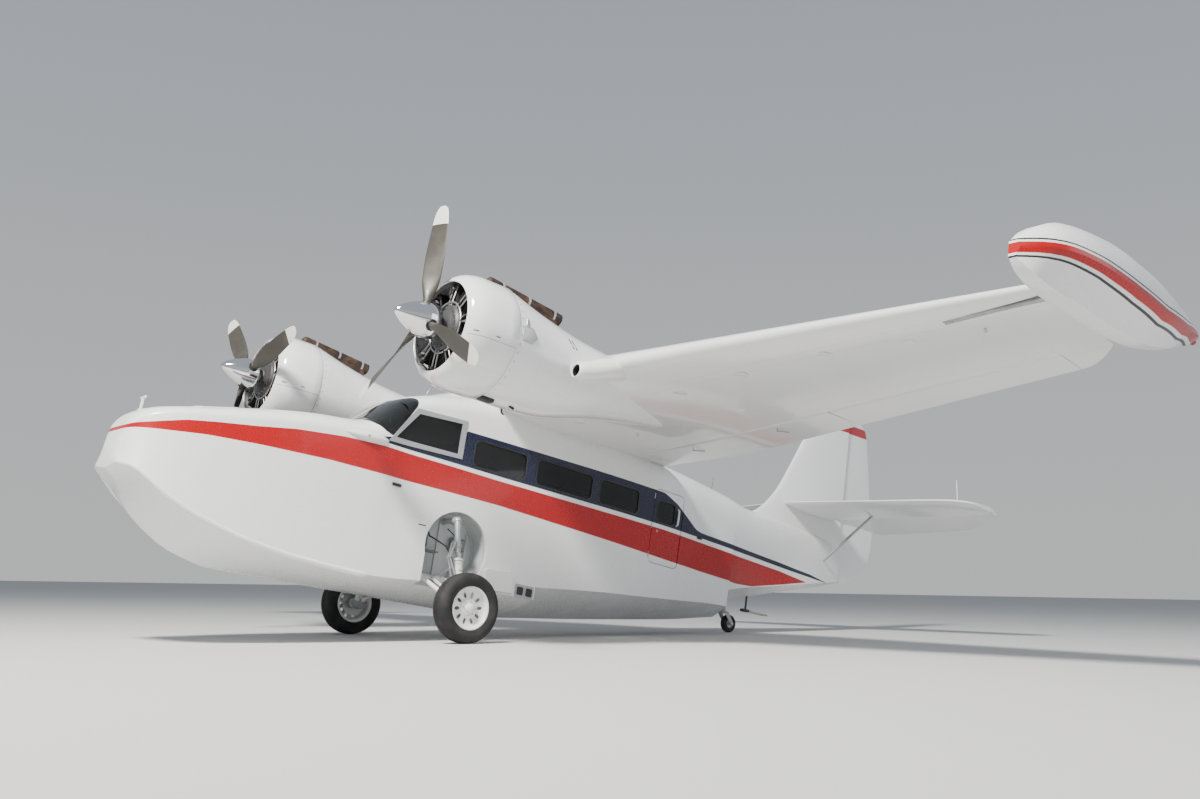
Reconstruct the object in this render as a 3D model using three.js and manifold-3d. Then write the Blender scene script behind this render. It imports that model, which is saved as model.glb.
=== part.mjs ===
// Twin-engined flying boat with wheels for dry land, standing on its gear.
// Millimetres. The airframe is drawn in its level attitude, nose at y = 0, x to port, z up,
// and the whole of it is then tipped back on its tail wheel. The ground is z = 0.

import * as THREE from 'three';
import { mergeVertices } from 'three/addons/utils/BufferGeometryUtils.js';
import Module from 'manifold-3d';

const wasm = await Module();
wasm.setup();

// Attitude and the gap that is kept between faces that touch
const PARKED_ANGLE = THREE.MathUtils.degToRad(9.5);
const SEAT_GAP = 0.5;
const MOVING_GAP = 8;

// Hull
const SKIN = 40;
const BOW_JOINT = 2300;
const TAIL_JOINT = 7200;
const MAIN_STEP = 4750;
const SECOND_STEP = 8416;
const SECOND_STEP_VEE = 286;
const FLOOR_TOP = 1540;

// Wing: leading and trailing edges fall back in plan outboard of the engines
const ENGINE_X = 2045;
const WING_TIP_X = 7130;
const LEAD_Y = 3720;
const LEAD_SWEEP = 0.125;
const TRAIL_Y = 6650;
const TRAIL_SWEEP = -0.18;
const LEAD_Z = 3390;
const TRAIL_Z = 3225;
const DIHEDRAL = 0.04;
const ROOT_THICKNESS = 0.155;
const TIP_THICKNESS = 0.12;
const FLAP_INNER_X = 850;
const FLAP_OUTER_X = 3938;
const AILERON_INNER_X = 3962;
const AILERON_OUTER_X = 6680;

// Engines and propellers
const ENGINE_Z = 3450;
const COWL_RADIUS = 590;
const COWL_OPENING = 456;
const COWL_FRONT_Y = 2165;
const COWL_REAR_Y = 2705;
const COWL_SIDES = 32;
const PROP_Y = 1985;
const PROP_RADIUS = 1220;
const SPINNER_RADIUS = 175;
const SPINNER_TIP_Y = 1644;
const EXHAUST_RADIUS = 62;

// Landing gear
const WHEEL_X = 1231;
const WHEEL_Y = 3560;
const WHEEL_Z = 910;
const TYRE_RADIUS = 368;
const TYRE_WIDTH = 236;
const RIM_RADIUS = 222;
const WELL_RADIUS = 402;
const WELL_DEPTH = 300;
const TAIL_WHEEL_Y = 8745;
const TAIL_TYRE_RADIUS = 125;
const TAIL_TYRE_WIDTH = 95;
const TAIL_TRAIL = 100;
// The lift puts the main tyres on the ground, and the tail tyre is set to reach it too
const TYRE_SIDES = 24;
const TAIL_TYRE_SIDES = 20;
const FLAT_HEIGHT = TYRE_RADIUS * Math.cos(Math.PI / TYRE_SIDES);
const TAIL_FLAT_HEIGHT = TAIL_TYRE_RADIUS * Math.cos(Math.PI / TAIL_TYRE_SIDES);
const LIFT = FLAT_HEIGHT + WHEEL_Y * Math.sin(PARKED_ANGLE) - WHEEL_Z * Math.cos(PARKED_ANGLE);
const TAIL_WHEEL_Z = (TAIL_FLAT_HEIGHT - LIFT + TAIL_WHEEL_Y * Math.sin(PARKED_ANGLE))
  / Math.cos(PARKED_ANGLE);

// Tip floats, swung up to lie beyond the wing tips
const FLOAT_NOSE_Y = 3700;
const FLOAT_TAIL_Y = 6720;
const FLOAT_Z = 3740;
const FLOAT_DECK_X = 7165;
const FLOAT_DEPTH = 475;
const FLOAT_HALF_BEAM = 335;
const FLOAT_HINGE_X = 6250;
const FLOAT_ARM_Y = 4460;
const FLOAT_AXIS_Z = 3570;

// Tail
const HINGE_Y = 10940;
const ELEVATOR_HINGE_Y = 10640;
const ELEVATOR_HINGE_Z = 3452;
const ELEVATOR_DROOP = THREE.MathUtils.degToRad(18);

function finish(color, roughness, metalness) {
  return new THREE.MeshStandardMaterial({ color, roughness, metalness });
}
const PAINT = finish(0xf2f2ee, 0.25, 0.0);
const GLASS = finish(0x2a3336, 0.08, 0.0);
const BLADE = finish(0x8f8a80, 0.4, 0.6);
const DARK_METAL = finish(0x3a3a3b, 0.5, 0.8);
const BURNT_STEEL = finish(0x4a3b33, 0.6, 0.7);
const RUBBER = finish(0x141414, 0.85, 0.0);
const TRIM = finish(0x8d9296, 0.6, 0.1);
const SEAT_CLOTH = finish(0x55504a, 0.9, 0.0);

// Solids from closed position-only geometry, and back again
function toSolid(geometry) {
  const bare = geometry.clone();
  bare.deleteAttribute('normal');
  bare.deleteAttribute('uv');
  const merged = mergeVertices(bare, 1e-3);
  const vertProperties = new Float32Array(merged.attributes.position.array);
  const triVerts = new Uint32Array(merged.index.array);
  return new wasm.Manifold(new wasm.Mesh({ numProp: 3, vertProperties, triVerts }));
}

function toGeometry(solid) {
  const mesh = solid.getMesh();
  const geometry = new THREE.BufferGeometry();
  geometry.setAttribute('position', new THREE.BufferAttribute(new Float32Array(mesh.vertProperties), 3));
  geometry.setIndex(new THREE.BufferAttribute(new Uint32Array(mesh.triVerts), 1));
  return geometry;
}

// A closed skin over rings of equally many points, with a fan at each end
function loft(rings) {
  const count = rings[0].length;
  const positions = [];
  for (const ring of rings) {
    for (const point of ring) positions.push(...point);
  }
  const middle = (ring) => [0, 1, 2].map((axis) => ring.reduce((sum, p) => sum + p[axis], 0) / count);
  const firstHub = positions.length / 3;
  positions.push(...middle(rings[0]), ...middle(rings[rings.length - 1]));
  const faces = [];
  for (let r = 0; r < rings.length - 1; r += 1) {
    for (let i = 0; i < count; i += 1) {
      const a = r * count + i;
      const b = r * count + ((i + 1) % count);
      // The two halves of a ring split their faces as mirror images
      if (i < count / 2) faces.push([a, b, b + count], [a, b + count, a + count]);
      else faces.push([a, b, a + count], [b, b + count, a + count]);
    }
  }
  const last = (rings.length - 1) * count;
  for (let i = 0; i < count; i += 1) {
    const j = (i + 1) % count;
    faces.push([firstHub, j, i], [firstHub + 1, last + i, last + j]);
  }
  const at = (i) => new THREE.Vector3(positions[3 * i], positions[3 * i + 1], positions[3 * i + 2]);
  const volume = faces.reduce((sum, [a, b, c]) => sum + at(a).dot(at(b).cross(at(c))), 0);
  const index = faces.flatMap(([a, b, c]) => (volume > 0 ? [a, b, c] : [a, c, b]));
  const geometry = new THREE.BufferGeometry();
  geometry.setAttribute('position', new THREE.Float32BufferAttribute(positions, 3));
  geometry.setIndex(index);
  return toSolid(geometry);
}

function box(x0, x1, y0, y1, z0, z1) {
  const geometry = new THREE.BoxGeometry(x1 - x0, y1 - y0, z1 - z0);
  geometry.translate((x0 + x1) / 2, (y0 + y1) / 2, (z0 + z1) / 2);
  return toSolid(geometry);
}

// A round bar between two points
function bar(from, to, radius, segments = 12, endRadius = radius) {
  const a = new THREE.Vector3(...from);
  const b = new THREE.Vector3(...to);
  const geometry = new THREE.CylinderGeometry(endRadius, radius, a.distanceTo(b), segments);
  geometry.translate(0, a.distanceTo(b) / 2, 0);
  const turn = new THREE.Quaternion().setFromUnitVectors(
    new THREE.Vector3(0, 1, 0), b.clone().sub(a).normalize());
  geometry.applyQuaternion(turn);
  geometry.translate(a.x, a.y, a.z);
  return toSolid(geometry);
}

// A (y, z) outline made into a prism across the hull from x0 to x1
function sidePrism(outline, x0, x1) {
  const shape = new THREE.Shape(outline.map(([y, z]) => new THREE.Vector2(y, z)));
  const geometry = new THREE.ExtrudeGeometry(shape, { depth: x1 - x0, bevelEnabled: false });
  geometry.applyMatrix4(new THREE.Matrix4().makeBasis(
    new THREE.Vector3(0, 1, 0), new THREE.Vector3(0, 0, 1), new THREE.Vector3(1, 0, 0)));
  geometry.translate(x0, 0, 0);
  return toSolid(geometry);
}

function roundedOutline(y0, y1, z0, z1, radius, steps = 3) {
  const outline = [];
  const corners = [[y1 - radius, z0 + radius, -90], [y1 - radius, z1 - radius, 0],
    [y0 + radius, z1 - radius, 90], [y0 + radius, z0 + radius, 180]];
  for (const [cy, cz, start] of corners) {
    for (let i = 0; i <= steps; i += 1) {
      const angle = THREE.MathUtils.degToRad(start + (90 * i) / steps);
      outline.push([cy + radius * Math.cos(angle), cz + radius * Math.sin(angle)]);
    }
  }
  return outline;
}

// A turned piece: profile of [along, radius], spun about an axis along x or y through a centre
function turned(profile, centre, axis, segments = 32) {
  const points = profile.map(([along, radius]) => new THREE.Vector2(radius, along));
  const geometry = new THREE.LatheGeometry(points, segments);
  if (axis === 'x') geometry.rotateZ(-Math.PI / 2);
  if (axis === 'z') geometry.rotateX(Math.PI / 2);
  geometry.translate(...centre);
  const solid = toSolid(geometry);
  return solid.volume() < 0 ? toSolid(geometry.scale(1, 1, -1)) : solid;
}

function mirrored(solid) {
  return solid.mirror([1, 0, 0]);
}

function moved(solid, x, y, z) {
  return solid.translate([x, y, z]);
}

// Turn a solid about an axis through a point
function swung(solid, point, axis, angle) {
  const turn = new THREE.Matrix4().makeRotationAxis(new THREE.Vector3(...axis).normalize(), angle);
  const there = new THREE.Matrix4().makeTranslation(...point);
  const back = new THREE.Matrix4().makeTranslation(...point.map((v) => -v));
  return solid.transform(there.multiply(turn).multiply(back).elements);
}

// HULL
// One row for each station, from the bow lip aft:
// y, keel z, chine x, chine z, shoulder x, shoulder z, crown z
const FOREBODY = [
  [15, 1632, 300, 1668, 190, 1840, 1900],
  [70, 1610, 425, 1664, 320, 2030, 2130],
  [160, 1530, 520, 1625, 400, 2130, 2235],
  [300, 1300, 592, 1530, 470, 2190, 2300],
  [520, 1125, 655, 1395, 545, 2235, 2362],
  [820, 980, 700, 1285, 610, 2285, 2430],
  [1300, 888, 745, 1168, 680, 2360, 2550],
  [1860, 903, 770, 1103, 722, 2435, 2655],
  [BOW_JOINT, 910, 780, 1078, 742, 2485, 2708],
];
const CABIN_FORE = [
  [BOW_JOINT, 910, 780, 1078, 742, 2485, 2708],
  [2560, 912, 780, 1080, 745, 2500, 2870],
  [2850, 915, 780, 1100, 715, 2945, 3110],
  [3450, 930, 780, 1150, 740, 3040, 3300],
  [4100, 938, 778, 1170, 748, 3090, 3420],
  [MAIN_STEP, 945, 775, 1190, 748, 3090, 3420],
];
const CABIN_AFT = [
  [MAIN_STEP, 965, 770, 1335, 748, 3090, 3420],
  [5780, 1116, 750, 1460, 735, 3050, 3420],
  [6500, 1228, 705, 1528, 700, 3000, 3330],
  [TAIL_JOINT, 1340, 640, 1600, 645, 2900, 3302],
];
const AFTERBODY = [
  [TAIL_JOINT, 1340, 640, 1600, 645, 2900, 3302],
  [7700, 1425, 570, 1655, 590, 2800, 3262],
  [SECOND_STEP, 1570, 500, 1695, 535, 2700, 3214],
];
const TAIL_CONE = [
  [8130, 1700, 480, 1900, 535, 2700, 3215],
  [8620, 1845, 400, 2020, 450, 2640, 3155],
  [9200, 2005, 325, 2140, 340, 2640, 3150],
  [9800, 2170, 240, 2270, 230, 2680, 3140],
  [10400, 2330, 150, 2400, 150, 2700, 3120],
  [HINGE_Y - 25, 2480, 70, 2510, 75, 2720, 3100],
];

function hullRing([y, keel, chineX, chineZ, shoulderX, shoulderZ, crown], inset = 0) {
  const half = [[0, keel + inset], [chineX - inset, chineZ + inset * 0.5],
    [(chineX * 0.4 + shoulderX * 0.6) - inset, (chineZ + shoulderZ) / 2]];
  const corner = 5;
  for (let i = 0; i < corner; i += 1) {
    const angle = (Math.PI / 2) * (i / corner);
    const x = (shoulderX - inset) * Math.cos(angle) ** 0.62;
    half.push([x, shoulderZ + (crown - inset - shoulderZ) * Math.sin(angle) ** 0.9]);
  }
  const port = half.map(([x, z]) => [x, y, z]);
  const starboard = half.slice(1).reverse().map(([x, z]) => [-x, y, z]);
  return [...port, [0, y, crown - inset], ...starboard];
}

// A step may point aft: `vee` is how far its ends lie ahead of its middle
function hullBody(stations, inset = 0, foreCut = 0, aftCut = 0, vee = 0) {
  const rows = stations.map((row) => row.slice());
  rows[0][0] += foreCut;
  rows[rows.length - 1][0] -= aftCut;
  const rings = rows.map((row) => hullRing(row, inset));
  for (const [i, point] of rings[rings.length - 1].entries()) {
    if (i > 0) point[1] -= vee;
  }
  return loft(rings);
}

// WING
// A thick cambered section between two chord fractions, as a closed loop of [along, up] fractions.
// A moving surface has a round nose about its hinge at fraction `from`.
function halfThickness(thickness, u) {
  return 5 * thickness * (0.2969 * Math.sqrt(u) - 0.126 * u - 0.3516 * u ** 2
    + 0.2843 * u ** 3 - 0.1015 * u ** 4) + 0.0012;
}
function foil(thickness, camber, from, to, roundNose, steps) {
  const half = (u) => halfThickness(thickness, u);
  const middle = (u) => 4 * camber * u * (1 - u);
  const upper = [];
  const lower = [];
  for (let i = 0; i <= steps; i += 1) {
    const share = from === 0 ? 1 - Math.cos((i / steps) * (Math.PI / 2)) : i / steps;
    const u = from + (to - from) * share;
    if (from === 0 && i === 0) continue;
    upper.push([u, middle(u) + half(u)]);
    lower.push([u, middle(u) - half(u)]);
  }
  const nose = [];
  if (from === 0) {
    nose.push([0, 0]);
  } else if (roundNose) {
    const radius = half(from);
    for (const degrees of [115, 145, 180, 215, 245]) {
      const angle = THREE.MathUtils.degToRad(degrees);
      nose.push([from + radius * Math.cos(angle), middle(from) + radius * Math.sin(angle)]);
    }
  }
  return [...upper.reverse(), ...nose, ...lower];
}

// Where the chord lies at a distance x from the centreline
function chordAt(x) {
  const out = Math.max(Math.abs(x) - ENGINE_X, 0);
  const lead = LEAD_Y + LEAD_SWEEP * out;
  const trail = TRAIL_Y + TRAIL_SWEEP * out;
  const share = Math.min(out / (WING_TIP_X - ENGINE_X), 1);
  return {
    lead,
    length: trail - lead,
    leadZ: LEAD_Z + DIHEDRAL * Math.abs(x),
    trailZ: TRAIL_Z + DIHEDRAL * Math.abs(x),
    thickness: THREE.MathUtils.lerp(ROOT_THICKNESS, TIP_THICKNESS, share),
  };
}

const CAMBER = 0.022;
function wingRing(x, from, to, roundNose = false, grow = 0) {
  const { lead, length, leadZ, trailZ, thickness } = chordAt(x);
  const loop = foil(thickness, CAMBER, from, to, roundNose, from === 0 ? 7 : 2);
  return loop.map(([u, v]) => [x, lead + u * length + (u < 0.5 ? -grow : grow),
    THREE.MathUtils.lerp(leadZ, trailZ, u) + v * length + Math.sign(v || 1) * grow]);
}

function wingPiece(spans, fromAt, toAt, roundNose = false, grow = 0) {
  return loft(spans.map((x) => wingRing(x, fromAt(x), toAt(x), roundNose, grow)));
}

// The hinge lines of flap and aileron: y at their inner and outer ends, and as chord fractions
const FLAP_HINGE = [6120, 5800];
const AILERON_HINGE = [5800, 5470];
function hingeY(x, line, x0, x1) {
  return line[0] + ((line[1] - line[0]) * (x - x0)) / (x1 - x0);
}
const flapFraction = (x) => {
  const { lead, length } = chordAt(x);
  return (hingeY(x, FLAP_HINGE, FLAP_INNER_X, FLAP_OUTER_X) - lead) / length;
};
const aileronFraction = (x) => {
  const { lead, length } = chordAt(x);
  return (hingeY(x, AILERON_HINGE, AILERON_INNER_X, AILERON_OUTER_X) - lead) / length;
};

// FOILS OF THE TAIL
// Rings across a span: each row is [span, lead, trail, middle], laid out by `place`
function tailFoil(rows, thickness, place, roundNose) {
  return loft(rows.map(([span, lead, trail, middle]) => {
    const chord = trail - lead;
    const half = Math.min(thickness / 2, chord * 0.3);
    const loop = roundNose
      ? [[1, 0.06], [0.5, 0.6], [0.1, 1], [0, 0.7], [-0.0, -0.7], [0.1, -1], [0.5, -0.6], [1, -0.06]]
      : [[1, 0.95], [0.6, 1], [0.25, 0.85], [0.06, 0.5], [0, 0], [0.06, -0.5], [0.25, -0.85],
        [0.6, -1], [1, -0.95]];
    return loop.map(([u, v]) => place(span, lead + u * chord, middle + v * half));
  }));
}

const group = new THREE.Group();
const airframe = new THREE.Group();
airframe.rotation.x = -PARKED_ANGLE;
group.add(airframe);

function add(name, solid, material) {
  const mesh = new THREE.Mesh(toGeometry(solid), material);
  mesh.name = name;
  airframe.add(mesh);
  return mesh;
}

function addPair(name, port, material) {
  add(`${name}_port`, port, material);
  add(`${name}_starboard`, mirrored(port), material);
}

// Bow with its mooring well and hatch
const HATCH = { y0: 640, y1: 1120, halfWidth: 235, lift: 16, rim: 35, lockerFloor: 1950 };
const bowOuter = hullBody(FOREBODY, 0, 0, SEAT_GAP);
const lockerHalf = HATCH.halfWidth - HATCH.rim;
const locker = box(-lockerHalf, lockerHalf, HATCH.y0 + HATCH.rim, HATCH.y1 - HATCH.rim,
  HATCH.lockerFloor, 2700);
const hatchPrism = box(-HATCH.halfWidth, HATCH.halfWidth, HATCH.y0, HATCH.y1, 2200, 2700);
// A mooring bitt with a flat top stands ahead of the hatch
const BITT = { y: 215, top: 2405, halfWidth: 75, half: 17, thick: 24, post: 14 };
const bitt = box(-BITT.post, BITT.post, BITT.y - BITT.post, BITT.y + BITT.post, 2150, BITT.top - 5)
  .add(box(-BITT.halfWidth, BITT.halfWidth, BITT.y - BITT.half, BITT.y + BITT.half,
    BITT.top - BITT.thick, BITT.top));
add('hull_bow', bowOuter.subtract(locker).add(bitt), PAINT);
const lid = moved(bowOuter, 0, 0, HATCH.lift).subtract(moved(bowOuter, 0, 0, SEAT_GAP))
  .intersect(hatchPrism);
add('bow_hatch', lid, PAINT);

// Cabin shell: two boats joined at the main step, hollowed, with windows and a door. It is a
// trough with a top half on each side, and a box inside it holds each wheel well
const cabinOuter = hullBody(CABIN_FORE).add(moved(hullBody(CABIN_AFT), 0, -0.2, 0));
function cabinRoom(inset, foreWall = 120, aftWall = 45) {
  return hullBody(CABIN_FORE, inset, foreWall, -10).add(hullBody(CABIN_AFT, inset, -10, aftWall));
}
const cabinWall = cabinOuter.subtract(cabinRoom(SKIN));
const hollow = cabinRoom(SKIN + SEAT_GAP);
const wingCutter = wingPiece([-1600, 0, 1600], () => 0, () => 1, false, SEAT_GAP);
const WELL_BOX = { inner: 370, y0: WHEEL_Y - 470, y1: WHEEL_Y + 560, z0: 900, top: 2010 };
const wellCentre = [WHEEL_Y + 55, 1552];
const WELL_WALL_X = 780 - WELL_DEPTH;
const WELL_OUTER = WELL_DEPTH + 400;
const wellCut = turned([[0, 0], [0, WELL_RADIUS], [WELL_OUTER, WELL_RADIUS], [WELL_OUTER, 0]],
  [WELL_WALL_X, ...wellCentre], 'x', 32);
const ARM_SLOT_X = 560;
const armSlot = box(ARM_SLOT_X, 1000, WHEEL_Y - 330, WHEEL_Y + 330, 1000, 1500);

const WINDOW_ROWS = [[3650, 4375], [4540, 5385], [5520, 6170]];
const WINDOW_Z = [2500, 2790];
const DOOR_WINDOW = [6530, 6850];
const DOOR_WINDOW_Z = [2490, 2760];
const COCKPIT_WINDOW = [[2640, 2560], [2890, 2895], [3440, 2925], [3440, 2570]];
const DOOR = { y0: 6455, y1: 7010, z0: 1960, z1: 2905, rearGap: 14 };
const DOOR_HINGE = [712, 6459];
const KNUCKLE = { radius: 9, length: 60, clear: 15 };
const KNUCKLE_Z = [2080, 2560];

const biggest = (solid) => solid.decompose().sort((a, b) => b.volume() - a.volume())[0];
addPair('wheel_box', biggest(hollow.subtract(wellCut).subtract(armSlot)
  .intersect(box(WELL_BOX.inner, 900, WELL_BOX.y0, WELL_BOX.y1, WELL_BOX.z0, WELL_BOX.top))), PAINT);

const outside = wellCut.add(armSlot);
let cabin = cabinWall.subtract(outside).subtract(mirrored(outside)).subtract(wingCutter);
for (const [y0, y1] of WINDOW_ROWS) {
  cabin = cabin.subtract(sidePrism(roundedOutline(y0, y1, ...WINDOW_Z, 60), -900, 900));
}
cabin = cabin.subtract(sidePrism(roundedOutline(...DOOR_WINDOW, ...DOOR_WINDOW_Z, 55), -900, 0));
cabin = cabin.subtract(sidePrism(COCKPIT_WINDOW, -900, 900));
// The windscreen opening leans back, with a centre post left standing
const SCREEN = { foot: [2395, 2722], head: [2905, 3128], halfWidth: 590, post: 22 };
const screenAngle = Math.atan2(SCREEN.head[1] - SCREEN.foot[1], SCREEN.head[0] - SCREEN.foot[0]);
const screenRun = Math.hypot(SCREEN.head[1] - SCREEN.foot[1], SCREEN.head[0] - SCREEN.foot[0]);
function screenSlab(halfWidth, low, high, below, above) {
  const slab = box(-halfWidth, halfWidth, low, high, below, above);
  return moved(swung(slab, [0, 0, 0], [1, 0, 0], screenAngle), 0, ...SCREEN.foot);
}
const screenCut = screenSlab(SCREEN.halfWidth, 35, screenRun - 40, -150, 120)
  .subtract(screenSlab(SCREEN.post, 0, screenRun, -200, 200));
cabin = cabin.subtract(screenCut);

const doorPrism = sidePrism(roundedOutline(DOOR.y0, DOOR.y1, DOOR.z0, DOOR.z1, 70), 300, 900);
const doorBlank = sidePrism(roundedOutline(DOOR.y0 + MOVING_GAP, DOOR.y1 - DOOR.rearGap,
  DOOR.z0 + MOVING_GAP, DOOR.z1 - MOVING_GAP, 64), 300, 900);
const doorWindow = sidePrism(roundedOutline(...DOOR_WINDOW, ...DOOR_WINDOW_Z, 55), 300, 900);
const pinUp = (z0, z1, radius) => bar([...DOOR_HINGE, z0], [...DOOR_HINGE, z1], radius, 12);
let door = cabinWall.intersect(doorBlank).subtract(doorWindow);
cabin = cabin.subtract(doorPrism);
for (const z of KNUCKLE_Z) {
  const split = z + KNUCKLE.length;
  const top = split + KNUCKLE.length;
  door = door.subtract(pinUp(z - 6, split, KNUCKLE.clear))
    .add(pinUp(split + SEAT_GAP, top, KNUCKLE.radius));
  cabin = cabin.subtract(pinUp(split, top + 6, KNUCKLE.clear)).add(pinUp(z, split, KNUCKLE.radius));
}
add('cabin_door', biggest(door), PAINT);
const TOP_JOINT = 2440;
const topHalf = box(SEAT_GAP / 2, 900, BOW_JOINT - 100, TAIL_JOINT + 100, TOP_JOINT + SEAT_GAP, 3600);
const trough = box(-900, 900, BOW_JOINT - 100, TAIL_JOINT + 100, 800, TOP_JOINT);
add('hull_cabin', biggest(cabin.intersect(trough)), PAINT);
add('cabin_top_port', biggest(cabin.intersect(topHalf)), PAINT);
add('cabin_top_starboard', biggest(cabin.intersect(mirrored(topHalf))), PAINT);

// Glass lies against the inside of the wall
const GLASS_THICKNESS = 8;
const GLASS_LAP = 20;
const glassSheet = hollow.subtract(cabinRoom(SKIN + SEAT_GAP + GLASS_THICKNESS, 100, 20));
addPair('cabin_glass', biggest(glassSheet.intersect(
  sidePrism(roundedOutline(3620, 6200, WINDOW_Z[0] - 25, WINDOW_Z[1] + 25, 60), 300, 900))), GLASS);
addPair('cockpit_glass', biggest(glassSheet.intersect(
  sidePrism([[2610, 2540], [2875, 2920], [3465, 2950], [3465, 2548]], 300, 900))), GLASS);
const rearPane = biggest(glassSheet.intersect(sidePrism(roundedOutline(DOOR_WINDOW[0] - GLASS_LAP,
  DOOR_WINDOW[1] + GLASS_LAP, DOOR_WINDOW_Z[0] - GLASS_LAP, DOOR_WINDOW_Z[1] + GLASS_LAP, 55), 300, 900)));
add('door_glass', rearPane, GLASS);
add('rear_glass_starboard', mirrored(rearPane), GLASS);
add('windscreen', biggest(glassSheet.intersect(
  screenSlab(SCREEN.halfWidth + GLASS_LAP, 15, screenRun - 10, -250, 120))), GLASS);

// Inside the cabin
const wellClear = box(WELL_BOX.inner - SEAT_GAP, 900, WELL_BOX.y0 - SEAT_GAP, WELL_BOX.y1 + SEAT_GAP,
  1000, WELL_BOX.top + 10);
add('cabin_floor', hollow.intersect(box(-900, 900, 2440, 7130, FLOOR_TOP - 30, FLOOR_TOP))
  .subtract(wellClear).subtract(mirrored(wellClear)), TRIM);
const panelOutline = [[2600, 2330], [2600, 2700], [2640, 2700], [2680, 2330]];
add('instrument_panel', sidePrism(panelOutline, -640, 640)
  .add(box(-60, 60, 2602, 2640, FLOOR_TOP + SEAT_GAP, 2400)), DARK_METAL);
function seat(x, y, z, width) {
  const base = box(x - width / 2 + 60, x + width / 2 - 60, y + 40, y + 360, FLOOR_TOP + SEAT_GAP, z);
  const cushion = box(x - width / 2, x + width / 2, y, y + 430, z - 5, z + 90);
  const back = sidePrism([[y + 380, z + 60], [y + 470, z + 60], [y + 560, z + 640], [y + 490, z + 640]],
    x - width / 2 + 15, x + width / 2 - 15);
  return base.add(cushion).add(back);
}
addPair('crew_seat', biggest(seat(330, 2930, 2030, 430).subtract(wellClear)), SEAT_CLOTH);
addPair('cabin_seats', seat(335, 4200, 1850, 520).add(seat(335, 5050, 1850, 520))
  .add(box(180, 500, 4240, 5400, FLOOR_TOP + SEAT_GAP, FLOOR_TOP + 40)), SEAT_CLOTH);
// One column carries a wheel for each of the crew
const YOKE_Z = 2270;
let yoke = bar([0, 2800, FLOOR_TOP + SEAT_GAP], [0, 2800, YOKE_Z + 30], 26, 8)
  .add(bar([-330, 2800, YOKE_Z], [330, 2800, YOKE_Z], 20, 8));
for (const x of [-330, 330]) {
  const grip = [[-14, 125], [-14, 160], [14, 160], [14, 125], [-14, 125]];
  yoke = yoke.add(turned(grip, [x, 2832, YOKE_Z], 'y', 12))
    .add(box(x - 130, x + 130, 2818, 2846, YOKE_Z - 15, YOKE_Z + 15))
    .add(box(x - 20, x + 20, 2795, 2840, YOKE_Z - 20, YOKE_Z + 20));
}
add('control_yokes', yoke, DARK_METAL);

// TAIL
// Afterbody, tail cone, fin and the fixed tail planes
const stern = hullBody(AFTERBODY, 0, SEAT_GAP, 0, SECOND_STEP_VEE).add(hullBody(TAIL_CONE));
const sternGrown = hullBody(TAIL_CONE, -SEAT_GAP);
add('hull_tail', stern, PAINT);

// Fins and tail planes end in a flat face ahead of the round nose of the moving leaf
const LEAF_NOSE = 42;
const LEAF_GAP = 8;
const LEAF_LUG = { radius: LEAF_NOSE + 2, halfLength: 30 };
const FIN_END = HINGE_Y - LEAF_NOSE - LEAF_GAP;
const FIN_ROWS = [
  // z, leading edge, trailing edge, middle
  [2900, 10300, FIN_END, 0],
  [3180, 8980, FIN_END, 0],
  [3300, 9130, FIN_END, 0],
  [3610, 9435, FIN_END, 0],
  [4500, 9914, FIN_END, 0],
  [4860, 10120, FIN_END, 0],
  [5040, 10300, FIN_END, 0],
  [5105, 10520, FIN_END, 0],
];
const upright = (z, y, x) => [x, y, z];
const finBody = tailFoil(FIN_ROWS, 150, upright, false);
const finGrown = tailFoil(FIN_ROWS, 151, upright, false);

// A lug on the fixed plane ends just short of the knuckle that turns on the hinge line
function hingedLeaf(leaf, fixed, places, pointAt, along) {
  let moving = leaf;
  let still = fixed;
  for (const place of places) {
    const from = pointAt(place - LEAF_LUG.halfLength);
    const to = pointAt(place + LEAF_LUG.halfLength);
    moving = moving.add(bar(from, to, LEAF_LUG.radius, 24));
    const reach = LEAF_LUG.radius + SEAT_GAP;
    const low = from.map((v, i) => (i === 1 ? v - reach - 60 : v - (i === along ? 0 : 12)));
    const high = to.map((v, i) => (i === 1 ? v - reach : v + (i === along ? 0 : 12)));
    still = still.add(box(low[0], high[0], low[1], high[1], low[2], high[2]));
  }
  return [moving, still];
}

const RUDDER_ROWS = [
  [2520, HINGE_Y, 11160, 0],
  [2560, HINGE_Y, 11240, 0],
  [2880, HINGE_Y, 11640, 0],
  [3130, HINGE_Y, 11745, 0],
  [3430, HINGE_Y, 11768, 0],
  [4070, HINGE_Y, 11597, 0],
  [4700, HINGE_Y, 11470, 0],
  [4990, HINGE_Y, 11385, 0],
  [5085, HINGE_Y, 11270, 0],
  [5118, HINGE_Y, 11120, 0],
];
const [rudder, finWithLugs] = hingedLeaf(tailFoil(RUDDER_ROWS, 2 * LEAF_NOSE, upright, true), finBody,
  [3250, 4000, 4800], (z) => [0, HINGE_Y, z], 2);
add('rudder', rudder, PAINT);
add('fin', biggest(finWithLugs.subtract(sternGrown)), PAINT);

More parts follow.
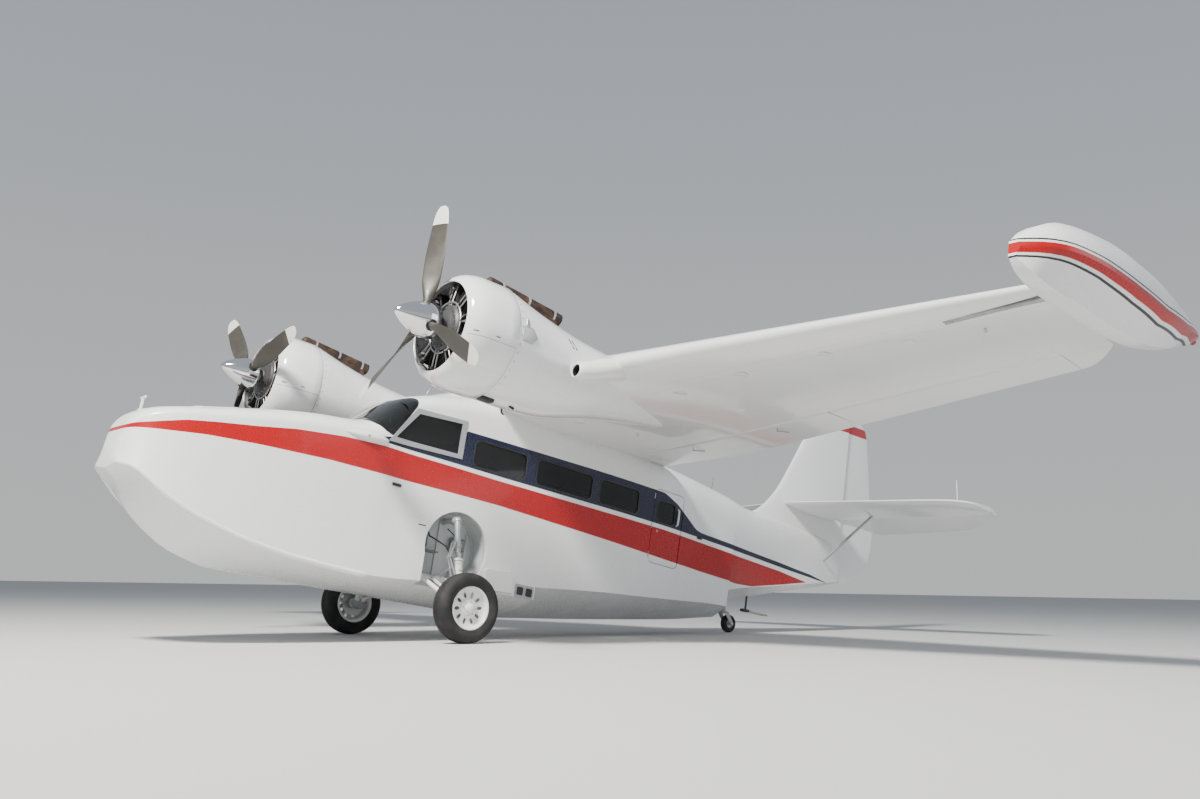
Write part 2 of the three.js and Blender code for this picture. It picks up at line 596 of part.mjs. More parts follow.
const flat = (x, y, z) => [x, y, z];
const PLANE_END = ELEVATOR_HINGE_Y - LEAF_NOSE - LEAF_GAP;
const STABILIZER_ROWS = [
  // x, leading edge, trailing edge, middle
  [20, 9570, PLANE_END, ELEVATOR_HINGE_Z],
  [1460, 9775, PLANE_END, ELEVATOR_HINGE_Z],
  [2380, 9905, PLANE_END, ELEVATOR_HINGE_Z],
  [2640, 9985, PLANE_END, ELEVATOR_HINGE_Z],
  [2790, 10110, PLANE_END, ELEVATOR_HINGE_Z],
  [2850, 10260, PLANE_END, ELEVATOR_HINGE_Z],
];
const ELEVATOR_ROWS = [
  [175, ELEVATOR_HINGE_Y, 10850, ELEVATOR_HINGE_Z],
  [330, ELEVATOR_HINGE_Y, 10960, ELEVATOR_HINGE_Z],
  [650, ELEVATOR_HINGE_Y, 11190, ELEVATOR_HINGE_Z],
  [2020, ELEVATOR_HINGE_Y, 11150, ELEVATOR_HINGE_Z],
  [2430, ELEVATOR_HINGE_Y, 11040, ELEVATOR_HINGE_Z],
  [2690, ELEVATOR_HINGE_Y, 10870, ELEVATOR_HINGE_Z],
  [2830, ELEVATOR_HINGE_Y, 10760, ELEVATOR_HINGE_Z],
];
const stabilizerBody = tailFoil(STABILIZER_ROWS, 120, flat, false);
const [elevatorLevel, stabilizer] = hingedLeaf(tailFoil(ELEVATOR_ROWS, 2 * LEAF_NOSE, flat, true),
  stabilizerBody, [500, 1400, 2400], (x) => [x, ELEVATOR_HINGE_Y, ELEVATOR_HINGE_Z], 0);
addPair('stabilizer', biggest(stabilizer.subtract(finGrown)), PAINT);
const elevatorHinge = [0, ELEVATOR_HINGE_Y, ELEVATOR_HINGE_Z];
addPair('elevator', swung(elevatorLevel, elevatorHinge, [1, 0, 0], -ELEVATOR_DROOP), PAINT);
const TAIL_STRUT = { foot: [60, 10500, 2700], head: [1040, 10420, 3420], radius: 20 };
addPair('tail_strut', biggest(bar(TAIL_STRUT.foot, TAIL_STRUT.head, TAIL_STRUT.radius, 10)
  .subtract(stabilizer.add(moved(stabilizer, 0, 0, -SEAT_GAP))).subtract(sternGrown)), PAINT);

// WING PANELS
// The middle carries both engines, the outer panels carry flaps, ailerons and floats
const WING_JOINT = ENGINE_X + 640;
const COVE_GAP = 14;
const INNER_FLAP_GAP = 16;
const wholeChord = [() => 0, () => 1];
const chordTo = (fraction) => [() => 0, (x) => fraction(x)];
const noseRadius = (fraction, x) => {
  const { length, thickness } = chordAt(x);
  return halfThickness(thickness, fraction(x)) * length;
};
function hingePoint(fraction, x) {
  const { lead, length, leadZ, trailZ } = chordAt(x);
  const u = fraction(x);
  const rise = 4 * CAMBER * u * (1 - u) * length;
  return [x, lead + u * length, THREE.MathUtils.lerp(leadZ, trailZ, u) + rise];
}
// The round space that the nose of a flap or an aileron turns in
function cove(fraction, x0, x1) {
  const ring = (x) => {
    const [, y, z] = hingePoint(fraction, x);
    const radius = noseRadius(fraction, x) + COVE_GAP;
    return Array.from({ length: 24 }, (_, i) => {
      const angle = (i / 24) * 2 * Math.PI;
      return [x, y + radius * Math.cos(angle), z + radius * Math.sin(angle)];
    });
  };
  return loft(x0 < ENGINE_X ? [ring(x0), ring(ENGINE_X), ring(x1)] : [ring(x0), ring(x1)]);
}
const FULL_CHORD_X = FLAP_INNER_X - INNER_FLAP_GAP;
const centreWhole = wingPiece([-FULL_CHORD_X, 0, FULL_CHORD_X], ...wholeChord);
const centreArm = wingPiece([FULL_CHORD_X - 1, ENGINE_X, WING_JOINT], ...chordTo(flapFraction))
  .subtract(cove(flapFraction, FULL_CHORD_X, WING_JOINT + 20));
add('wing_center', centreWhole.add(centreArm).add(mirrored(centreArm)), PAINT);

const bracketX = (FLAP_OUTER_X + AILERON_INNER_X) / 2;
const flapBay = wingPiece([WING_JOINT + SEAT_GAP, bracketX], ...chordTo(flapFraction))
  .subtract(cove(flapFraction, WING_JOINT - 20, bracketX));
const TIP_X = AILERON_OUTER_X + MOVING_GAP;
const aileronBay = wingPiece([bracketX - 1, TIP_X + 1], ...chordTo(aileronFraction))
  .subtract(cove(aileronFraction, bracketX - 1, TIP_X));
// Past the aileron the trailing edge curves forward to the tip rib
const TIP_TRAIL_Y = 5480;
const tipTrail = (x) => {
  const { lead, length } = chordAt(x);
  const past = (x - TIP_X) / (WING_TIP_X - TIP_X);
  const inner = chordAt(TIP_X);
  return (THREE.MathUtils.lerp(inner.lead + inner.length, TIP_TRAIL_Y, past ** 1.6) - lead) / length;
};
const tip = wingPiece([TIP_X, 6850, 7000, WING_TIP_X], () => 0, tipTrail);
// A bracket between flap and aileron holds the ends of both hinges
const [, bracketY, bracketZ] = hingePoint(flapFraction, bracketX);
const BRACKET_HALF = 7;
const bracket = box(bracketX - BRACKET_HALF, bracketX + BRACKET_HALF, bracketY - 160, bracketY + 30,
  bracketZ - 30, bracketZ + 30);
// The arm of the float lies in a slot of the lower skin
const slotHalf = 32;
const floatSlot = loft([FLOAT_HINGE_X - 50, WING_TIP_X + 50].map((x) => {
  const ceiling = FLOAT_AXIS_Z + 40 + DIHEDRAL * (x - FLOAT_HINGE_X);
  return [[x, FLOAT_ARM_Y - slotHalf, 3300], [x, FLOAT_ARM_Y + slotHalf, 3300],
    [x, FLOAT_ARM_Y + slotHalf, ceiling], [x, FLOAT_ARM_Y - slotHalf, ceiling]];
}));
addPair('wing', biggest(flapBay.add(aileronBay).add(tip).add(bracket).subtract(floatSlot)), PAINT);

// Each moving surface has a pin at both ends of its hinge
const PIN_RADIUS = 16;
function hingePins(leaf, fraction, x0, x1, innerReach, outerReach) {
  const a = new THREE.Vector3(...hingePoint(fraction, x0));
  const b = new THREE.Vector3(...hingePoint(fraction, x1));
  const along = b.clone().sub(a).normalize();
  const at = (origin, distance) => origin.clone().addScaledVector(along, distance).toArray();
  return leaf.add(bar(at(a, -innerReach), at(a, 60), PIN_RADIUS, 12))
    .add(bar(at(b, -60), at(b, outerReach), PIN_RADIUS, 12));
}
// The ends of the pins are square to a swept hinge, so only one edge comes to its seat
const PIN_BEVEL = 2;
const BRACKET_REACH = bracketX - BRACKET_HALF - SEAT_GAP - PIN_BEVEL - FLAP_OUTER_X;
const flap = wingPiece([FLAP_INNER_X, ENGINE_X, FLAP_OUTER_X], flapFraction, () => 1, true);
addPair('flap', hingePins(flap, flapFraction, FLAP_INNER_X, FLAP_OUTER_X,
  INNER_FLAP_GAP - SEAT_GAP - PIN_BEVEL, BRACKET_REACH), PAINT);
const aileron = wingPiece([AILERON_INNER_X, AILERON_OUTER_X], aileronFraction, () => 1, true);
addPair('aileron', hingePins(aileron, aileronFraction, AILERON_INNER_X, AILERON_OUTER_X,
  BRACKET_REACH, MOVING_GAP - SEAT_GAP - PIN_BEVEL), PAINT);

// TIP FLOATS
// Swung up, a float lies on its side: its keel points outboard and its deck faces the wing tip.
// Its middle rises towards the tail, and its keel lies nearer to its lower side
const FLOAT_ROWS = [
  // share of the length, depth of the keel, half beam, depth of the chine, rise, lean of the keel
  [0.0, 0.2, 0.1, 0.12, 0, 0],
  [0.03, 0.45, 0.34, 0.26, 15, 0],
  [0.1, 0.74, 0.66, 0.4, 45, -0.08],
  [0.22, 0.94, 0.9, 0.46, 75, -0.2],
  [0.38, 1.0, 1.0, 0.46, 110, -0.36],
  [0.55, 0.94, 0.95, 0.44, 115, -0.42],
  [0.72, 0.78, 0.66, 0.4, 128, -0.4],
  [0.87, 0.5, 0.3, 0.3, 165, -0.3],
  [1.0, 0.16, 0.07, 0.1, 220, 0],
];
const FLOAT_DECK_SIDE = 0.92;
function floatRing([share, keel, beam, chine, rise, lean]) {
  const y = THREE.MathUtils.lerp(FLOAT_NOSE_Y, FLOAT_TAIL_Y, share);
  const half = FLOAT_HALF_BEAM * beam;
  const loop = [[0.0, FLOAT_DECK_SIDE], [0.62 * chine, 1.0], [chine, 1.0], [keel, lean],
    [chine, -1.0], [0.62 * chine, -1.0], [0.0, -FLOAT_DECK_SIDE]];
  return loop.map(([depth, side]) => [FLOAT_DECK_X + FLOAT_DEPTH * depth, y, FLOAT_Z + rise + half * side]);
}
const FLOAT_ARM_RADIUS = 22;
const armEnd = [FLOAT_DECK_X + 20, FLOAT_ARM_Y, FLOAT_AXIS_Z + 30];
const floatArm = bar([FLOAT_HINGE_X, FLOAT_ARM_Y, FLOAT_AXIS_Z], armEnd, FLOAT_ARM_RADIUS, 8)
  .add(bar([FLOAT_HINGE_X, FLOAT_ARM_Y - slotHalf + SEAT_GAP, FLOAT_AXIS_Z],
    [FLOAT_HINGE_X, FLOAT_ARM_Y + slotHalf - SEAT_GAP, FLOAT_AXIS_Z], FLOAT_ARM_RADIUS, 12));
addPair('tip_float', loft(FLOAT_ROWS.map(floatRing)).add(floatArm), PAINT);

// POWERPLANTS
// Each is a cowl ring, a nine-cylinder engine, a nacelle, an exhaust duct and a propeller
const cowlRear = COWL_REAR_Y - COWL_FRONT_Y;
const COWL_WALL = 12;
const cowl = turned([[0, COWL_OPENING + 14], [60, 535], [140, 572], [240, COWL_RADIUS],
  [cowlRear, COWL_RADIUS], [cowlRear, COWL_RADIUS - COWL_WALL], [240, COWL_RADIUS - COWL_WALL],
  [60, 508], [14, COWL_OPENING], [0, COWL_OPENING + 14]],
[ENGINE_X, COWL_FRONT_Y, ENGINE_Z], 'y', COWL_SIDES);
addPair('cowl', cowl, PAINT);

const COWL_SEAT = COWL_RADIUS - COWL_WALL - SEAT_GAP;
const FIREWALL_Y = COWL_REAR_Y - 240;
const NACELLE_ROWS = [
  // y, half width, top z, bottom z
  [FIREWALL_Y, 520, 3970, 2930],
  [COWL_REAR_Y, COWL_SEAT, ENGINE_Z + COWL_SEAT, ENGINE_Z - COWL_SEAT],
  [2900, 562, 3985, 2868],
  [3050, 547, 3945, 2866],
  [3450, 517, 3855, 2890],
  [3750, 502, 3800, 2945],
  [4150, 470, 3760, 3040],
  [4600, 380, 3725, 3130],
  [5050, 200, 3690, 3210],
  [5350, 40, 3640, 3290],
];
const nacelleRing = ([y, half, top, bottom], grow) => Array.from({ length: COWL_SIDES }, (_, i) => {
  const angle = (i / COWL_SIDES) * 2 * Math.PI;
  const mid = (top + bottom) / 2;
  return [ENGINE_X + (half + grow) * Math.cos(angle), y,
    mid + ((top - bottom) / 2 + grow) * Math.sin(angle)];
});
const nacelleShape = (grow) => loft(NACELLE_ROWS.map((row) => nacelleRing(row, grow)));
const wingGrown = wingPiece([1300, ENGINE_X, 2800], ...chordTo(flapFraction), false, SEAT_GAP);
addPair('nacelle', biggest(nacelleShape(0).subtract(wingGrown)), PAINT);

const CRANKCASE = { front: 2150, radius: 235, cylinderY: 2330, cylinderRadius: 78, head: 500 };
let engine = bar([ENGINE_X, CRANKCASE.front, ENGINE_Z], [ENGINE_X, FIREWALL_Y - SEAT_GAP, ENGINE_Z],
  CRANKCASE.radius, 18);
const CYLINDERS = 9;
for (let i = 0; i < CYLINDERS; i += 1) {
  const angle = (i / CYLINDERS) * 2 * Math.PI;
  const out = (r) => [ENGINE_X + r * Math.sin(angle), CRANKCASE.cylinderY, ENGINE_Z + r * Math.cos(angle)];
  engine = engine.add(bar(out(180), out(CRANKCASE.head), CRANKCASE.cylinderRadius, 8));
}
addPair('engine', engine, DARK_METAL);

const BLADES = 3;
const BLADE_ROWS = [
  // radius, chord, thickness, pitch in degrees
  [120, 90, 70, 60],
  [260, 120, 60, 50],
  [430, 190, 34, 38],
  [700, 215, 22, 28],
  [950, 200, 15, 22],
  [1130, 160, 11, 18],
  [PROP_RADIUS, 60, 6, 17],
];
function propeller(firstAngle) {
  const HUB_REAR_Y = 2075;
  let rotor = turned([[SPINNER_TIP_Y, 0], [1660, 30], [1720, 78], [1820, 132], [1960, SPINNER_RADIUS],
    [HUB_REAR_Y, SPINNER_RADIUS + 4], [HUB_REAR_Y, 0]], [0, 0, 0], 'y', 20);
  rotor = rotor.add(bar([0, HUB_REAR_Y - 15, 0], [0, CRANKCASE.front - SEAT_GAP, 0], 60, 12));
  const blade = loft(BLADE_ROWS.map(([radius, chord, thick, pitch]) => {
    const lean = THREE.MathUtils.degToRad(pitch);
    return Array.from({ length: 8 }, (_, i) => {
      const angle = (i / 8) * 2 * Math.PI;
      const along = (chord / 2) * Math.cos(angle);
      const out = (thick / 2) * Math.sin(angle);
      return [along * Math.cos(lean) - out * Math.sin(lean),
        PROP_Y + along * Math.sin(lean) + out * Math.cos(lean), radius];
    });
  }));
  for (let i = 0; i < BLADES; i += 1) {
    rotor = rotor.add(swung(blade, [0, 0, 0], [0, 1, 0], firstAngle + (i / BLADES) * 2 * Math.PI));
  }
  return rotor;
}
// Where the first blade of each points, from straight up towards port
const PROP_ANGLES = { port: THREE.MathUtils.degToRad(-2.5), starboard: THREE.MathUtils.degToRad(-47.9) };
add('propeller_port', moved(propeller(PROP_ANGLES.port), ENGINE_X, 0, ENGINE_Z), BLADE);
add('propeller_starboard', moved(propeller(PROP_ANGLES.starboard), -ENGINE_X, 0, ENGINE_Z), BLADE);

// The duct lies on the shoulder of the cowl and nacelle
const DUCT = { front: [ENGINE_X, 2600, 4074], rear: [ENGINE_X, 3560, 3965] };
const cowlRoom = turned([[0, 0], [0, COWL_RADIUS + SEAT_GAP], [cowlRear + SEAT_GAP, COWL_RADIUS + SEAT_GAP],
  [cowlRear + SEAT_GAP, 0]], [ENGINE_X, COWL_FRONT_Y, ENGINE_Z], 'y', COWL_SIDES);
addPair('exhaust_duct', biggest(bar(DUCT.front, DUCT.rear, EXHAUST_RADIUS, 12, EXHAUST_RADIUS + 10)
  .subtract(nacelleShape(SEAT_GAP)).subtract(cowlRoom)), BURNT_STEEL);

// LANDING GEAR
// A leg leans out of its well to a stub axle, with a lower arm to each side of it
const HUB_X = WHEEL_X - TYRE_WIDTH / 2 - 22;
const ARM_PIVOT = { x: 600, z: 1215, spread: 290 };
const AXLE_RADIUS = 34;
const stub = bar([HUB_X - 60, WHEEL_Y, WHEEL_Z], [WHEEL_X + 40, WHEEL_Y, WHEEL_Z], AXLE_RADIUS, 16);
const TRUNNION_Z = 1850;
let leg = bar([775, WHEEL_Y, TRUNNION_Z + 20], [930, WHEEL_Y, 1400], 34, 12)
  .add(bar([WELL_WALL_X + SEAT_GAP, WHEEL_Y, TRUNNION_Z], [800, WHEEL_Y, TRUNNION_Z], 40, 12))
  .add(bar([922, WHEEL_Y, 1425], [HUB_X - 20, WHEEL_Y, WHEEL_Z + 40], 52, 12))
  .add(bar([ARM_PIVOT.x, WHEEL_Y - ARM_PIVOT.spread, ARM_PIVOT.z],
    [ARM_PIVOT.x, WHEEL_Y + ARM_PIVOT.spread, ARM_PIVOT.z], 30, 8))
  .add(box(HUB_X - 70, HUB_X + 10, WHEEL_Y - 70, WHEEL_Y + 70, WHEEL_Z - 60, WHEEL_Z + 90))
  .add(stub);
for (const side of [-1, 1]) {
  const inner = [ARM_PIVOT.x, WHEEL_Y + side * (ARM_PIVOT.spread - 40), ARM_PIVOT.z];
  leg = leg.add(bar(inner, [HUB_X - 30, WHEEL_Y + side * 20, WHEEL_Z + 30], 26, 8))
    .add(bar([ARM_SLOT_X + SEAT_GAP, inner[1], ARM_PIVOT.z], inner, 36, 8));
}
addPair('main_leg', leg, PAINT);
// A faceted tyre stands on the middle of a flat
function onFlat(solid, centre, sides) {
  return swung(solid, centre, [1, 0, 0], PARKED_ANGLE + Math.PI / sides);
}
const wheelCentre = [WHEEL_X, WHEEL_Y, WHEEL_Z];
const RIM = { bore: 34.8, flangeX: 96, seatX: 88, seatRadius: 205, flangeRadius: RIM_RADIUS + 4 };
const rimLoop = [[-RIM.flangeX, RIM.bore], [-RIM.flangeX, RIM.flangeRadius],
  [-RIM.seatX, RIM.flangeRadius], [-RIM.seatX, RIM.seatRadius], [RIM.seatX, RIM.seatRadius],
  [RIM.seatX, RIM.flangeRadius], [RIM.flangeX, RIM.flangeRadius], [RIM.flangeX, 212], [40, 150],
  [40, RIM.bore], [-RIM.flangeX, RIM.bore]];
addPair('wheel', onFlat(turned(rimLoop, wheelCentre, 'x', TYRE_SIDES), wheelCentre, TYRE_SIDES), PAINT);
const TYRE_HALF = TYRE_WIDTH / 2;
const beadX = RIM.seatX - SEAT_GAP;
const beadRadius = RIM.seatRadius + SEAT_GAP;
const tyreSide = [[beadX, beadRadius], [beadX, RIM.flangeRadius + 1], [TYRE_HALF, 285],
  [TYRE_HALF - 10, 325], [75, 355], [40, TYRE_RADIUS]];
const tyreLoop = [...tyreSide.map(([x, r]) => [-x, r]), ...tyreSide.slice().reverse()];
addPair('tyre', onFlat(turned([...tyreLoop, tyreLoop[0]], wheelCentre, 'x', TYRE_SIDES), wheelCentre,
  TYRE_SIDES), RUBBER);

// TAIL WHEEL
// Its fork turns on a post that stands straight up when the boat is parked, so all of it is drawn
// plumb about the wheel's centre and leant to match
const tailCentre = [0, TAIL_WHEEL_Y, TAIL_WHEEL_Z];
const plumb = (solid) => swung(solid, tailCentre, [1, 0, 0], PARKED_ANGLE);
const POST_Y = TAIL_WHEEL_Y - TAIL_TRAIL;
const FORK_TOP = TAIL_WHEEL_Z + TAIL_TYRE_RADIUS + 65;
const FORK_X = 60;
const cheek = (x0, x1) => sidePrism([[POST_Y - 38, FORK_TOP - 30], [POST_Y + 38, FORK_TOP - 30],
  [TAIL_WHEEL_Y + 28, TAIL_WHEEL_Z - 22], [TAIL_WHEEL_Y - 28, TAIL_WHEEL_Z - 22]], x0, x1);
const fork = bar([0, POST_Y, FORK_TOP - 42], [0, POST_Y, FORK_TOP], 42, 12)
  .add(box(-FORK_X - 14, FORK_X + 14, POST_Y - 38, POST_Y + 38, FORK_TOP - 50, FORK_TOP - 20))
  .add(cheek(FORK_X, FORK_X + 14)).add(cheek(-FORK_X - 14, -FORK_X))
  .add(bar([-FORK_X - 5, TAIL_WHEEL_Y, TAIL_WHEEL_Z], [FORK_X + 5, TAIL_WHEEL_Y, TAIL_WHEEL_Z], 12, 12));
const post = plumb(bar([0, POST_Y, FORK_TOP + SEAT_GAP], [0, POST_Y, FORK_TOP + 260], 36, 12));
add('tail_leg', biggest(post.subtract(sternGrown).subtract(moved(stern, 0, 0, 1))), PAINT);
add('tail_fork', plumb(fork), PAINT);
const tailSide = [[40, 12.7], [40, 60], [TAIL_TYRE_WIDTH / 2, 85], [30, 115], [0, TAIL_TYRE_RADIUS]];
const tailLoop = [...tailSide.map(([x, r]) => [-x, r]), ...tailSide.slice(0, -1).reverse()];
add('tail_wheel', onFlat(turned([...tailLoop, tailLoop[0]], tailCentre, 'x', TAIL_TYRE_SIDES), tailCentre,
  TAIL_TYRE_SIDES), RUBBER);
// A post under the cone holds a block with a flat foot and two bars that trail from it
const PYLON = { y: 9060, foot: 1745, head: 2010 };
add('tail_pylon', bar([0, PYLON.y, PYLON.foot + 20], [0, PYLON.y, PYLON.head], 16, 8)
  .add(box(-45, 45, PYLON.y - 70, PYLON.y + 50, PYLON.foot, PYLON.foot + 40))
  .add(bar([-32, PYLON.y, PYLON.foot + 20], [-32, PYLON.y + 440, PYLON.foot + 20], 12, 8))
  .add(bar([32, PYLON.y, PYLON.foot + 20], [32, PYLON.y + 440, PYLON.foot + 20], 12, 8))
  .subtract(sternGrown), PAINT);

// PARKED
// Lifted until it stands on its wheels, and centred over the origin
airframe.position.z = LIFT;
const reach = new THREE.Box3().setFromObject(group, true);
airframe.position.y = -(reach.min.y + reach.max.y) / 2;

export default group;
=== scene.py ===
# %% [markdown]
# # A flying boat on its wheels
# The boat was built twice: once as a plain frame of closed solids with working joints, and once
# here, as it looks. This notebook loads the frame and dresses it. Everything is in metres and in
# the frame's own place, so a new piece goes exactly where its plain solid says.
# %% Load the frame
import math

import bmesh
import bpy
import numpy as np
from mathutils import Matrix, Vector


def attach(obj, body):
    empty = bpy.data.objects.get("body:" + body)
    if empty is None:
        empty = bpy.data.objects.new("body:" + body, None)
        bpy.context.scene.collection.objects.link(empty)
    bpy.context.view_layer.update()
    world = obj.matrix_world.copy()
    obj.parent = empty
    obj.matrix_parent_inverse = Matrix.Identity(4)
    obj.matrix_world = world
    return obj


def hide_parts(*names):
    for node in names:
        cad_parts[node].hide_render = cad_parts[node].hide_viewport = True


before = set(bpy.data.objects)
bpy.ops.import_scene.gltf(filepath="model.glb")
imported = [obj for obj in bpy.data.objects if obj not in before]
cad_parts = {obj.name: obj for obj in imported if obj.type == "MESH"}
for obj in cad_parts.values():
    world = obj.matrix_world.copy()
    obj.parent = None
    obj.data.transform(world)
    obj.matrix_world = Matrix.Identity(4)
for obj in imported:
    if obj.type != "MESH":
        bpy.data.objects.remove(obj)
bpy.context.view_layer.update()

# %% [markdown]
# ## Drawn level, parked tail down
# A boat like this is drawn in its flying attitude: y runs aft from the bow, z up, x to port. On
# its wheels it sits nose up by nine and a half degrees. Drawing level and tipping each finished
# mesh keeps every measurement simple, and the objects themselves stay unturned at the origin.
# %% One matrix from the drawing to the ground
PARKED_ANGLE = math.radians(9.5)
ORIGIN_ON_GROUND = Vector((0, -6.228437, 0.054901))
ENGINE_X, ENGINE_Z, PROP_STATION = 2.045, 3.450, 1.985
LEVEL = Matrix.Translation(ORIGIN_ON_GROUND) @ Matrix.Rotation(-PARKED_ANGLE, 4, "X")


def tidy_surface(mesh, crease=34):
    mesh.validate()
    mesh.shade_smooth()
    mesh.set_sharp_from_angle(angle=math.radians(crease))
    return mesh


def make_piece(name, points, faces, finish, crease=34):
    mesh = bpy.data.meshes.new(name)
    mesh.from_pydata([tuple(p) for p in points], [], [tuple(f) for f in faces])
    mesh.transform(LEVEL)
    mesh.materials.append(finish)
    piece = bpy.data.objects.new(name, tidy_surface(mesh, crease))
    bpy.context.scene.collection.objects.link(piece)
    return piece


def seat_piece(piece, body="airframe", stands_for=()):
    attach(piece, body)
    if stands_for:
        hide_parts(*stands_for)
    return piece


print("the bow lip stands at", tuple(round(v, 3) for v in LEVEL @ Vector((0, 0, 1.66))))

# %% [markdown]
# ## Shapes from a few sections
# A hull, a wing or a cowl is a skin over a row of sections. The measured sections are few, so a
# curve that never overshoots runs through them and gives as many in between as the eye needs.
# %% Curves through measured rows, and skins over rings
def ease(rows):
    table = np.array(rows, float)
    at, values = table[:, 0], table[:, 1:]
    gap = np.diff(at)
    slope = np.diff(values, axis=0) / gap[:, None]
    lean = np.zeros_like(values)
    lean[0], lean[-1] = slope[0], slope[-1]
    for i in range(1, len(at) - 1):
        same = slope[i - 1] * slope[i] > 0
        before, after = 2 * gap[i] + gap[i - 1], gap[i] + 2 * gap[i - 1]
        safe = np.where(same, slope[i - 1], 1), np.where(same, slope[i], 1)
        lean[i] = np.where(same, (before + after) / (before / safe[0] + after / safe[1]), 0)

    def value(x):
        i = int(np.clip(np.searchsorted(at, x, side="right") - 1, 0, len(gap) - 1))
        t = (x - at[i]) / gap[i]
        t = min(max(t, -0.3), 1.3)
        a, b = values[i], values[i + 1]
        return ((1 + 2 * t) * (1 - t) ** 2 * a + t * (1 - t) ** 2 * gap[i] * lean[i]
                + t * t * (3 - 2 * t) * b + t * t * (t - 1) * gap[i] * lean[i + 1])

    return value


def skin(rings, around=True, ends=True):
    points = [tuple(p) for ring in rings for p in ring]
    count, faces = len(rings[0]), []
    last = count if around else count - 1
    for r in range(len(rings) - 1):
        for i in range(last):
            j = (i + 1) % count
            faces.append((r * count + i, r * count + j, (r + 1) * count + j, (r + 1) * count + i))
    if ends:
        for r, turn in ((0, -1), (len(rings) - 1, 1)):
            hub = len(points)
            points.append(tuple(np.mean(rings[r], axis=0)))
            for i in range(count):
                edge = (r * count + i, r * count + (i + 1) % count)
                faces.append((hub, *edge[::turn]))
    return points, faces


def welded(points, faces, reach=1e-5):
    mesh = bpy.data.meshes.new("welded")
    mesh.from_pydata([tuple(p) for p in points], [], [tuple(f) for f in faces])
    work = bmesh.new()
    work.from_mesh(mesh)
    bmesh.ops.remove_doubles(work, verts=work.verts, dist=reach)
    bmesh.ops.dissolve_degenerate(work, edges=work.edges, dist=1e-6)
    bmesh.ops.recalc_face_normals(work, faces=work.faces)
    work.verts.index_update()
    out = [tuple(v.co) for v in work.verts], [tuple(v.index for v in f.verts) for f in work.faces]
    work.free()
    bpy.data.meshes.remove(mesh)
    return out


def as_drawn(shape):
    return shape


def joined(*shapes):
    points, faces = [], []
    for more_points, more_faces in shapes:
        faces += [tuple(i + len(points) for i in f) for f in more_faces]
        points += [tuple(p) for p in more_points]
    return points, faces


def mirrored(shape):
    points, faces = shape
    return [(-p[0], p[1], p[2]) for p in points], [tuple(f[::-1]) for f in faces]


SIDES = ((1, "port", as_drawn),
         (-1, "starboard", mirrored))  # sign of x, name, how a shape is turned
print("halfway between 0 and 1:", float(ease([[0, 0], [1, 1]])(0.5)[0]))

# %% [markdown]
# ## Tubes, turned pieces and cutters
# Struts, pipes and axles are round bars along a path. Wheels, spinners and cowls are turned.
# Windows, doors and wells are cut with prisms and drums, because a cut edge in a real skin is
# sharp and follows its outline exactly.
# %% Small shop of shapes
def bar(path, radius, sides=16):
    stops = [Vector(p) for p in path]
    radii = radius if isinstance(radius, (list, tuple)) else [radius] * len(stops)
    rings, side = [], None
    for i, stop in enumerate(stops):
        ahead = (stops[min(i + 1, len(stops) - 1)] - stops[max(i - 1, 0)]).normalized()
        if side is None:
            side = ahead.orthogonal().normalized()
        side = (side - ahead * side.dot(ahead)).normalized()
        up = ahead.cross(side)
        rings.append([stop + radii[i] * (math.cos(a) * side + math.sin(a) * up)
                      for a in np.linspace(0, 2 * math.pi, sides, endpoint=False)])
    return welded(*skin(rings))


def turned(profile, centre, axis, sides=64, start=0.0):
    points, faces = [], []
    cx, cy, cz = centre
    for along, radius in profile:
        for i in range(sides):
            a = start + 2 * math.pi * i / sides
            u, v = radius * math.cos(a), radius * math.sin(a)
            points.append({"x": (cx + along, cy + u, cz + v), "y": (cx + u, cy + along, cz + v),
                           "z": (cx + u, cy + v, cz + along)}[axis])
    for r in range(len(profile) - 1):
        for i in range(sides):
            j = (i + 1) % sides
            faces.append((r * sides + i, r * sides + j, (r + 1) * sides + j, (r + 1) * sides + i))
    return welded(points, faces)


def prism(outline, x0, x1):
    count = len(outline)
    points = [(x, y, z) for x in (x0, x1) for y, z in outline]
    faces = [tuple(range(count)), tuple(range(2 * count - 1, count - 1, -1))]
    faces += [(i, (i + 1) % count, count + (i + 1) % count, count + i) for i in range(count)]
    return welded(points, faces)


def rounded(y0, y1, z0, z1, radius, steps=7):
    corners = ((y1 - radius, z0 + radius, -90), (y1 - radius, z1 - radius, 0),
               (y0 + radius, z1 - radius, 90), (y0 + radius, z0 + radius, 180))
    return [(cy + radius * math.cos(a), cz + radius * math.sin(a)) for cy, cz, start in corners
            for a in np.radians(np.linspace(start, start + 90, steps))]


def block(x0, x1, y0, y1, z0, z1, bevel=0.004):
    flat = [(x0 + bevel, y0), (x1 - bevel, y0), (x1, y0 + bevel), (x1, y1 - bevel),
            (x1 - bevel, y1), (x0 + bevel, y1), (x0, y1 - bevel), (x0, y0 + bevel)]
    mx, my = (x0 + x1) / 2, (y0 + y1) / 2

    def ring(z, pull):
        return [(mx + (x - mx) * pull[0], my + (y - my) * pull[1], z) for x, y in flat]

    pull = (max(1 - 2 * bevel / (x1 - x0), 0.2), max(1 - 2 * bevel / (y1 - y0), 0.2))
    return welded(*skin([ring(z0, pull), ring(z0 + bevel, (1, 1)), ring(z1 - bevel, (1, 1)),
                         ring(z1, pull)]))


def hidden(shape):
    mesh = bpy.data.meshes.new("cutter")
    mesh.from_pydata([tuple(p) for p in shape[0]], [], [tuple(f) for f in shape[1]])
    mesh.transform(LEVEL)
    cutter = bpy.data.objects.new("cutter", mesh)
    bpy.context.scene.collection.objects.link(cutter)
    return cutter


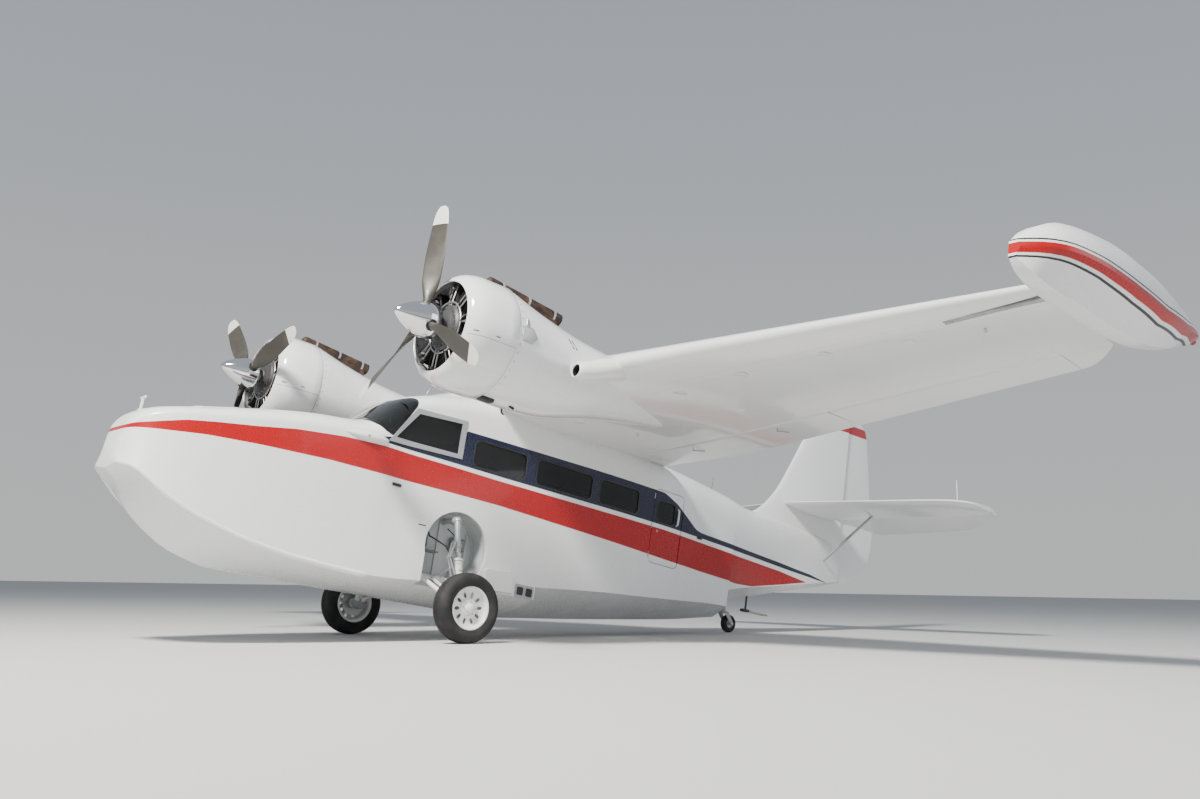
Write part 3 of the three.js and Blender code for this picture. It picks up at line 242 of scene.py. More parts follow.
def carve(piece, *steps, crease=34):
    """Each step is (operation, shape): DIFFERENCE takes a shape away, UNION adds it."""
    cutters = [hidden(shape) for _, shape in steps]
    for cutter, (operation, _) in zip(cutters, steps):
        cut = piece.modifiers.new("cut", "BOOLEAN")
        cut.operation, cut.solver, cut.object = operation, "EXACT", cutter
    graph = bpy.context.evaluated_depsgraph_get()
    cut_mesh = bpy.data.meshes.new_from_object(piece.evaluated_get(graph))
    piece.modifiers.clear()
    old, piece.data = piece.data, cut_mesh
    name = old.name
    bpy.data.meshes.remove(old)
    cut_mesh.name = name
    for cutter in cutters:
        bpy.data.objects.remove(cutter)
    tidy_surface(cut_mesh, crease)
    return piece


print("a bar has", len(bar([(0, 0, 0), (0, 0, 1)], 0.1)[0]), "points")
# %% [markdown]
# ## Finishes
# Each finish is a Principled shader whose colour, roughness and bump come from small patterns.
# Patterns shared by several finishes are node groups, so a change in one place is a change in
# all. They read Object coordinates, which here are the metres of the parked boat.
# %% Helpers for node trees
def add_node(tree, kind, **settings):
    made = tree.nodes.new(kind)
    for name, value in settings.items():
        setattr(made, name, value)
    return made


def wire(tree, source, target):
    tree.links.new(source, target)
    return target


def calc(tree, operation, *values, clamp=False):
    made = add_node(tree, "ShaderNodeMath", operation=operation, use_clamp=clamp)
    for socket, value in zip(made.inputs, values):
        if isinstance(value, (int, float)):
            socket.default_value = value
        else:
            wire(tree, value, socket)
    return made.outputs[0]


def blend_colour(tree, share, first, second):
    made = add_node(tree, "ShaderNodeMix", data_type="RGBA", clamp_factor=True)
    for socket, value in ((made.inputs[0], share), (made.inputs[6], first),
                          (made.inputs[7], second)):
        if isinstance(value, (int, float)):
            socket.default_value = value
        elif isinstance(value, tuple):
            socket.default_value = (*value, 1) if len(value) == 3 else value
        else:
            wire(tree, value, socket)
    return made.outputs[2]


def start_group(name, inputs, outputs):
    tree = bpy.data.node_groups.new(name, "ShaderNodeTree")
    for label, kind, default in inputs:
        socket = tree.interface.new_socket(label, in_out="INPUT", socket_type=kind)
        if default is not None:
            socket.default_value = default
    for label, kind in outputs:
        tree.interface.new_socket(label, in_out="OUTPUT", socket_type=kind)
    return tree, tree.nodes.new("NodeGroupInput"), tree.nodes.new("NodeGroupOutput")


VALUE, VECTOR = "NodeSocketFloat", "NodeSocketVector"

# %% [markdown]
# ### Where a point is on the level boat
# Stripes and seams are laid out on the level drawing, so the first group turns a point of the
# parked boat back to it and gives its side, station and height.
# %% Group: place on the level boat
level_place, place_in, place_out = start_group(
    "level_place", [("Point", VECTOR, None)],
    [("Level", VECTOR), ("Side", VALUE), ("Station", VALUE), ("Height", VALUE)])
turn_level = add_node(level_place, "ShaderNodeMapping")
turn_level.inputs["Rotation"].default_value = (PARKED_ANGLE, 0, 0)
turn_level.inputs["Location"].default_value = (
    Matrix.Rotation(PARKED_ANGLE, 3, "X") @ -ORIGIN_ON_GROUND)
wire(level_place, place_in.outputs["Point"], turn_level.inputs["Vector"])
parts_of = add_node(level_place, "ShaderNodeSeparateXYZ")
wire(level_place, turn_level.outputs[0], parts_of.inputs[0])
wire(level_place, turn_level.outputs[0], place_out.inputs["Level"])
wire(level_place, calc(level_place, "ABSOLUTE", parts_of.outputs[0]), place_out.inputs["Side"])
wire(level_place, parts_of.outputs[1], place_out.inputs["Station"])
wire(level_place, parts_of.outputs[2], place_out.inputs["Height"])

# %% [markdown]
# ### Dust, wear and seams
# Even a polished boat has a little dust where air leaves it, and its sheets meet in fine seams.
# One group gives a soft dust mask and one a mask of thin lines at a spacing. Another gives an
# edge between two values, which is how every painted stripe is cut.
# %% Groups: dust, seams and a band
dust, dust_in, dust_out = start_group(
    "dust", [("Point", VECTOR, None), ("Scale", VALUE, 1.4), ("Amount", VALUE, 0.5)],
    [("Mask", VALUE), ("Grain", VALUE)])
cloud = add_node(dust, "ShaderNodeTexNoise")
cloud.inputs["Detail"].default_value = 6
speck = add_node(dust, "ShaderNodeTexNoise")
speck.inputs["Scale"].default_value = 60
speck.inputs["Detail"].default_value = 3
for noise in (cloud, speck):
    wire(dust, dust_in.outputs["Point"], noise.inputs["Vector"])
wire(dust, dust_in.outputs["Scale"], cloud.inputs["Scale"])
thin = calc(dust, "MULTIPLY", calc(dust, "SUBTRACT", cloud.outputs[0], 0.45, clamp=True), 3.0,
            clamp=True)
wire(dust, calc(dust, "MULTIPLY", thin, dust_in.outputs["Amount"]), dust_out.inputs["Mask"])
wire(dust, speck.outputs[0], dust_out.inputs["Grain"])

seams, seams_in, seams_out = start_group(
    "seams", [("Value", VALUE, 0), ("Spacing", VALUE, 0.6), ("Width", VALUE, 0.004),
              ("Shift", VALUE, 0)], [("Line", VALUE)])
shifted = calc(seams, "ADD", seams_in.outputs["Value"], seams_in.outputs["Shift"])
wrapped = calc(seams, "ABSOLUTE", calc(seams, "WRAP", shifted,
               calc(seams, "MULTIPLY", seams_in.outputs["Spacing"], 0.5),
               calc(seams, "MULTIPLY", seams_in.outputs["Spacing"], -0.5)))
soft = add_node(seams, "ShaderNodeMapRange", interpolation_type="SMOOTHSTEP")
wire(seams, wrapped, soft.inputs["Value"])
wire(seams, seams_in.outputs["Width"], soft.inputs["From Max"])
soft.inputs["To Min"].default_value, soft.inputs["To Max"].default_value = 1, 0
wire(seams, soft.outputs[0], seams_out.inputs["Line"])

band, band_in, band_out = start_group(
    "band", [("Value", VALUE, 0), ("Low", VALUE, 0), ("High", VALUE, 1),
             ("Softness", VALUE, 0.0015)],
    [("Mask", VALUE)])
rise = calc(band, "DIVIDE", calc(band, "SUBTRACT", band_in.outputs["Value"],
                                 band_in.outputs["Low"]),
            band_in.outputs["Softness"], clamp=True)
fall = calc(band, "DIVIDE", calc(band, "SUBTRACT", band_in.outputs["High"],
                                 band_in.outputs["Value"]),
            band_in.outputs["Softness"], clamp=True)
wire(band, calc(band, "MULTIPLY", rise, fall), band_out.inputs["Mask"])


def use_group(tree, group, **values):
    made = add_node(tree, "ShaderNodeGroup", node_tree=group)
    for name, value in values.items():
        if isinstance(value, (int, float)):
            made.inputs[name].default_value = value
        else:
            wire(tree, value, made.inputs[name])
    return made


print("shared groups:", [g.name for g in bpy.data.node_groups])

# %% [markdown]
# ### The bench that every finish starts from
# A finish gets its shader, its place on the boat, a dusting and a fine bump. What differs from
# finish to finish is passed in by name.
# %% A finish to start from
WHITE = (0.84, 0.85, 0.85)
PALE_DUST, WING_DUST = (0.66, 0.66, 0.63), (0.60, 0.60, 0.56)
RED = (0.40, 0.002, 0.004)
NAVY = (0.004, 0.008, 0.032)
INK = (0.012, 0.013, 0.02)


def start_finish(name, colour, roughness, metallic=0.0, coat=0.0, specular=0.5, dust_colour=None,
                 dust_amount=0.25, dust_scale=1.4, rough_swing=0.10, bump=0.0, bump_scale=60):
    finish = bpy.data.materials.new(name)
    finish.use_nodes = True
    finish.diffuse_color = (*colour, 1)
    tree = finish.node_tree
    shader = tree.nodes["Principled BSDF"]
    shader.inputs["Metallic"].default_value = metallic
    shader.inputs["Coat Weight"].default_value = coat
    shader.inputs["Coat Roughness"].default_value = 0.04
    shader.inputs["Specular IOR Level"].default_value = specular
    own = add_node(tree, "ShaderNodeTexCoord").outputs["Object"]
    place = use_group(tree, level_place, Point=own)
    dusted = use_group(tree, dust, Point=own, Scale=dust_scale, Amount=dust_amount)
    tint = dust_colour or tuple(c * 0.72 + 0.05 for c in colour)
    base = blend_colour(tree, dusted.outputs["Mask"], colour, tint)
    wire(tree, base, shader.inputs["Base Color"])
    swing = calc(tree, "MULTIPLY_ADD", dusted.outputs["Grain"], rough_swing,
                 max(roughness - rough_swing / 2, 0.0))
    wire(tree, calc(tree, "MULTIPLY_ADD", dusted.outputs["Mask"], 0.25, swing),
         shader.inputs["Roughness"])
    lift = add_node(tree, "ShaderNodeBump")
    lift.inputs["Strength"].default_value = 0.35
    lift.inputs["Distance"].default_value = 0.002
    grain = add_node(tree, "ShaderNodeTexNoise")
    grain.inputs["Scale"].default_value = bump_scale
    wire(tree, own, grain.inputs["Vector"])
    height = calc(tree, "MULTIPLY", grain.outputs[0], bump)
    wire(tree, height, lift.inputs["Height"])
    wire(tree, lift.outputs[0], shader.inputs["Normal"])
    return finish, {"tree": tree, "shader": shader, "own": own, "place": place, "base": base,
                    "dust": dusted, "lift": lift, "height": height, "tint": tint}


def add_seams(bench, *rows, depth=1.0, shade=0.30):
    """Rows of (place output, spacing, width, shift): fine dark lines with a groove."""
    tree, line = bench["tree"], None
    for label, spacing, width, shift in rows:
        one = use_group(tree, seams, Value=bench["place"].outputs[label], Spacing=spacing,
                        Width=width, Shift=shift).outputs["Line"]
        line = one if line is None else calc(tree, "MAXIMUM", line, one)
    socket = bench["shader"].inputs["Base Color"]
    before = socket.links[0].from_socket
    wire(tree, blend_colour(tree, calc(tree, "MULTIPLY", line, shade), before, (0.12, 0.12, 0.12)),
         socket)
    groove = calc(tree, "SUBTRACT", bench["height"], calc(tree, "MULTIPLY", line, depth))
    wire(tree, groove, bench["lift"].inputs["Height"])
    bench["height"] = groove
    return line


def paint_over(bench, mask, colour):
    socket = bench["shader"].inputs["Base Color"]
    wire(bench["tree"], blend_colour(bench["tree"], mask, socket.links[0].from_socket, colour),
         socket)


def between(bench, value, low, high, softness=0.0015):
    return use_group(bench["tree"], band, Value=value, Low=low, High=high,
                     Softness=softness).outputs["Mask"]


def banded(bench, label, low, high, softness=0.0015):
    return between(bench, bench["place"].outputs[label], low, high, softness)


white_paint, bench = start_finish("white_paint", WHITE, 0.16, coat=0.6, dust_amount=0.16,
                                  dust_colour=PALE_DUST, bump=0.02)
print("finish:", white_paint.name)

# %% [markdown]
# ### The hull's stripes
# The real hull is white, with a broad red stripe that starts as a point on the bow and ends as
# one at the tail. A thin white line runs over it, and above that a navy band holds the windows
# and narrows to a stripe behind the door. Tape laid along a few measured heights gives just
# these edges, so each edge here is one curve of height against station.
# %% Striped hull paint
HULL_LENGTH, STRIPE_FLOOR, STRIPE_REACH = 12.0, 1.5, 2.0
RED_FOOT = [(0.0, 2.0), (0.08, 2.02), (0.23, 2.036), (0.4, 2.052), (0.7, 2.085), (1.2, 2.112),
            (1.95, 2.138), (4.1, 2.135), (5.62, 2.086), (6.78, 2.044), (7.49, 2.027),
            (8.35, 2.02), (8.72, 2.05), (9.4, 2.196), (10.09, 2.352), (12.0, 2.36)]
RED_HEAD = [(0.0, 2.03), (0.08, 2.069), (0.22, 2.107), (0.5, 2.19), (0.8, 2.24), (1.15, 2.29),
            (1.56, 2.365), (2.06, 2.418), (2.53, 2.438), (4.1, 2.412), (5.6, 2.41), (6.7, 2.414),
            (7.41, 2.398), (8.29, 2.386), (9.36, 2.383), (10.09, 2.352), (12.0, 2.33)]
NAVY_FOOT = [(0.0, 3.3), (2.4, 3.3), (2.44, 2.475), (4.1, 2.458), (6.7, 2.462), (8.28, 2.443),
             (9.35, 2.438), (10.66, 2.436), (10.72, 3.3), (12.0, 3.3)]
NAVY_HEAD = [(0.0, 2.0), (2.4, 2.0), (2.44, 2.52), (2.62, 2.56), (3.4, 2.60), (3.5, 2.86),
             (4.1, 2.866), (5.5, 2.88), (6.62, 2.88), (6.88, 2.79), (6.97, 2.739), (7.16, 2.629),
             (7.3, 2.548), (7.42, 2.525), (8.55, 2.507), (9.34, 2.503), (10.16, 2.485),
             (10.66, 2.44), (12.0, 2.43)]


def edge_line(bench, stops):
    """The height of a tape line at each station, as a value over the surface."""
    tree = bench["tree"]
    line = add_node(tree, "ShaderNodeFloatCurve")
    curve = line.mapping.curves[0]
    for i, (station, height) in enumerate(stops):
        at = (station / HULL_LENGTH, (height - STRIPE_FLOOR) / STRIPE_REACH)
        if i < 2:
            curve.points[i].location = at
        else:
            curve.points.new(*at)
    for point in curve.points:
        point.handle_type = "VECTOR"
    line.mapping.update()
    share = calc(tree, "DIVIDE", bench["place"].outputs["Station"], HULL_LENGTH)
    wire(tree, share, line.inputs["Value"])
    return calc(tree, "MULTIPLY_ADD", line.outputs[0], STRIPE_REACH, STRIPE_FLOOR)


def striped_finish(name, seam_rows):
    finish, bench = start_finish(name, WHITE, 0.26, coat=0.22, dust_amount=0.14,
                                 dust_colour=(0.68, 0.68, 0.65), bump=0.02)
    red = banded(bench, "Height", edge_line(bench, RED_FOOT), edge_line(bench, RED_HEAD), 0.003)
    navy = banded(bench, "Height", edge_line(bench, NAVY_FOOT), edge_line(bench, NAVY_HEAD), 0.003)
    paint_over(bench, red, RED)
    paint_over(bench, navy, NAVY)
    add_seams(bench, *seam_rows, shade=0.16)
    return finish


hull_paint = striped_finish("hull_paint",
                            [("Station", 0.92, 0.0025, 0.12), ("Height", 2.4, 0.002, 0.62)])
door_paint = striped_finish("door_paint", [("Station", 9.0, 0.002, 0.0)])
print("stripe edges:", len(RED_FOOT), len(RED_HEAD), len(NAVY_FOOT), len(NAVY_HEAD))

# %% [markdown]
# ### Wing, tail and float paint
# Wing and tail sheets run spanwise, so their seams do too. The fin carries one dark red band over
# its tip. A float's stripe follows its keel: red in the middle, then white, then a dark pinline.
# %% Wing, tail and float paint
wing_paint, bench = start_finish("wing_paint", (0.80, 0.81, 0.80), 0.14, coat=0.8, dust_amount=0.2,
                                 dust_colour=WING_DUST, dust_scale=0.9, bump=0.02)
add_seams(bench, ("Side", 0.78, 0.0022, 0.35), shade=0.14)
spar_station = calc(bench["tree"], "MULTIPLY_ADD", bench["place"].outputs["Side"], -0.045,
                    bench["place"].outputs["Station"])
for at in (4.12, 4.24, 5.18):
    spar = between(bench, spar_station, at, at + 0.007, 0.002)
    paint_over(bench, calc(bench["tree"], "MULTIPLY", spar, 0.30), (0.16, 0.16, 0.15))

tail_paint, bench = start_finish("tail_paint", WHITE, 0.16, coat=0.6, dust_amount=0.18,
                                 dust_colour=PALE_DUST, bump=0.02)
add_seams(bench, ("Station", 0.74, 0.002, 0.2), shade=0.12)
tip_slope = calc(bench["tree"], "MULTIPLY_ADD", bench["place"].outputs["Station"], -0.067,
                 bench["place"].outputs["Height"])
paint_over(bench, between(bench, tip_slope, 4.126, 4.268), (0.42, 0.012, 0.02))

FLOAT_MIDDLE = 3.740
float_paint, bench = start_finish("float_paint", WHITE, 0.26, coat=0.2, dust_amount=0.2,
                                  dust_colour=PALE_DUST, bump=0.02)
add_seams(bench, ("Station", 0.73, 0.002, 0.3), shade=0.14)
KEEL_OVER = 1.0  # a tape line holds heights from 1.5 to 3.5, and the float is higher by this much
keel_height = edge_line(bench, [(y, z - KEEL_OVER) for y, z in (
    (3.65, 3.750), (3.81, 3.755), (4.10, 3.757), (4.45, 3.742), (4.92, 3.706), (5.41, 3.694),
    (5.90, 3.745), (6.34, 3.848), (6.72, 3.955))])
from_keel = calc(bench["tree"], "ABSOLUTE", calc(bench["tree"], "SUBTRACT", calc(
    bench["tree"], "SUBTRACT", bench["place"].outputs["Height"], KEEL_OVER), keel_height))
for low, high, colour in ((-0.01, 0.042, RED), (0.060, 0.076, INK)):
    paint_over(bench, between(bench, from_keel, low, high), colour)

# %% [markdown]
# ### Metals, rubber, glass and cloth
# The spinners are polished, so they are nearly mirror-like and only finely brushed. The blades
# are satin grey with white tips. Exhaust steel is scorched in patches, rubber is matte with fine
# grain, glass is thin and grey, and the seats are woven cloth.
# %% The other finishes
polished_metal, bench = start_finish("polished_metal", (0.86, 0.86, 0.87), 0.07, metallic=1.0,
                                     dust_amount=0.06, rough_swing=0.08, bump=0.01, bump_scale=220)
bare_metal, bench = start_finish("bare_metal", (0.46, 0.46, 0.45), 0.36, metallic=0.9,
                                 dust_amount=0.35, dust_colour=(0.32, 0.31, 0.29), bump=0.06,
                                 bump_scale=260)
engine_grey, bench = start_finish("engine_grey", (0.060, 0.062, 0.064), 0.48, metallic=0.3,
                                  dust_amount=0.5, dust_colour=(0.07, 0.062, 0.055), bump=0.15,
                                  bump_scale=320)
fin_metal, bench = start_finish("fin_metal", (0.034, 0.034, 0.035), 0.50, metallic=0.45,
                                dust_amount=0.5, dust_colour=(0.045, 0.04, 0.035), bump=0.08,
                                bump_scale=300)
# Black paint for engine parts, also used as painted shade inside the slits, air holes, slots and
# inlet throats.
engine_black_and_hole_shade, bench = start_finish("engine_black_and_hole_shade", (0.018, 0.018, 0.019), 0.5, dust_amount=0.3,
                                   bump=0.1, bump_scale=240)
burnt_steel, bench = start_finish("burnt_steel", (0.032, 0.022, 0.018), 0.62, metallic=0.35,
                                  dust_amount=0.9, dust_colour=(0.16, 0.085, 0.05), dust_scale=9,
                                  rough_swing=0.2, bump=0.25, bump_scale=160)
tyre_rubber, bench = start_finish("tyre_rubber", (0.018, 0.018, 0.019), 0.72, dust_amount=0.5,
                                  dust_colour=(0.075, 0.07, 0.06), dust_scale=7, rough_swing=0.15,
                                  bump=0.3, bump_scale=340, specular=0.35)
black_hose, bench = start_finish("black_hose", (0.015, 0.015, 0.016), 0.45, dust_amount=0.3,
                                 bump=0.1, bump_scale=200)
gear_white, bench = start_finish("gear_white", (0.80, 0.81, 0.81), 0.28, coat=0.3, dust_amount=0.55,
                                 dust_colour=(0.42, 0.40, 0.36), dust_scale=6, bump=0.08,
                                 bump_scale=180)
gear_grey, bench = start_finish("gear_grey", (0.36, 0.38, 0.39), 0.34, metallic=0.2,
                                dust_amount=0.5, dust_colour=(0.16, 0.15, 0.13), dust_scale=7,
                                bump=0.08)
well_paint, bench = start_finish("well_paint", (0.50, 0.53, 0.53), 0.42, dust_amount=0.55,
                                 dust_colour=(0.24, 0.25, 0.24), dust_scale=3.5, bump=0.08)
frame_grey, bench = start_finish("frame_grey", (0.40, 0.42, 0.44), 0.30, metallic=0.4, coat=0.2,
                                 dust_amount=0.25, bump=0.04)
panel_black, bench = start_finish("panel_black", (0.022, 0.023, 0.025), 0.48, dust_amount=0.3,
                                  bump=0.12, bump_scale=420)
trim_grey, bench = start_finish("trim_grey", (0.20, 0.21, 0.22), 0.75, dust_amount=0.4, bump=0.3,
                                bump_scale=260)
lamp_red, bench = start_finish("lamp_red", (0.30, 0.012, 0.012), 0.10, coat=0.8, dust_amount=0.1)
ring_white, bench = start_finish("ring_white", (0.78, 0.78, 0.76), 0.35, dust_amount=0.2)

BLADE_WHITE_FROM = 1.02
blade_grey, bench = start_finish("blade_grey", (0.052, 0.048, 0.038), 0.42, metallic=0.15, coat=0.1,
                                 dust_amount=0.4, dust_colour=(0.12, 0.11, 0.095), dust_scale=5,
                                 bump=0.05, bump_scale=240)
across = calc(bench["tree"], "SUBTRACT", bench["place"].outputs["Side"], ENGINE_X)
above = calc(bench["tree"], "SUBTRACT", bench["place"].outputs["Height"], ENGINE_Z)
from_hub = calc(bench["tree"], "SQRT", calc(
    bench["tree"], "ADD", calc(bench["tree"], "MULTIPLY", across, across),
    calc(bench["tree"], "MULTIPLY", above, above)))
paint_over(bench, between(bench, from_hub, BLADE_WHITE_FROM, 3, 0.001), (0.80, 0.80, 0.78))
# The rear of each blade is nearly black, so that it does not glare at the crew
facing = add_node(bench["tree"], "ShaderNodeNewGeometry")
face_parts = add_node(bench["tree"], "ShaderNodeSeparateXYZ")
wire(bench["tree"], facing.outputs["True Normal"], face_parts.inputs[0])
rearward = calc(bench["tree"], "MULTIPLY", calc(
    bench["tree"], "SUBTRACT", face_parts.outputs[1], 0.25, clamp=True), 6.0, clamp=True)
not_tip = calc(bench["tree"], "LESS_THAN", from_hub, BLADE_WHITE_FROM)
paint_over(bench, calc(bench["tree"], "MULTIPLY", rearward, not_tip), (0.02, 0.02, 0.022))

window_glass, bench = start_finish("window_glass", (0.11, 0.125, 0.13), 0.03, dust_amount=0.04,
                                   rough_swing=0.02)
bench["shader"].inputs["Transmission Weight"].default_value = 0.92
bench["shader"].inputs["IOR"].default_value = 1.35
bench["shader"].inputs["Specular IOR Level"].default_value = 0.4

seat_cloth, bench = start_finish("seat_cloth", (0.16, 0.145, 0.13), 0.9, dust_amount=0.4,
                                 dust_scale=8, bump=0.25, bump_scale=120)
bench["shader"].inputs["Sheen Weight"].default_value = 0.3
weave = None
for label, spacing in (("Side", 0.006), ("Height", 0.006), ("Station", 0.006)):
    thread = use_group(bench["tree"], seams, Value=bench["place"].outputs[label], Spacing=spacing,
                       Width=0.0028, Shift=0.0).outputs["Line"]
    weave = thread if weave is None else calc(bench["tree"], "ADD", weave, thread)
wire(bench["tree"], calc(bench["tree"], "ADD", bench["height"], weave),
     bench["lift"].inputs["Height"])
paint_over(bench, calc(bench["tree"], "MULTIPLY", weave, 0.12, clamp=True), (0.30, 0.27, 0.24))
print("finishes:", len(bpy.data.materials))
# %% [markdown]
# ## The hull
# The hull is a planing boat below and a cabin above. Its bottom is a shallow V between the keel
# and two hard chines, it breaks upward at the main step and again at a pointed second step, and
# the tail cone carries on from there. The steps are sudden, so the bottom is described in three
# separate runs, while the shoulder and the crown are one curve from bow to stern.
# %% Lines of the hull
BOTTOM_RUNS = [  # (station, keel height, chine half width, chine height), in millimetres
    [(15, 1632, 300, 1668), (70, 1610, 425, 1664), (160, 1530, 520, 1625), (300, 1300, 592, 1530),
     (520, 1125, 655, 1395), (820, 980, 700, 1285), (1300, 888, 745, 1168), (1860, 903, 770, 1103),
     (2560, 912, 780, 1080), (3450, 930, 780, 1150), (4100, 938, 778, 1170),
     (4750, 945, 775, 1190)],
    [(4750, 965, 770, 1335), (5780, 1116, 750, 1460), (6500, 1228, 705, 1528),
     (7200, 1340, 640, 1600), (7700, 1425, 570, 1655), (8130, 1513, 524, 1682),
     (8416, 1570, 500, 1695)],
    [(8130, 1700, 480, 1900), (8620, 1845, 400, 2020), (9200, 2005, 325, 2140),
     (9800, 2170, 240, 2270), (10400, 2330, 150, 2400), (10915, 2480, 70, 2510)]]
TOP_RUN = [  # (station, shoulder half width, shoulder height, crown height), in millimetres
    (15, 190, 1840, 1900), (70, 320, 2030, 2130), (160, 400, 2130, 2235), (300, 470, 2190, 2300),
    (520, 545, 2235, 2362), (820, 610, 2285, 2430), (1300, 680, 2360, 2550),
    (1860, 722, 2435, 2655), (2300, 742, 2485, 2708), (2400, 744, 2496, 2740),
    (2560, 745, 2540, 2870), (2850, 715, 2945, 3110), (3450, 740, 3040, 3300),
    (4100, 748, 3090, 3420), (5780, 735, 3050, 3420), (6500, 700, 3000, 3345),
    (7200, 645, 2900, 3302), (7700, 590, 2800, 3262), (8130, 535, 2720, 3225),
    (8620, 450, 2640, 3158), (9200, 340, 2640, 3150), (9800, 230, 2680, 3140),
    (10400, 150, 2700, 3120), (10915, 75, 2720, 3100)]
MM = 0.001
SKIN = 0.040
MAIN_STEP, STEP_CORNER, STEP_POINT, STERN = 4.75, 8.13, 8.416, 10.915
bottom_lines = [ease(np.array(run) * MM) for run in BOTTOM_RUNS]
top_line = ease(np.array(TOP_RUN) * MM)


def half_section(station, run, skew=0.0, inset=0.0, bottoms=6, sides=8, tops=15):
    """Points from keel to crown on the port side. The skew runs the bottom on to a pointed step."""
    points = []
    for i in range(bottoms + 1):
        share = i / bottoms
        at = station + skew * (1 - share)
        keel, chine_x, chine_z = bottom_lines[run](at)
        hollow = 0.05 * (chine_z - keel) * math.sin(math.pi * share) if run == 0 else 0.0
        points.append((max(chine_x - inset, 0.004) * share, at,
                       (keel + inset) * (1 - share) + (chine_z + inset * 0.5) * share - hollow))
    _, chine_x, chine_z = bottom_lines[run](station)
    shoulder_x, shoulder_z, crown = top_line(station)
    middle_x = 0.4 * chine_x + 0.6 * shoulder_x
    for i in range(1, sides + 1):
        t = i / sides
        x = (chine_x * (1 - t) * (1 - 2 * t) + 4 * middle_x * t * (1 - t)
             + shoulder_x * t * (2 * t - 1))
        points.append((max(x - inset, 0.003), station, chine_z + inset * 0.5 * (1 - t)
                       + (shoulder_z - chine_z) * t))
    for i in range(1, tops + 1):
        a = math.pi / 2 * i / tops
        x = (shoulder_x - inset) * max(math.cos(a), 0.0) ** 0.62 if i < tops else 0.0
        points.append((max(x, 0.0), station,
                       shoulder_z + (crown - inset - shoulder_z) * math.sin(a) ** 0.9))
    return points


def whole_ring(half):
    return half + [(-x, y, z) for x, y, z in half[-2:0:-1]]


def stations_between(first, last, gap):
    return list(np.linspace(first, last, max(int(round((last - first) / gap)), 2) + 1))


def skew_at(station):
    if station <= STEP_CORNER:
        return (STEP_POINT - STEP_CORNER) * min(max((station - 7.3) / (STEP_CORNER - 7.3), 0),
                                                1) ** 2
    return (STEP_POINT - STEP_CORNER) * max(1 - (station - STEP_CORNER) / 1.0, 0)


def hull_rings(inset=0.0):
    rings = []
    bow = [0.015, 0.028, 0.045, 0.07, 0.1, 0.135, 0.175, 0.22, 0.27, 0.33, 0.4, 0.48, 0.57, 0.68]
    for station in bow + stations_between(0.8, MAIN_STEP, 0.085):
        rings.append(whole_ring(half_section(station, 0, inset=inset)))
    for station in stations_between(MAIN_STEP, STEP_CORNER, 0.10):
        rings.append(whole_ring(half_section(station, 1, skew_at(station), inset)))
    for station in stations_between(STEP_CORNER, STERN, 0.10):
        rings.append(whole_ring(half_section(station, 2, skew_at(station), inset)))
    return rings


def room_shape(inset, first=2.42, last=7.155):
    """The hollow inside the cabin, as a closed shape."""
    rings = []
    for run, low, high in ((0, first, min(last, MAIN_STEP)), (1, max(first, MAIN_STEP), last)):
        if high > low:
            rings += [whole_ring(half_section(s, run, inset=inset)) for s in
                      stations_between(low, high, 0.12)]
    return welded(*skin(rings))


def nose_rings(first_ring):
    """The flat of the bow is rounded over with two smaller rings."""
    middle = np.array([0.0, 0.0, 1.775])
    out = []
    for share, station in ((0.45, 0.004), (0.8, 0.0118)):
        out.append([(p[0] * share, station, middle[2] + (p[2] - middle[2]) * share)
                    for p in first_ring])
    return out


rings = hull_rings()
hull_shape = welded(*skin(nose_rings(rings[0]) + rings))
print("hull skin:", len(hull_shape[0]), "points in", len(rings), "rings")

# %% [markdown]
# ### Cutting the hull
# The cabin is hollow, the bow has a locker, and windows, door, windscreen and wheel wells are
# cut through the skin. The wells take a drum for the folded wheel and a slot for the arms.
# %% Openings of the hull
WINDOWS = [(3.650, 4.375), (4.540, 5.385), (5.520, 6.170)]
WINDOW_FOOT, WINDOW_HEAD = 2.500, 2.790
DOOR_PANE = (6.530, 6.850, 2.490, 2.760)
COCKPIT_PANE = [(2.640, 2.560), (2.890, 2.895), (3.440, 2.925), (3.440, 2.570)]
DOOR_HOLE = (6.455, 7.010, 1.960, 2.905)
WELL_STATION, WELL_HEIGHT, WELL_RADIUS, WELL_WALL = 3.615, 1.552, 0.402, 0.480
SCREEN_FOOT, SCREEN_HEAD, SCREEN_POST = (2.395, 2.722), (2.905, 3.128), 0.011
SCREEN_SIDE = [(2.345, 2.800), (2.368, 2.712), (2.440, 2.655), (2.520, 2.598), (2.600, 2.568),
               (2.640, 2.590), (2.852, 2.952), (2.872, 3.000), (2.898, 3.080), (2.915, 3.150),
               (2.890, 3.220), (2.600, 3.060)]
SCREEN_LAP = [(2.320, 2.800), (2.350, 2.690), (2.430, 2.632), (2.515, 2.572), (2.605, 2.545),
              (2.660, 2.580), (2.872, 2.948), (2.892, 3.000), (2.918, 3.080), (2.935, 3.150),
              (2.910, 3.240), (2.600, 3.100)]
ROOM_FRONT = 2.335
HATCH_HOLE = (-0.200, 0.200, 0.675, 1.085, 1.950, 2.700)
screen_lean = math.atan2(SCREEN_HEAD[1] - SCREEN_FOOT[1], SCREEN_HEAD[0] - SCREEN_FOOT[0])


def screen_point(x, along, out):
    """A point given by its place on the slope of the windscreen."""
    c, s = math.cos(screen_lean), math.sin(screen_lean)
    return (x, SCREEN_FOOT[0] + along * c - out * s, SCREEN_FOOT[1] + along * s + out * c)


def well_drum(side):
    return turned([(0, 0), (0, WELL_RADIUS), (side * 0.7, WELL_RADIUS), (side * 0.7, 0)],
                  (side * WELL_WALL, WELL_STATION, WELL_HEIGHT), "x", 96)


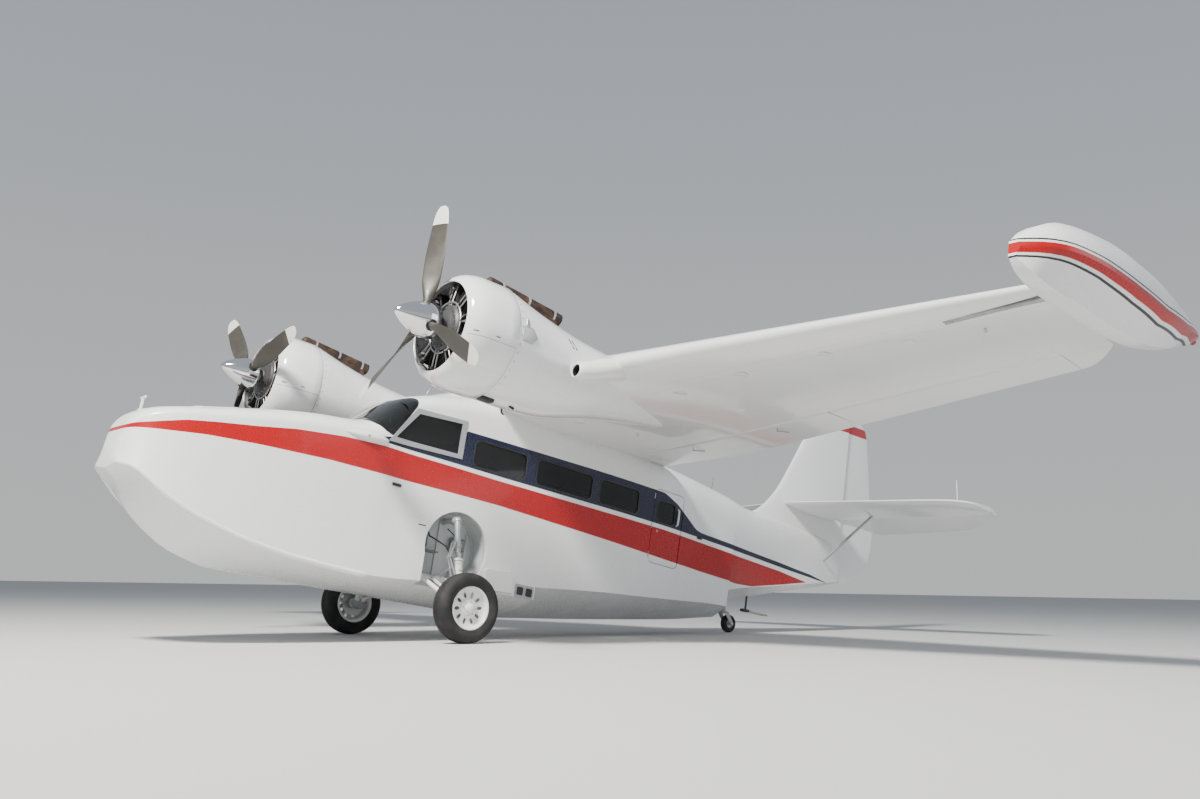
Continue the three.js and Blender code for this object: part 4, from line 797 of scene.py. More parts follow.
def arm_slot(side):
    x = sorted((side * 0.56, side * 1.0))
    return block(*x, 3.230, 3.890, 1.000, 1.500, 0.01)


cabin_openings = [prism(rounded(*w, WINDOW_FOOT, WINDOW_HEAD, 0.06), -0.9, 0.9) for w in WINDOWS]
cabin_openings += [prism(rounded(*DOOR_PANE, 0.055), -0.9, -0.3), prism(COCKPIT_PANE, -0.9, 0.9),
                   prism(rounded(*DOOR_HOLE, 0.07), 0.3, 0.9)]
cabin_openings += [prism(SCREEN_SIDE, *sorted((side * SCREEN_POST, side * 0.8)))
                   for side in (1, -1)]
wells = [well_drum(1), well_drum(-1), arm_slot(1), arm_slot(-1)]
hull_skin = make_piece("hull_skin", *hull_shape, hull_paint)
carve(hull_skin, ("DIFFERENCE", room_shape(SKIN, ROOM_FRONT)),
      ("DIFFERENCE", joined(*cabin_openings)),
      ("DIFFERENCE", joined(*wells[:2])), ("DIFFERENCE", joined(*wells[2:])),
      ("DIFFERENCE", block(*HATCH_HOLE)))
seat_piece(hull_skin, stands_for=("hull_bow", "hull_cabin", "cabin_top_port", "cabin_top_starboard",
                                  "hull_tail"))
print("hull after cutting:", len(hull_skin.data.polygons), "faces")

# %% [markdown]
# ### Wheel wells, glass and the door
# Each wheel folds into a round well with a grey painted lining. The panes are sheets of clear
# plastic bent to the inside of the skin, so they are cut from a thin shell of the same lines.
# %% Well linings, panes and door
def lining(side):
    inner_x, outer_x = sorted((side * 0.37, side * 0.9))
    piece = make_piece("wheel_well_lining_" + ("port" if side > 0 else "starboard"),
                       *room_shape(SKIN + 0.0005, 2.9, 4.74), well_paint)
    carve(piece, ("INTERSECT", block(inner_x, outer_x, 3.09, 4.12, 0.9, 2.01)),
          ("DIFFERENCE", well_drum(side)), ("DIFFERENCE", arm_slot(side)))
    return piece


for side, label, flip in SIDES:
    seat_piece(lining(side), stands_for=("wheel_box_" + label,))


def pane(name, *cut_from):
    sheet = make_piece(name, *room_shape(0.0070, ROOM_FRONT + 0.003, 7.14), window_glass)
    return carve(sheet, ("DIFFERENCE", room_shape(0.0130, ROOM_FRONT - 0.05, 7.17)), *cut_from)


def side_pane(name, outline, side):
    x0, x1 = sorted((side * 0.3, side * 0.9))
    return pane(name, ("INTERSECT", prism(outline, x0, x1)))


WIDE_COCKPIT = [(2.610, 2.540), (2.875, 2.920), (3.465, 2.950), (3.465, 2.548)]
lap_outline = rounded(DOOR_PANE[0] - 0.02, DOOR_PANE[1] + 0.02, DOOR_PANE[2] - 0.02,
                      DOOR_PANE[3] + 0.02, 0.055)
for side, label, flip in SIDES:
    seat_piece(side_pane("cabin_pane_" + label, rounded(3.62, 6.2, 2.475, 2.815, 0.06), side),
               stands_for=("cabin_glass_" + label,))
    seat_piece(side_pane("cockpit_pane_" + label, WIDE_COCKPIT, side),
               stands_for=("cockpit_glass_" + label,))
seat_piece(side_pane("door_pane", lap_outline, 1), "cabin_door", ("door_glass",))
seat_piece(side_pane("rear_pane_starboard", lap_outline, -1), stands_for=("rear_glass_starboard",))
seat_piece(pane("windscreen_panes", ("INTERSECT", prism(SCREEN_LAP, -0.8, 0.8))),
           stands_for=("windscreen",))

door = make_piece("cabin_door_panel", *room_shape(0.0, 5.6, 7.19), door_paint)
carve(door, ("DIFFERENCE", room_shape(SKIN)),
      ("INTERSECT", prism(rounded(6.463, 6.996, 1.968, 2.897, 0.064), 0.3, 0.9)),
      ("DIFFERENCE", prism(rounded(*DOOR_PANE, 0.055), 0.3, 0.9)))
seat_piece(door, "cabin_door", ("cabin_door",))
print("door faces:", len(door.data.polygons))

# %% [markdown]
# ## The wing
# The wing is one thick cambered section that tapers outboard of the engines. Flap and aileron
# are hinged in a round cove behind the rear spar, so the fixed wing ends there in a hollow arc
# and the moving surface starts with a round nose.
# %% Wing lines
WING_TIP = 7.130
FLAP_SPAN, AILERON_SPAN = (0.850, 3.938), (3.962, 6.680)
FLAP_HINGE, AILERON_HINGE = (6.120, 5.800), (5.800, 5.470)
CAMBER, COVE_GAP = 0.022, 0.014


def chord_at(x):
    out = max(abs(x) - ENGINE_X, 0)
    lead, trail = 3.720 + 0.125 * out, 6.650 - 0.18 * out
    share = min(out / (WING_TIP - ENGINE_X), 1)
    return lead, trail - lead, 3.390 + 0.04 * abs(x), 3.225 + 0.04 * abs(x), 0.155 - 0.035 * share


def half_thickness(thickness, u):
    return 5 * thickness * (0.2969 * math.sqrt(u) - 0.126 * u - 0.3516 * u ** 2 + 0.2843 * u ** 3
                            - 0.1015 * u ** 4) + 0.0012 * min(u * 40, 1)


def section_point(x, u, side, squeeze=1.0, trail=None):
    lead, length, lead_z, trail_z, thickness = chord_at(x)
    rise = 4 * CAMBER * u * (1 - u) + side * squeeze * half_thickness(thickness, u)
    along = u * (length if trail is None else trail - lead)
    return (x, lead + along, lead_z + (trail_z - lead_z) * along / length + rise * length)


def hinge_share(x, surface):
    span, line = surface
    lead, length = chord_at(x)[:2]
    y = line[0] + (line[1] - line[0]) * (abs(x) - span[0]) / (span[1] - span[0])
    return (y - lead) / length


FLAP, AILERON = (FLAP_SPAN, FLAP_HINGE), (AILERON_SPAN, AILERON_HINGE)


def wing_ring(x, surface=None, trail=None, squeeze=1.0, steps=22, back=9):
    lead, length = chord_at(x)[:2]
    end, arc = 1.0, []
    if surface:
        u = hinge_share(x, surface)
        centre = section_point(x, u, 0)
        nose = half_thickness(chord_at(x)[4], u) * length
        radius = nose + COVE_GAP
        end = u - math.sqrt(radius ** 2 - nose ** 2) / length
        spread = math.asin(nose / radius)
        arc = [(x, centre[1] - radius * math.cos(a), centre[2] + radius * math.sin(a))
               for a in np.linspace(spread, -spread, back)]
    upper = [section_point(x, end * (1 - math.cos(math.pi / 2 * i / steps)), 1, squeeze, trail)
             for i in range(steps, -1, -1)]
    lower = [section_point(x, end * (1 - math.cos(math.pi / 2 * i / steps)), -1, squeeze, trail)
             for i in range(1, steps + 1)]
    if not arc:
        top, low = np.array(upper[0]), np.array(lower[-1])
        arc = [tuple(top + (low - top) * t) for t in np.linspace(0, 1, back)]
    return upper + lower + arc[::-1][1:-1]


def spans(first, last, gap=0.3):
    return list(np.linspace(first, last, max(int(round((last - first) / gap)), 1) + 1))


def moving_ring(x, surface, steps=12):
    u0 = hinge_share(x, surface)
    centre = section_point(x, u0, 0)
    radius = half_thickness(chord_at(x)[4], u0) * chord_at(x)[1]
    shares = [u0 + (1 - u0) * i / steps for i in range(steps + 1)]
    upper = [section_point(x, u, 1) for u in reversed(shares)]
    nose = [(x, centre[1] + radius * math.cos(a), centre[2] + radius * math.sin(a))
            for a in np.radians(np.linspace(100, 260, 11))]
    return upper + nose + [section_point(x, u, -1) for u in shares]


WING_JOINT, ROOT_CUT, BRACKET, TIP_START = 2.685, 0.834, 3.950, 6.688
middle = [wing_ring(x) for x in spans(-ROOT_CUT, ROOT_CUT)]
arm = [wing_ring(x, FLAP) for x in spans(ROOT_CUT, ENGINE_X) + spans(ENGINE_X, WING_JOINT)[1:]]
other_arm = [[(-p[0], p[1], p[2]) for p in ring] for ring in reversed(arm)]
wing_middle = make_piece("wing_middle", *welded(*skin(other_arm + middle + arm)), wing_paint)
seat_piece(wing_middle, stands_for=("wing_center",))

# Three closed shells that touch: the flap bay, the aileron bay and the tip
bays = [[wing_ring(x, FLAP) for x in spans(WING_JOINT + 0.0005, BRACKET)],
        [wing_ring(x, AILERON) for x in spans(BRACKET, TIP_START)], []]
tip_trail_start = chord_at(TIP_START)[0] + chord_at(TIP_START)[1]
for past in (0, 0.2, 0.4, 0.6, 0.75, 0.87, 0.95, 1.0):
    x = TIP_START + (WING_TIP - TIP_START) * past
    trail = tip_trail_start + (5.480 - tip_trail_start) * past ** 1.6
    bays[2].append(wing_ring(x, None, trail, 1 - 0.28 * past ** 4))
bays = [welded(*skin(rings)) for rings in bays]
FLOAT_ARM_AT, FLOAT_AXIS = 4.460, 3.570
slot_cut = skin([[(x, FLOAT_ARM_AT - 0.032, 3.3), (x, FLOAT_ARM_AT + 0.032, 3.3),
                  (x, FLOAT_ARM_AT + 0.032, FLOAT_AXIS + 0.04 + 0.04 * (x - 6.25)),
                  (x, FLOAT_ARM_AT - 0.032, FLOAT_AXIS + 0.04 + 0.04 * (x - 6.25))]
                 for x in (6.20, 7.18)])
for side, label, flip in SIDES:
    for word, bay in zip(("inner", "outer", "tip"), bays):
        wing = make_piece(f"wing_{word}_{label}", *flip(bay), wing_paint)
        if word != "inner":
            carve(wing, ("DIFFERENCE", flip(welded(*slot_cut))))
        seat_piece(wing, stands_for=("wing_" + label,) if word == "outer" else ())
    for word, surface in (("flap", FLAP), ("aileron", AILERON)):
        x0, x1 = surface[0]
        stops = spans(x0, x1) if word == "aileron" else spans(x0, ENGINE_X) + spans(ENGINE_X,
                                                                                    x1)[1:]
        leaf = flip(welded(*skin([moving_ring(x, surface) for x in stops])))
        piece = make_piece(f"{word}_skin_{label}", *leaf, wing_paint)
        seat_piece(piece, f"{word}_{label}", (f"{word}_{label}",))
print("wing span:", 2 * WING_TIP, "m; chord at the root:", chord_at(0)[1])

# %% [markdown]
# ## The tail
# The fin grows out of the tail cone in one sweep. Fin and tailplane end in a flat face just
# ahead of the round nose of the rudder and the elevators, and the elevators droop when parked.
# %% Fin, rudder, tailplane and elevators
HINGE_STATION, ELEVATOR_STATION, ELEVATOR_HEIGHT = 10.940, 10.640, 3.452
NOSE, LEAF_GAP, DROOP = 0.042, 0.008, math.radians(18)
FIN_ROWS = [(2900, 10300), (3080, 8700), (3130, 8790), (3180, 8960), (3300, 9150), (3450, 9300),
            (3610, 9430), (4050, 9680), (4500, 9914), (4860, 10120), (5040, 10300), (5105, 10520)]
RUDDER_ROWS = [(2520, 11160), (2560, 11240), (2720, 11460), (2880, 11640), (3130, 11745),
               (3430, 11760), (3600, 11718), (4070, 11597), (4700, 11470), (4990, 11385),
               (5085, 11270), (5118, 11120)]
STABILIZER_ROWS = [(20, 9570), (1460, 9775), (2380, 9905), (2640, 9985), (2790, 10110),
                   (2850, 10260)]
ELEVATOR_ROWS = [(175, 10850), (330, 10960), (650, 11190), (2020, 11150), (2430, 11040),
                 (2690, 10870), (2830, 10760)]


def even_rows(rows, gap, low=None, high=None):
    table = np.array(rows, float) * MM
    low, high = low or table[0][0], high or table[-1][0]
    stops = sorted(set(np.round(np.linspace(low, high, int((high - low) / gap) + 2), 4)) |
                   {round(r[0], 4) for r in table if low <= r[0] <= high})
    line = ease(table)
    return [(s, float(line(s)[0])) for s in stops]


def fixed_section(lead, trail, half, steps=14):
    out = []
    for i in range(steps, -1, -1):
        u = (1 - math.cos(math.pi / 2 * i / steps))
        out.append((lead + u * (trail - lead),
                    half * min(1.0, 1.35 * math.sqrt(u) * (1.16 - 0.42 * u))))
    return out + [(y, -v) for y, v in out[-2::-1]]


def leaf_section(hinge, trail, half, steps=10):
    out = [(hinge + (trail - hinge) * t, half * (1 - t) ** 0.85 * 0.98 + 0.004)
           for t in np.linspace(1, 0, steps)]
    nose = [(hinge + half * math.cos(a), half * math.sin(a))
            for a in np.radians(np.linspace(90, 270, 11))]
    return out + nose[1:-1] + [(y, -v) for y, v in reversed(out)]


fin_end = HINGE_STATION - NOSE - LEAF_GAP
fin_rings = []
for z, lead in even_rows(FIN_ROWS, 0.05):
    half = min(0.075, (fin_end - lead) * 0.3) * (1 - 0.75 * max((z - 5.04) / 0.07, 0) ** 2)
    fin_rings.append([(v, y, z) for y, v in fixed_section(lead, fin_end, half)])
fin_piece = make_piece("fin_skin", *welded(*skin(fin_rings)), tail_paint)
seat_piece(fin_piece, stands_for=("fin",))

rudder_rings = []
for z, trail in even_rows(RUDDER_ROWS, 0.06):
    half = NOSE * (1 - 0.7 * max((z - 5.05) / 0.07, 0) ** 2)
    rudder_rings.append([(v, y, z) for y, v in leaf_section(HINGE_STATION, trail, half)])
rudder_piece = make_piece("rudder_skin", *welded(*skin(rudder_rings)), tail_paint)
seat_piece(rudder_piece, "rudder", ("rudder",))

plane_end = ELEVATOR_STATION - NOSE - LEAF_GAP
plane_rings, elevator_rings = [], []
for x, lead in even_rows(STABILIZER_ROWS, 0.1):
    half = 0.06 * (1 - 0.5 * max((x - 2.6) / 0.25, 0) ** 2)
    plane_rings.append([(x, y, ELEVATOR_HEIGHT + v)
                        for y, v in fixed_section(lead, plane_end, half)])
for x, trail in even_rows(ELEVATOR_ROWS, 0.1):
    ring = []
    for y, v in leaf_section(ELEVATOR_STATION, trail,
                             NOSE * (1 - 0.3 * max((x - 2.5) / 0.33, 0) ** 2)):
        dy = y - ELEVATOR_STATION
        ring.append((x, ELEVATOR_STATION + dy * math.cos(DROOP) + v * math.sin(DROOP),
                     ELEVATOR_HEIGHT - dy * math.sin(DROOP) + v * math.cos(DROOP)))
    elevator_rings.append(ring)
plane_shape, elevator_shape = welded(*skin(plane_rings)), welded(*skin(elevator_rings))
strut_shape = bar([(0.06, 10.50, 2.70), (0.55, 10.46, 3.06), (1.04, 10.42, 3.41)],
                  [0.017, 0.021, 0.017], 20)
for side, label, flip in SIDES:
    seat_piece(make_piece("tailplane_" + label, *flip(plane_shape), tail_paint),
               stands_for=("stabilizer_" + label,))
    seat_piece(make_piece("elevator_skin_" + label, *flip(elevator_shape), tail_paint), "elevators",
               ("elevator_" + label,))
    seat_piece(make_piece("tailplane_strut_" + label, *flip(strut_shape), gear_grey),
               stands_for=("tail_strut_" + label,))
print("fin rings:", len(fin_rings), "rudder rings:", len(rudder_rings))

# %% [markdown]
# ## The tip floats
# Each float swings up to lie flat beyond the wing tip. It is a small boat on its side: its keel
# points away from the wing and its deck faces it. The stripe runs along the keel.
# %% Tip floats with their arms
FLOAT_NOSE, FLOAT_TAIL, DECK_X, FLOAT_DEPTH, FLOAT_HALF = 3.815, 6.720, 7.165, 0.475, 0.335
FLOAT_ROWS = [(0.0, 0.2, 0.20, 0.12, 0.012, 0), (0.03, 0.48, 0.49, 0.28, 0.018, 0),
              (0.06, 0.66, 0.645, 0.35, 0.026, -0.04), (0.1, 0.78, 0.77, 0.4, 0.037, -0.08),
              (0.16, 0.88, 0.86, 0.44, 0.050, -0.14), (0.22, 0.94, 0.91, 0.46, 0.063, -0.2),
              (0.38, 1.0, 1.0, 0.46, 0.085, -0.36), (0.55, 0.95, 0.95, 0.44, 0.088, -0.42),
              (0.72, 0.81, 0.66, 0.4, 0.093, -0.4), (0.87, 0.56, 0.3, 0.3, 0.138, -0.3),
              (1.0, 0.18, 0.07, 0.1, 0.215, 0)]
float_line = ease(FLOAT_ROWS)


def float_ring(share, pull=1.0, steps=6):
    keel, beam, chine, rise, lean = float_line(share)
    y = FLOAT_NOSE + (FLOAT_TAIL - FLOAT_NOSE) * share
    corners = [(0.0, 0.86), (0.10 * chine, 0.95), (0.32 * chine, 0.99), (chine, 1.0)]
    deck = []
    for (d0, s0), (d1, s1) in zip(corners, corners[1:]):
        deck += [(d0 + (d1 - d0) * t, s0 + (s1 - s0) * t) for t in np.linspace(0, 1, 3)[:-1]]
    deck = [(0.0, 0.3)] + deck
    loop = deck + [(chine + (keel - chine) * math.sin(math.pi / 2 * t), 1.0 + (lean - 1.0) * (
        0.6 * t + 0.4 * (1 - math.cos(math.pi / 2 * t)))) for t in np.linspace(0, 1, steps + 1)]
    loop += [(keel + (chine - keel) * t - 0.03 * chine * math.sin(math.pi * t),
              lean - (1.0 + lean) * t)
             for t in np.linspace(0, 1, steps + 1)[1:]]
    loop += [(d, -s) for d, s in deck[::-1]]

    def at(depth, side):
        return (DECK_X + FLOAT_DEPTH * (0.3 * keel + (depth - 0.3 * keel) * pull), y,
                FLOAT_MIDDLE + rise + FLOAT_HALF * beam * side * pull)

    return [at(d, s) for d, s in loop]


shares = [0.0, 0.006, 0.014, 0.03, 0.05, 0.075] + list(np.linspace(0.1, 1.0, 44))
float_shape = welded(*skin([float_ring(0.0, 0.35), float_ring(0.0, 0.8)] +
                           [float_ring(s) for s in shares]))
tail_ball = turned([(-0.02, 0.0), (-0.012, 0.022), (0.006, 0.032), (0.03, 0.03), (0.05, 0.018),
                    (0.056, 0.0)], (DECK_X + 0.040, FLOAT_TAIL - 0.004, FLOAT_MIDDLE + 0.215), "y",
                    24)
arm_shape = joined(
    bar([(6.25, FLOAT_ARM_AT, FLOAT_AXIS), (6.7, FLOAT_ARM_AT, FLOAT_AXIS + 0.014),
         (7.19, FLOAT_ARM_AT, FLOAT_AXIS + 0.03)], [0.020, 0.022, 0.022]),
    bar([(6.25, FLOAT_ARM_AT - 0.031, FLOAT_AXIS), (6.25, FLOAT_ARM_AT + 0.031, FLOAT_AXIS)], 0.022,
        20))
for side, label, flip in SIDES:
    seat_piece(make_piece("float_hull_" + label, *flip(float_shape), float_paint, 28),
               "float_" + label, ("tip_float_" + label,))
    seat_piece(make_piece("float_arm_" + label, *flip(arm_shape), gear_grey), "float_" + label)
    seat_piece(make_piece("float_tail_ball_" + label, *flip(tail_ball), lamp_red), "float_" + label)
print("float length:", round(FLOAT_TAIL - FLOAT_NOSE, 3), "m")
# %% [markdown]
# ## A tree that repeats a shape
# Cooling fins, push rods, bolts and rivets are one small shape many times over. One Geometry
# Nodes tree does all but the rivets: it sets copies in a straight row and then turns the row round
# a centre. It is run once, turned into plain mesh and thrown away, so nothing is left live on the
# piece.
# %% Geometry Nodes: a row, turned round a centre
def start_tree(name, *inputs):
    """A tree from one shape to another, with its finish as the last named input."""
    tree = bpy.data.node_groups.new(name, "GeometryNodeTree")
    tree.interface.new_socket("Geometry", in_out="INPUT", socket_type="NodeSocketGeometry")
    for label, kind in (*inputs, ("Finish", "NodeSocketMaterial")):
        tree.interface.new_socket(label, in_out="INPUT", socket_type=kind)
    tree.interface.new_socket("Geometry", in_out="OUTPUT", socket_type="NodeSocketGeometry")
    return tree, tree.nodes.new("NodeGroupInput"), tree.nodes.new("NodeGroupOutput")


def end_tree(tree, given, result, copies):
    """Makes the copies real, gives them their finish and hands them out."""
    real = add_node(tree, "GeometryNodeRealizeInstances")
    wire(tree, copies.outputs[0], real.inputs[0])
    finished = add_node(tree, "GeometryNodeSetMaterial")
    wire(tree, real.outputs[0], finished.inputs["Geometry"])
    wire(tree, given.outputs["Finish"], finished.inputs["Material"])
    wire(tree, finished.outputs[0], result.inputs[0])


repeat_tree, given, result = start_tree(
    "row_and_ring", ("Row Count", "NodeSocketInt"), ("Row Step", "NodeSocketVector"),
    ("Ring Count", "NodeSocketInt"), ("Ring Turn", "NodeSocketVector"))
number = add_node(repeat_tree, "GeometryNodeInputIndex").outputs[0]


def times_index(vector):
    made = add_node(repeat_tree, "ShaderNodeVectorMath", operation="SCALE")
    wire(repeat_tree, vector, made.inputs[0])
    wire(repeat_tree, number, made.inputs["Scale"])
    return made.outputs[0]


row_points = add_node(repeat_tree, "GeometryNodePoints")
wire(repeat_tree, given.outputs["Row Count"], row_points.inputs["Count"])
wire(repeat_tree, times_index(given.outputs["Row Step"]), row_points.inputs["Position"])
ring_points = add_node(repeat_tree, "GeometryNodePoints")
wire(repeat_tree, given.outputs["Ring Count"], ring_points.inputs["Count"])
ring_turn = add_node(repeat_tree, "FunctionNodeEulerToRotation")
wire(repeat_tree, times_index(given.outputs["Ring Turn"]), ring_turn.inputs[0])
row_copies = add_node(repeat_tree, "GeometryNodeInstanceOnPoints")
wire(repeat_tree, row_points.outputs[0], row_copies.inputs["Points"])
wire(repeat_tree, given.outputs["Geometry"], row_copies.inputs["Instance"])
ring_copies = add_node(repeat_tree, "GeometryNodeInstanceOnPoints")
wire(repeat_tree, ring_points.outputs[0], ring_copies.inputs["Points"])
wire(repeat_tree, row_copies.outputs[0], ring_copies.inputs["Instance"])
wire(repeat_tree, ring_turn.outputs[0], ring_copies.inputs["Rotation"])
end_tree(repeat_tree, given, result, ring_copies)


def run_tree(tree, name, source, place, crease, **values):
    """Runs a tree over a mesh and returns the result as a plain piece at the given place."""
    maker = bpy.data.objects.new(name + "_maker", source)
    bpy.context.scene.collection.objects.link(maker)
    live = maker.modifiers.new("tree", "NODES")
    live.node_group = tree
    named = {item.name: item.identifier for item in tree.interface.items_tree
             if item.item_type == "SOCKET" and item.in_out == "INPUT"}
    for label, value in values.items():
        live[named[label.replace("_", " ")]] = value
    graph = bpy.context.evaluated_depsgraph_get()
    mesh = bpy.data.meshes.new_from_object(maker.evaluated_get(graph))
    bpy.data.objects.remove(maker)
    bpy.data.meshes.remove(source)
    mesh.name = name
    mesh.transform(LEVEL @ place)
    piece = bpy.data.objects.new(name, tidy_surface(mesh, crease))
    bpy.context.scene.collection.objects.link(piece)
    return piece


def repeated(name, shape, finish, centre, row=(1, (0, 0, 0)), ring=(1, (0, 0, 0)), turn=None):
    source = bpy.data.meshes.new(name)
    source.from_pydata([tuple(p) for p in shape[0]], [], [tuple(f) for f in shape[1]])
    place = Matrix.Translation(centre) @ (turn or Matrix.Identity(4))
    return run_tree(repeat_tree, name, source, place, 40, Row_Count=row[0], Row_Step=row[1],
                    Ring_Count=ring[0], Ring_Turn=ring[1], Finish=finish)


print("inputs of the tree:", [i.name for i in repeat_tree.interface.items_tree])

# %% [markdown]
# ## The engines
# Behind each propeller sits a nine-cylinder radial. Through the cowl's mouth one sees the round
# nose case, nine finned cylinders, eighteen push rods and the ring of the ignition harness.
# %% Engine pieces round the crankshaft
CYLINDERS, CYLINDER_STATION = 9, 2.330
ninth = (0, 2 * math.pi / CYLINDERS, 0)
fin_disc = turned([(0, 0.050), (0, 0.077), (0.0028, 0.077), (0.0028, 0.050), (0, 0.050)],
                  (0, CYLINDER_STATION, 0.262), "z", 20)
head_disc = turned([(0, 0.045), (0, 0.079), (0.0034, 0.079), (0.0034, 0.045), (0, 0.045)],
                   (0, CYLINDER_STATION, 0.408), "z", 20)
barrel = turned([(0.20, 0.0), (0.20, 0.072), (0.244, 0.072), (0.250, 0.058), (0.40, 0.058),
                 (0.402, 0.066), (0.478, 0.062), (0.497, 0.040), (0.500, 0.0)],
                (0, CYLINDER_STATION, 0), "z", 20)
rocker = block(0.012, 0.058, 2.250, 2.302, 0.440, 0.512, 0.009)
plug = bar([(0.0, 2.262, 0.415), (0.0, 2.232, 0.424), (0.0, 2.222, 0.427)], [0.011, 0.011, 0.006],
           10)
lead = bar([(0.0, 2.222, 0.427), (0.004, 2.205, 0.40), (0.012, 2.20, 0.34), (0.02, 2.212, 0.285),
            (0.022, 2.222, 0.262)], 0.0048, 6)
push_rod = bar([(0.026, 2.232, 0.222), (0.036, 2.268, 0.452)], 0.0098, 10)
intake = bar([(0.062, 2.40, 0.25), (0.075, 2.40, 0.36), (0.055, 2.38, 0.45)], 0.021, 10)
case = turned([(2.152, 0.0), (2.152, 0.088), (2.158, 0.096), (2.168, 0.100), (2.172, 0.122),
               (2.184, 0.158), (2.196, 0.178), (2.200, 0.212), (2.212, 0.222), (2.222, 0.236),
               (2.42, 0.236), (2.42, 0.0)], (0, 0, 0), "y", 48)
harness = turned([(math.cos(a) * 0.011 + 2.226, 0.262 + math.sin(a) * 0.011)
                  for a in np.linspace(0, 2 * math.pi, 13)], (0, 0, 0), "y", 64)
nut = turned([(0.0, 0.0085), (-0.008, 0.0085), (-0.009, 0.0)], (0, 2.199, 0.197), "y", 6)
baffle = turned([(2.405, 0.236), (2.405, 0.575), (2.412, 0.575), (2.412, 0.236), (2.405, 0.236)],
                (0, 0, 0), "y", 72)
both_rockers = joined(rocker, mirrored(rocker))
both_rods = joined(push_rod, mirrored(push_rod))


def set_at(shape, x, y, z):
    return [(p[0] + x, p[1] + y, p[2] + z) for p in shape[0]], shape[1]


for side, label, flip in SIDES:
    hub = (side * ENGINE_X, 0, ENGINE_Z)
    around = {"ring": (CYLINDERS, ninth)}
    crankcase = make_piece("crankcase_" + label, *set_at(case, *hub), engine_grey)
    seat_piece(crankcase, stands_for=("engine_" + label,))
    for name, shape, finish, plan in (
            ("barrels", barrel, fin_metal, around),
            ("barrel_fins", fin_disc, fin_metal, {"row": (15, (0, 0, 0.0093)), **around}),
            ("head_fins", head_disc, fin_metal, {"row": (8, (0, 0, 0.0098)), **around}),
            ("rocker_boxes", both_rockers, engine_grey, around),
            ("push_rods", both_rods, bare_metal, around),
            ("spark_plugs", plug, bare_metal, around), ("plug_leads", lead, black_hose, around),
            ("intake_pipes", intake, engine_black_and_hole_shade, around),
            ("case_nuts", nut, bare_metal, {"ring": (18, (0, math.pi / 9, 0))})):
        seat_piece(repeated(f"{name}_{label}", shape, finish, hub, **plan))
    seat_piece(make_piece("harness_ring_" + label, *set_at(harness, *hub), bare_metal))
    seat_piece(make_piece("engine_baffle_" + label, *set_at(baffle, *hub), engine_black_and_hole_shade))
print("fins on one engine:", CYLINDERS * 23)

# %% [markdown]
# ### Cowls and nacelles
# The cowl is a ring with a rolled lip, and the nacelle behind it is a long teardrop that the wing
# passes through. Cooling air leaves through the narrow gap between the two.
# %% Cowl and nacelle
cowl_paint, bench = start_finish("cowl_paint", WHITE, 0.14, coat=0.8, dust_amount=0.22,
                                 dust_colour=(0.60, 0.60, 0.57), dust_scale=2.2, bump=0.02)
for low, high in ((3.052, 3.0555), (3.55, 3.5535)):
    paint_over(bench, calc(bench["tree"], "MULTIPLY", banded(bench, "Station", low, high), 0.40),
               (0.13, 0.13, 0.13))
# The second row is a painted shadow: the gap behind the cowl's rear edge is darkened on its lower
# half only. The other rows are thin dark lines and small dark marks.
for height, station, strength in (((3.299, 3.305), (2.190, 2.708), 0.85),
                                  ((2.4, 3.302), (2.699, 2.712), 0.8),
                                  ((3.335, 3.350), (2.225, 2.275), 0.9),
                                  ((3.335, 3.350), (2.455, 2.505), 0.9),
                                  ((3.842, 3.8455), (2.24, 2.69), 0.35),
                                  ((3.046, 3.0495), (2.24, 2.69), 0.35)):
    patch = calc(bench["tree"], "MULTIPLY", banded(bench, "Height", *height),
                 banded(bench, "Station", *station))
    paint_over(bench, calc(bench["tree"], "MULTIPLY", patch, strength), (0.05, 0.05, 0.05))
outer_line = ease([(0.0, 0.463), (0.02, 0.496), (0.06, 0.535), (0.14, 0.572), (0.24, 0.590),
                   (0.54, 0.590)])
outer_profile = [(s, float(outer_line(s)[0])) for s in
                 (0.0, 0.004, 0.01, 0.02, 0.035, 0.06, 0.09, 0.12, 0.15, 0.19, 0.24, 0.34, 0.44,
                  0.535)]
inner_profile = [(0.540, 0.586), (0.540, 0.578), (0.24, 0.578), (0.14, 0.556), (0.06, 0.500),
                 (0.03, 0.470), (0.014, 0.457), (0.004, 0.458), (0.0, 0.463)]
cowl_ring = turned([(2.165 + along, radius) for along, radius in outer_profile + inner_profile],
                   (0, 0, 0), "y", 96)
NACELLE_ROWS = [(2465, 520, 3970, 2930), (2600, 560, 4010, 2890), (2705, 577.5, 4027.5, 2872.5),
                (2900, 562, 3985, 2868), (3050, 547, 3945, 2866), (3450, 517, 3855, 2890),
                (3750, 502, 3800, 2945), (4150, 470, 3760, 3040), (4600, 380, 3725, 3130),
                (5050, 200, 3690, 3210), (5350, 40, 3640, 3290)]
nacelle_line = ease(np.array(NACELLE_ROWS) * MM)


def nacelle_ring(y, sides=56):
    half, top, low = nacelle_line(y)
    middle, rise = (top + low) / 2, (top - low) / 2
    return [(half * math.cos(a), y, middle + rise * math.sin(a) - ENGINE_Z)
            for a in np.linspace(0, 2 * math.pi, sides, endpoint=False)]


nacelle_shape = welded(*skin([nacelle_ring(y) for y in
                              list(np.linspace(2.465, 2.71, 5)) + list(np.linspace(2.75, 5.35,
                                                                                   46))]))
print("cowl mouth:", 2 * 0.457, "m wide")

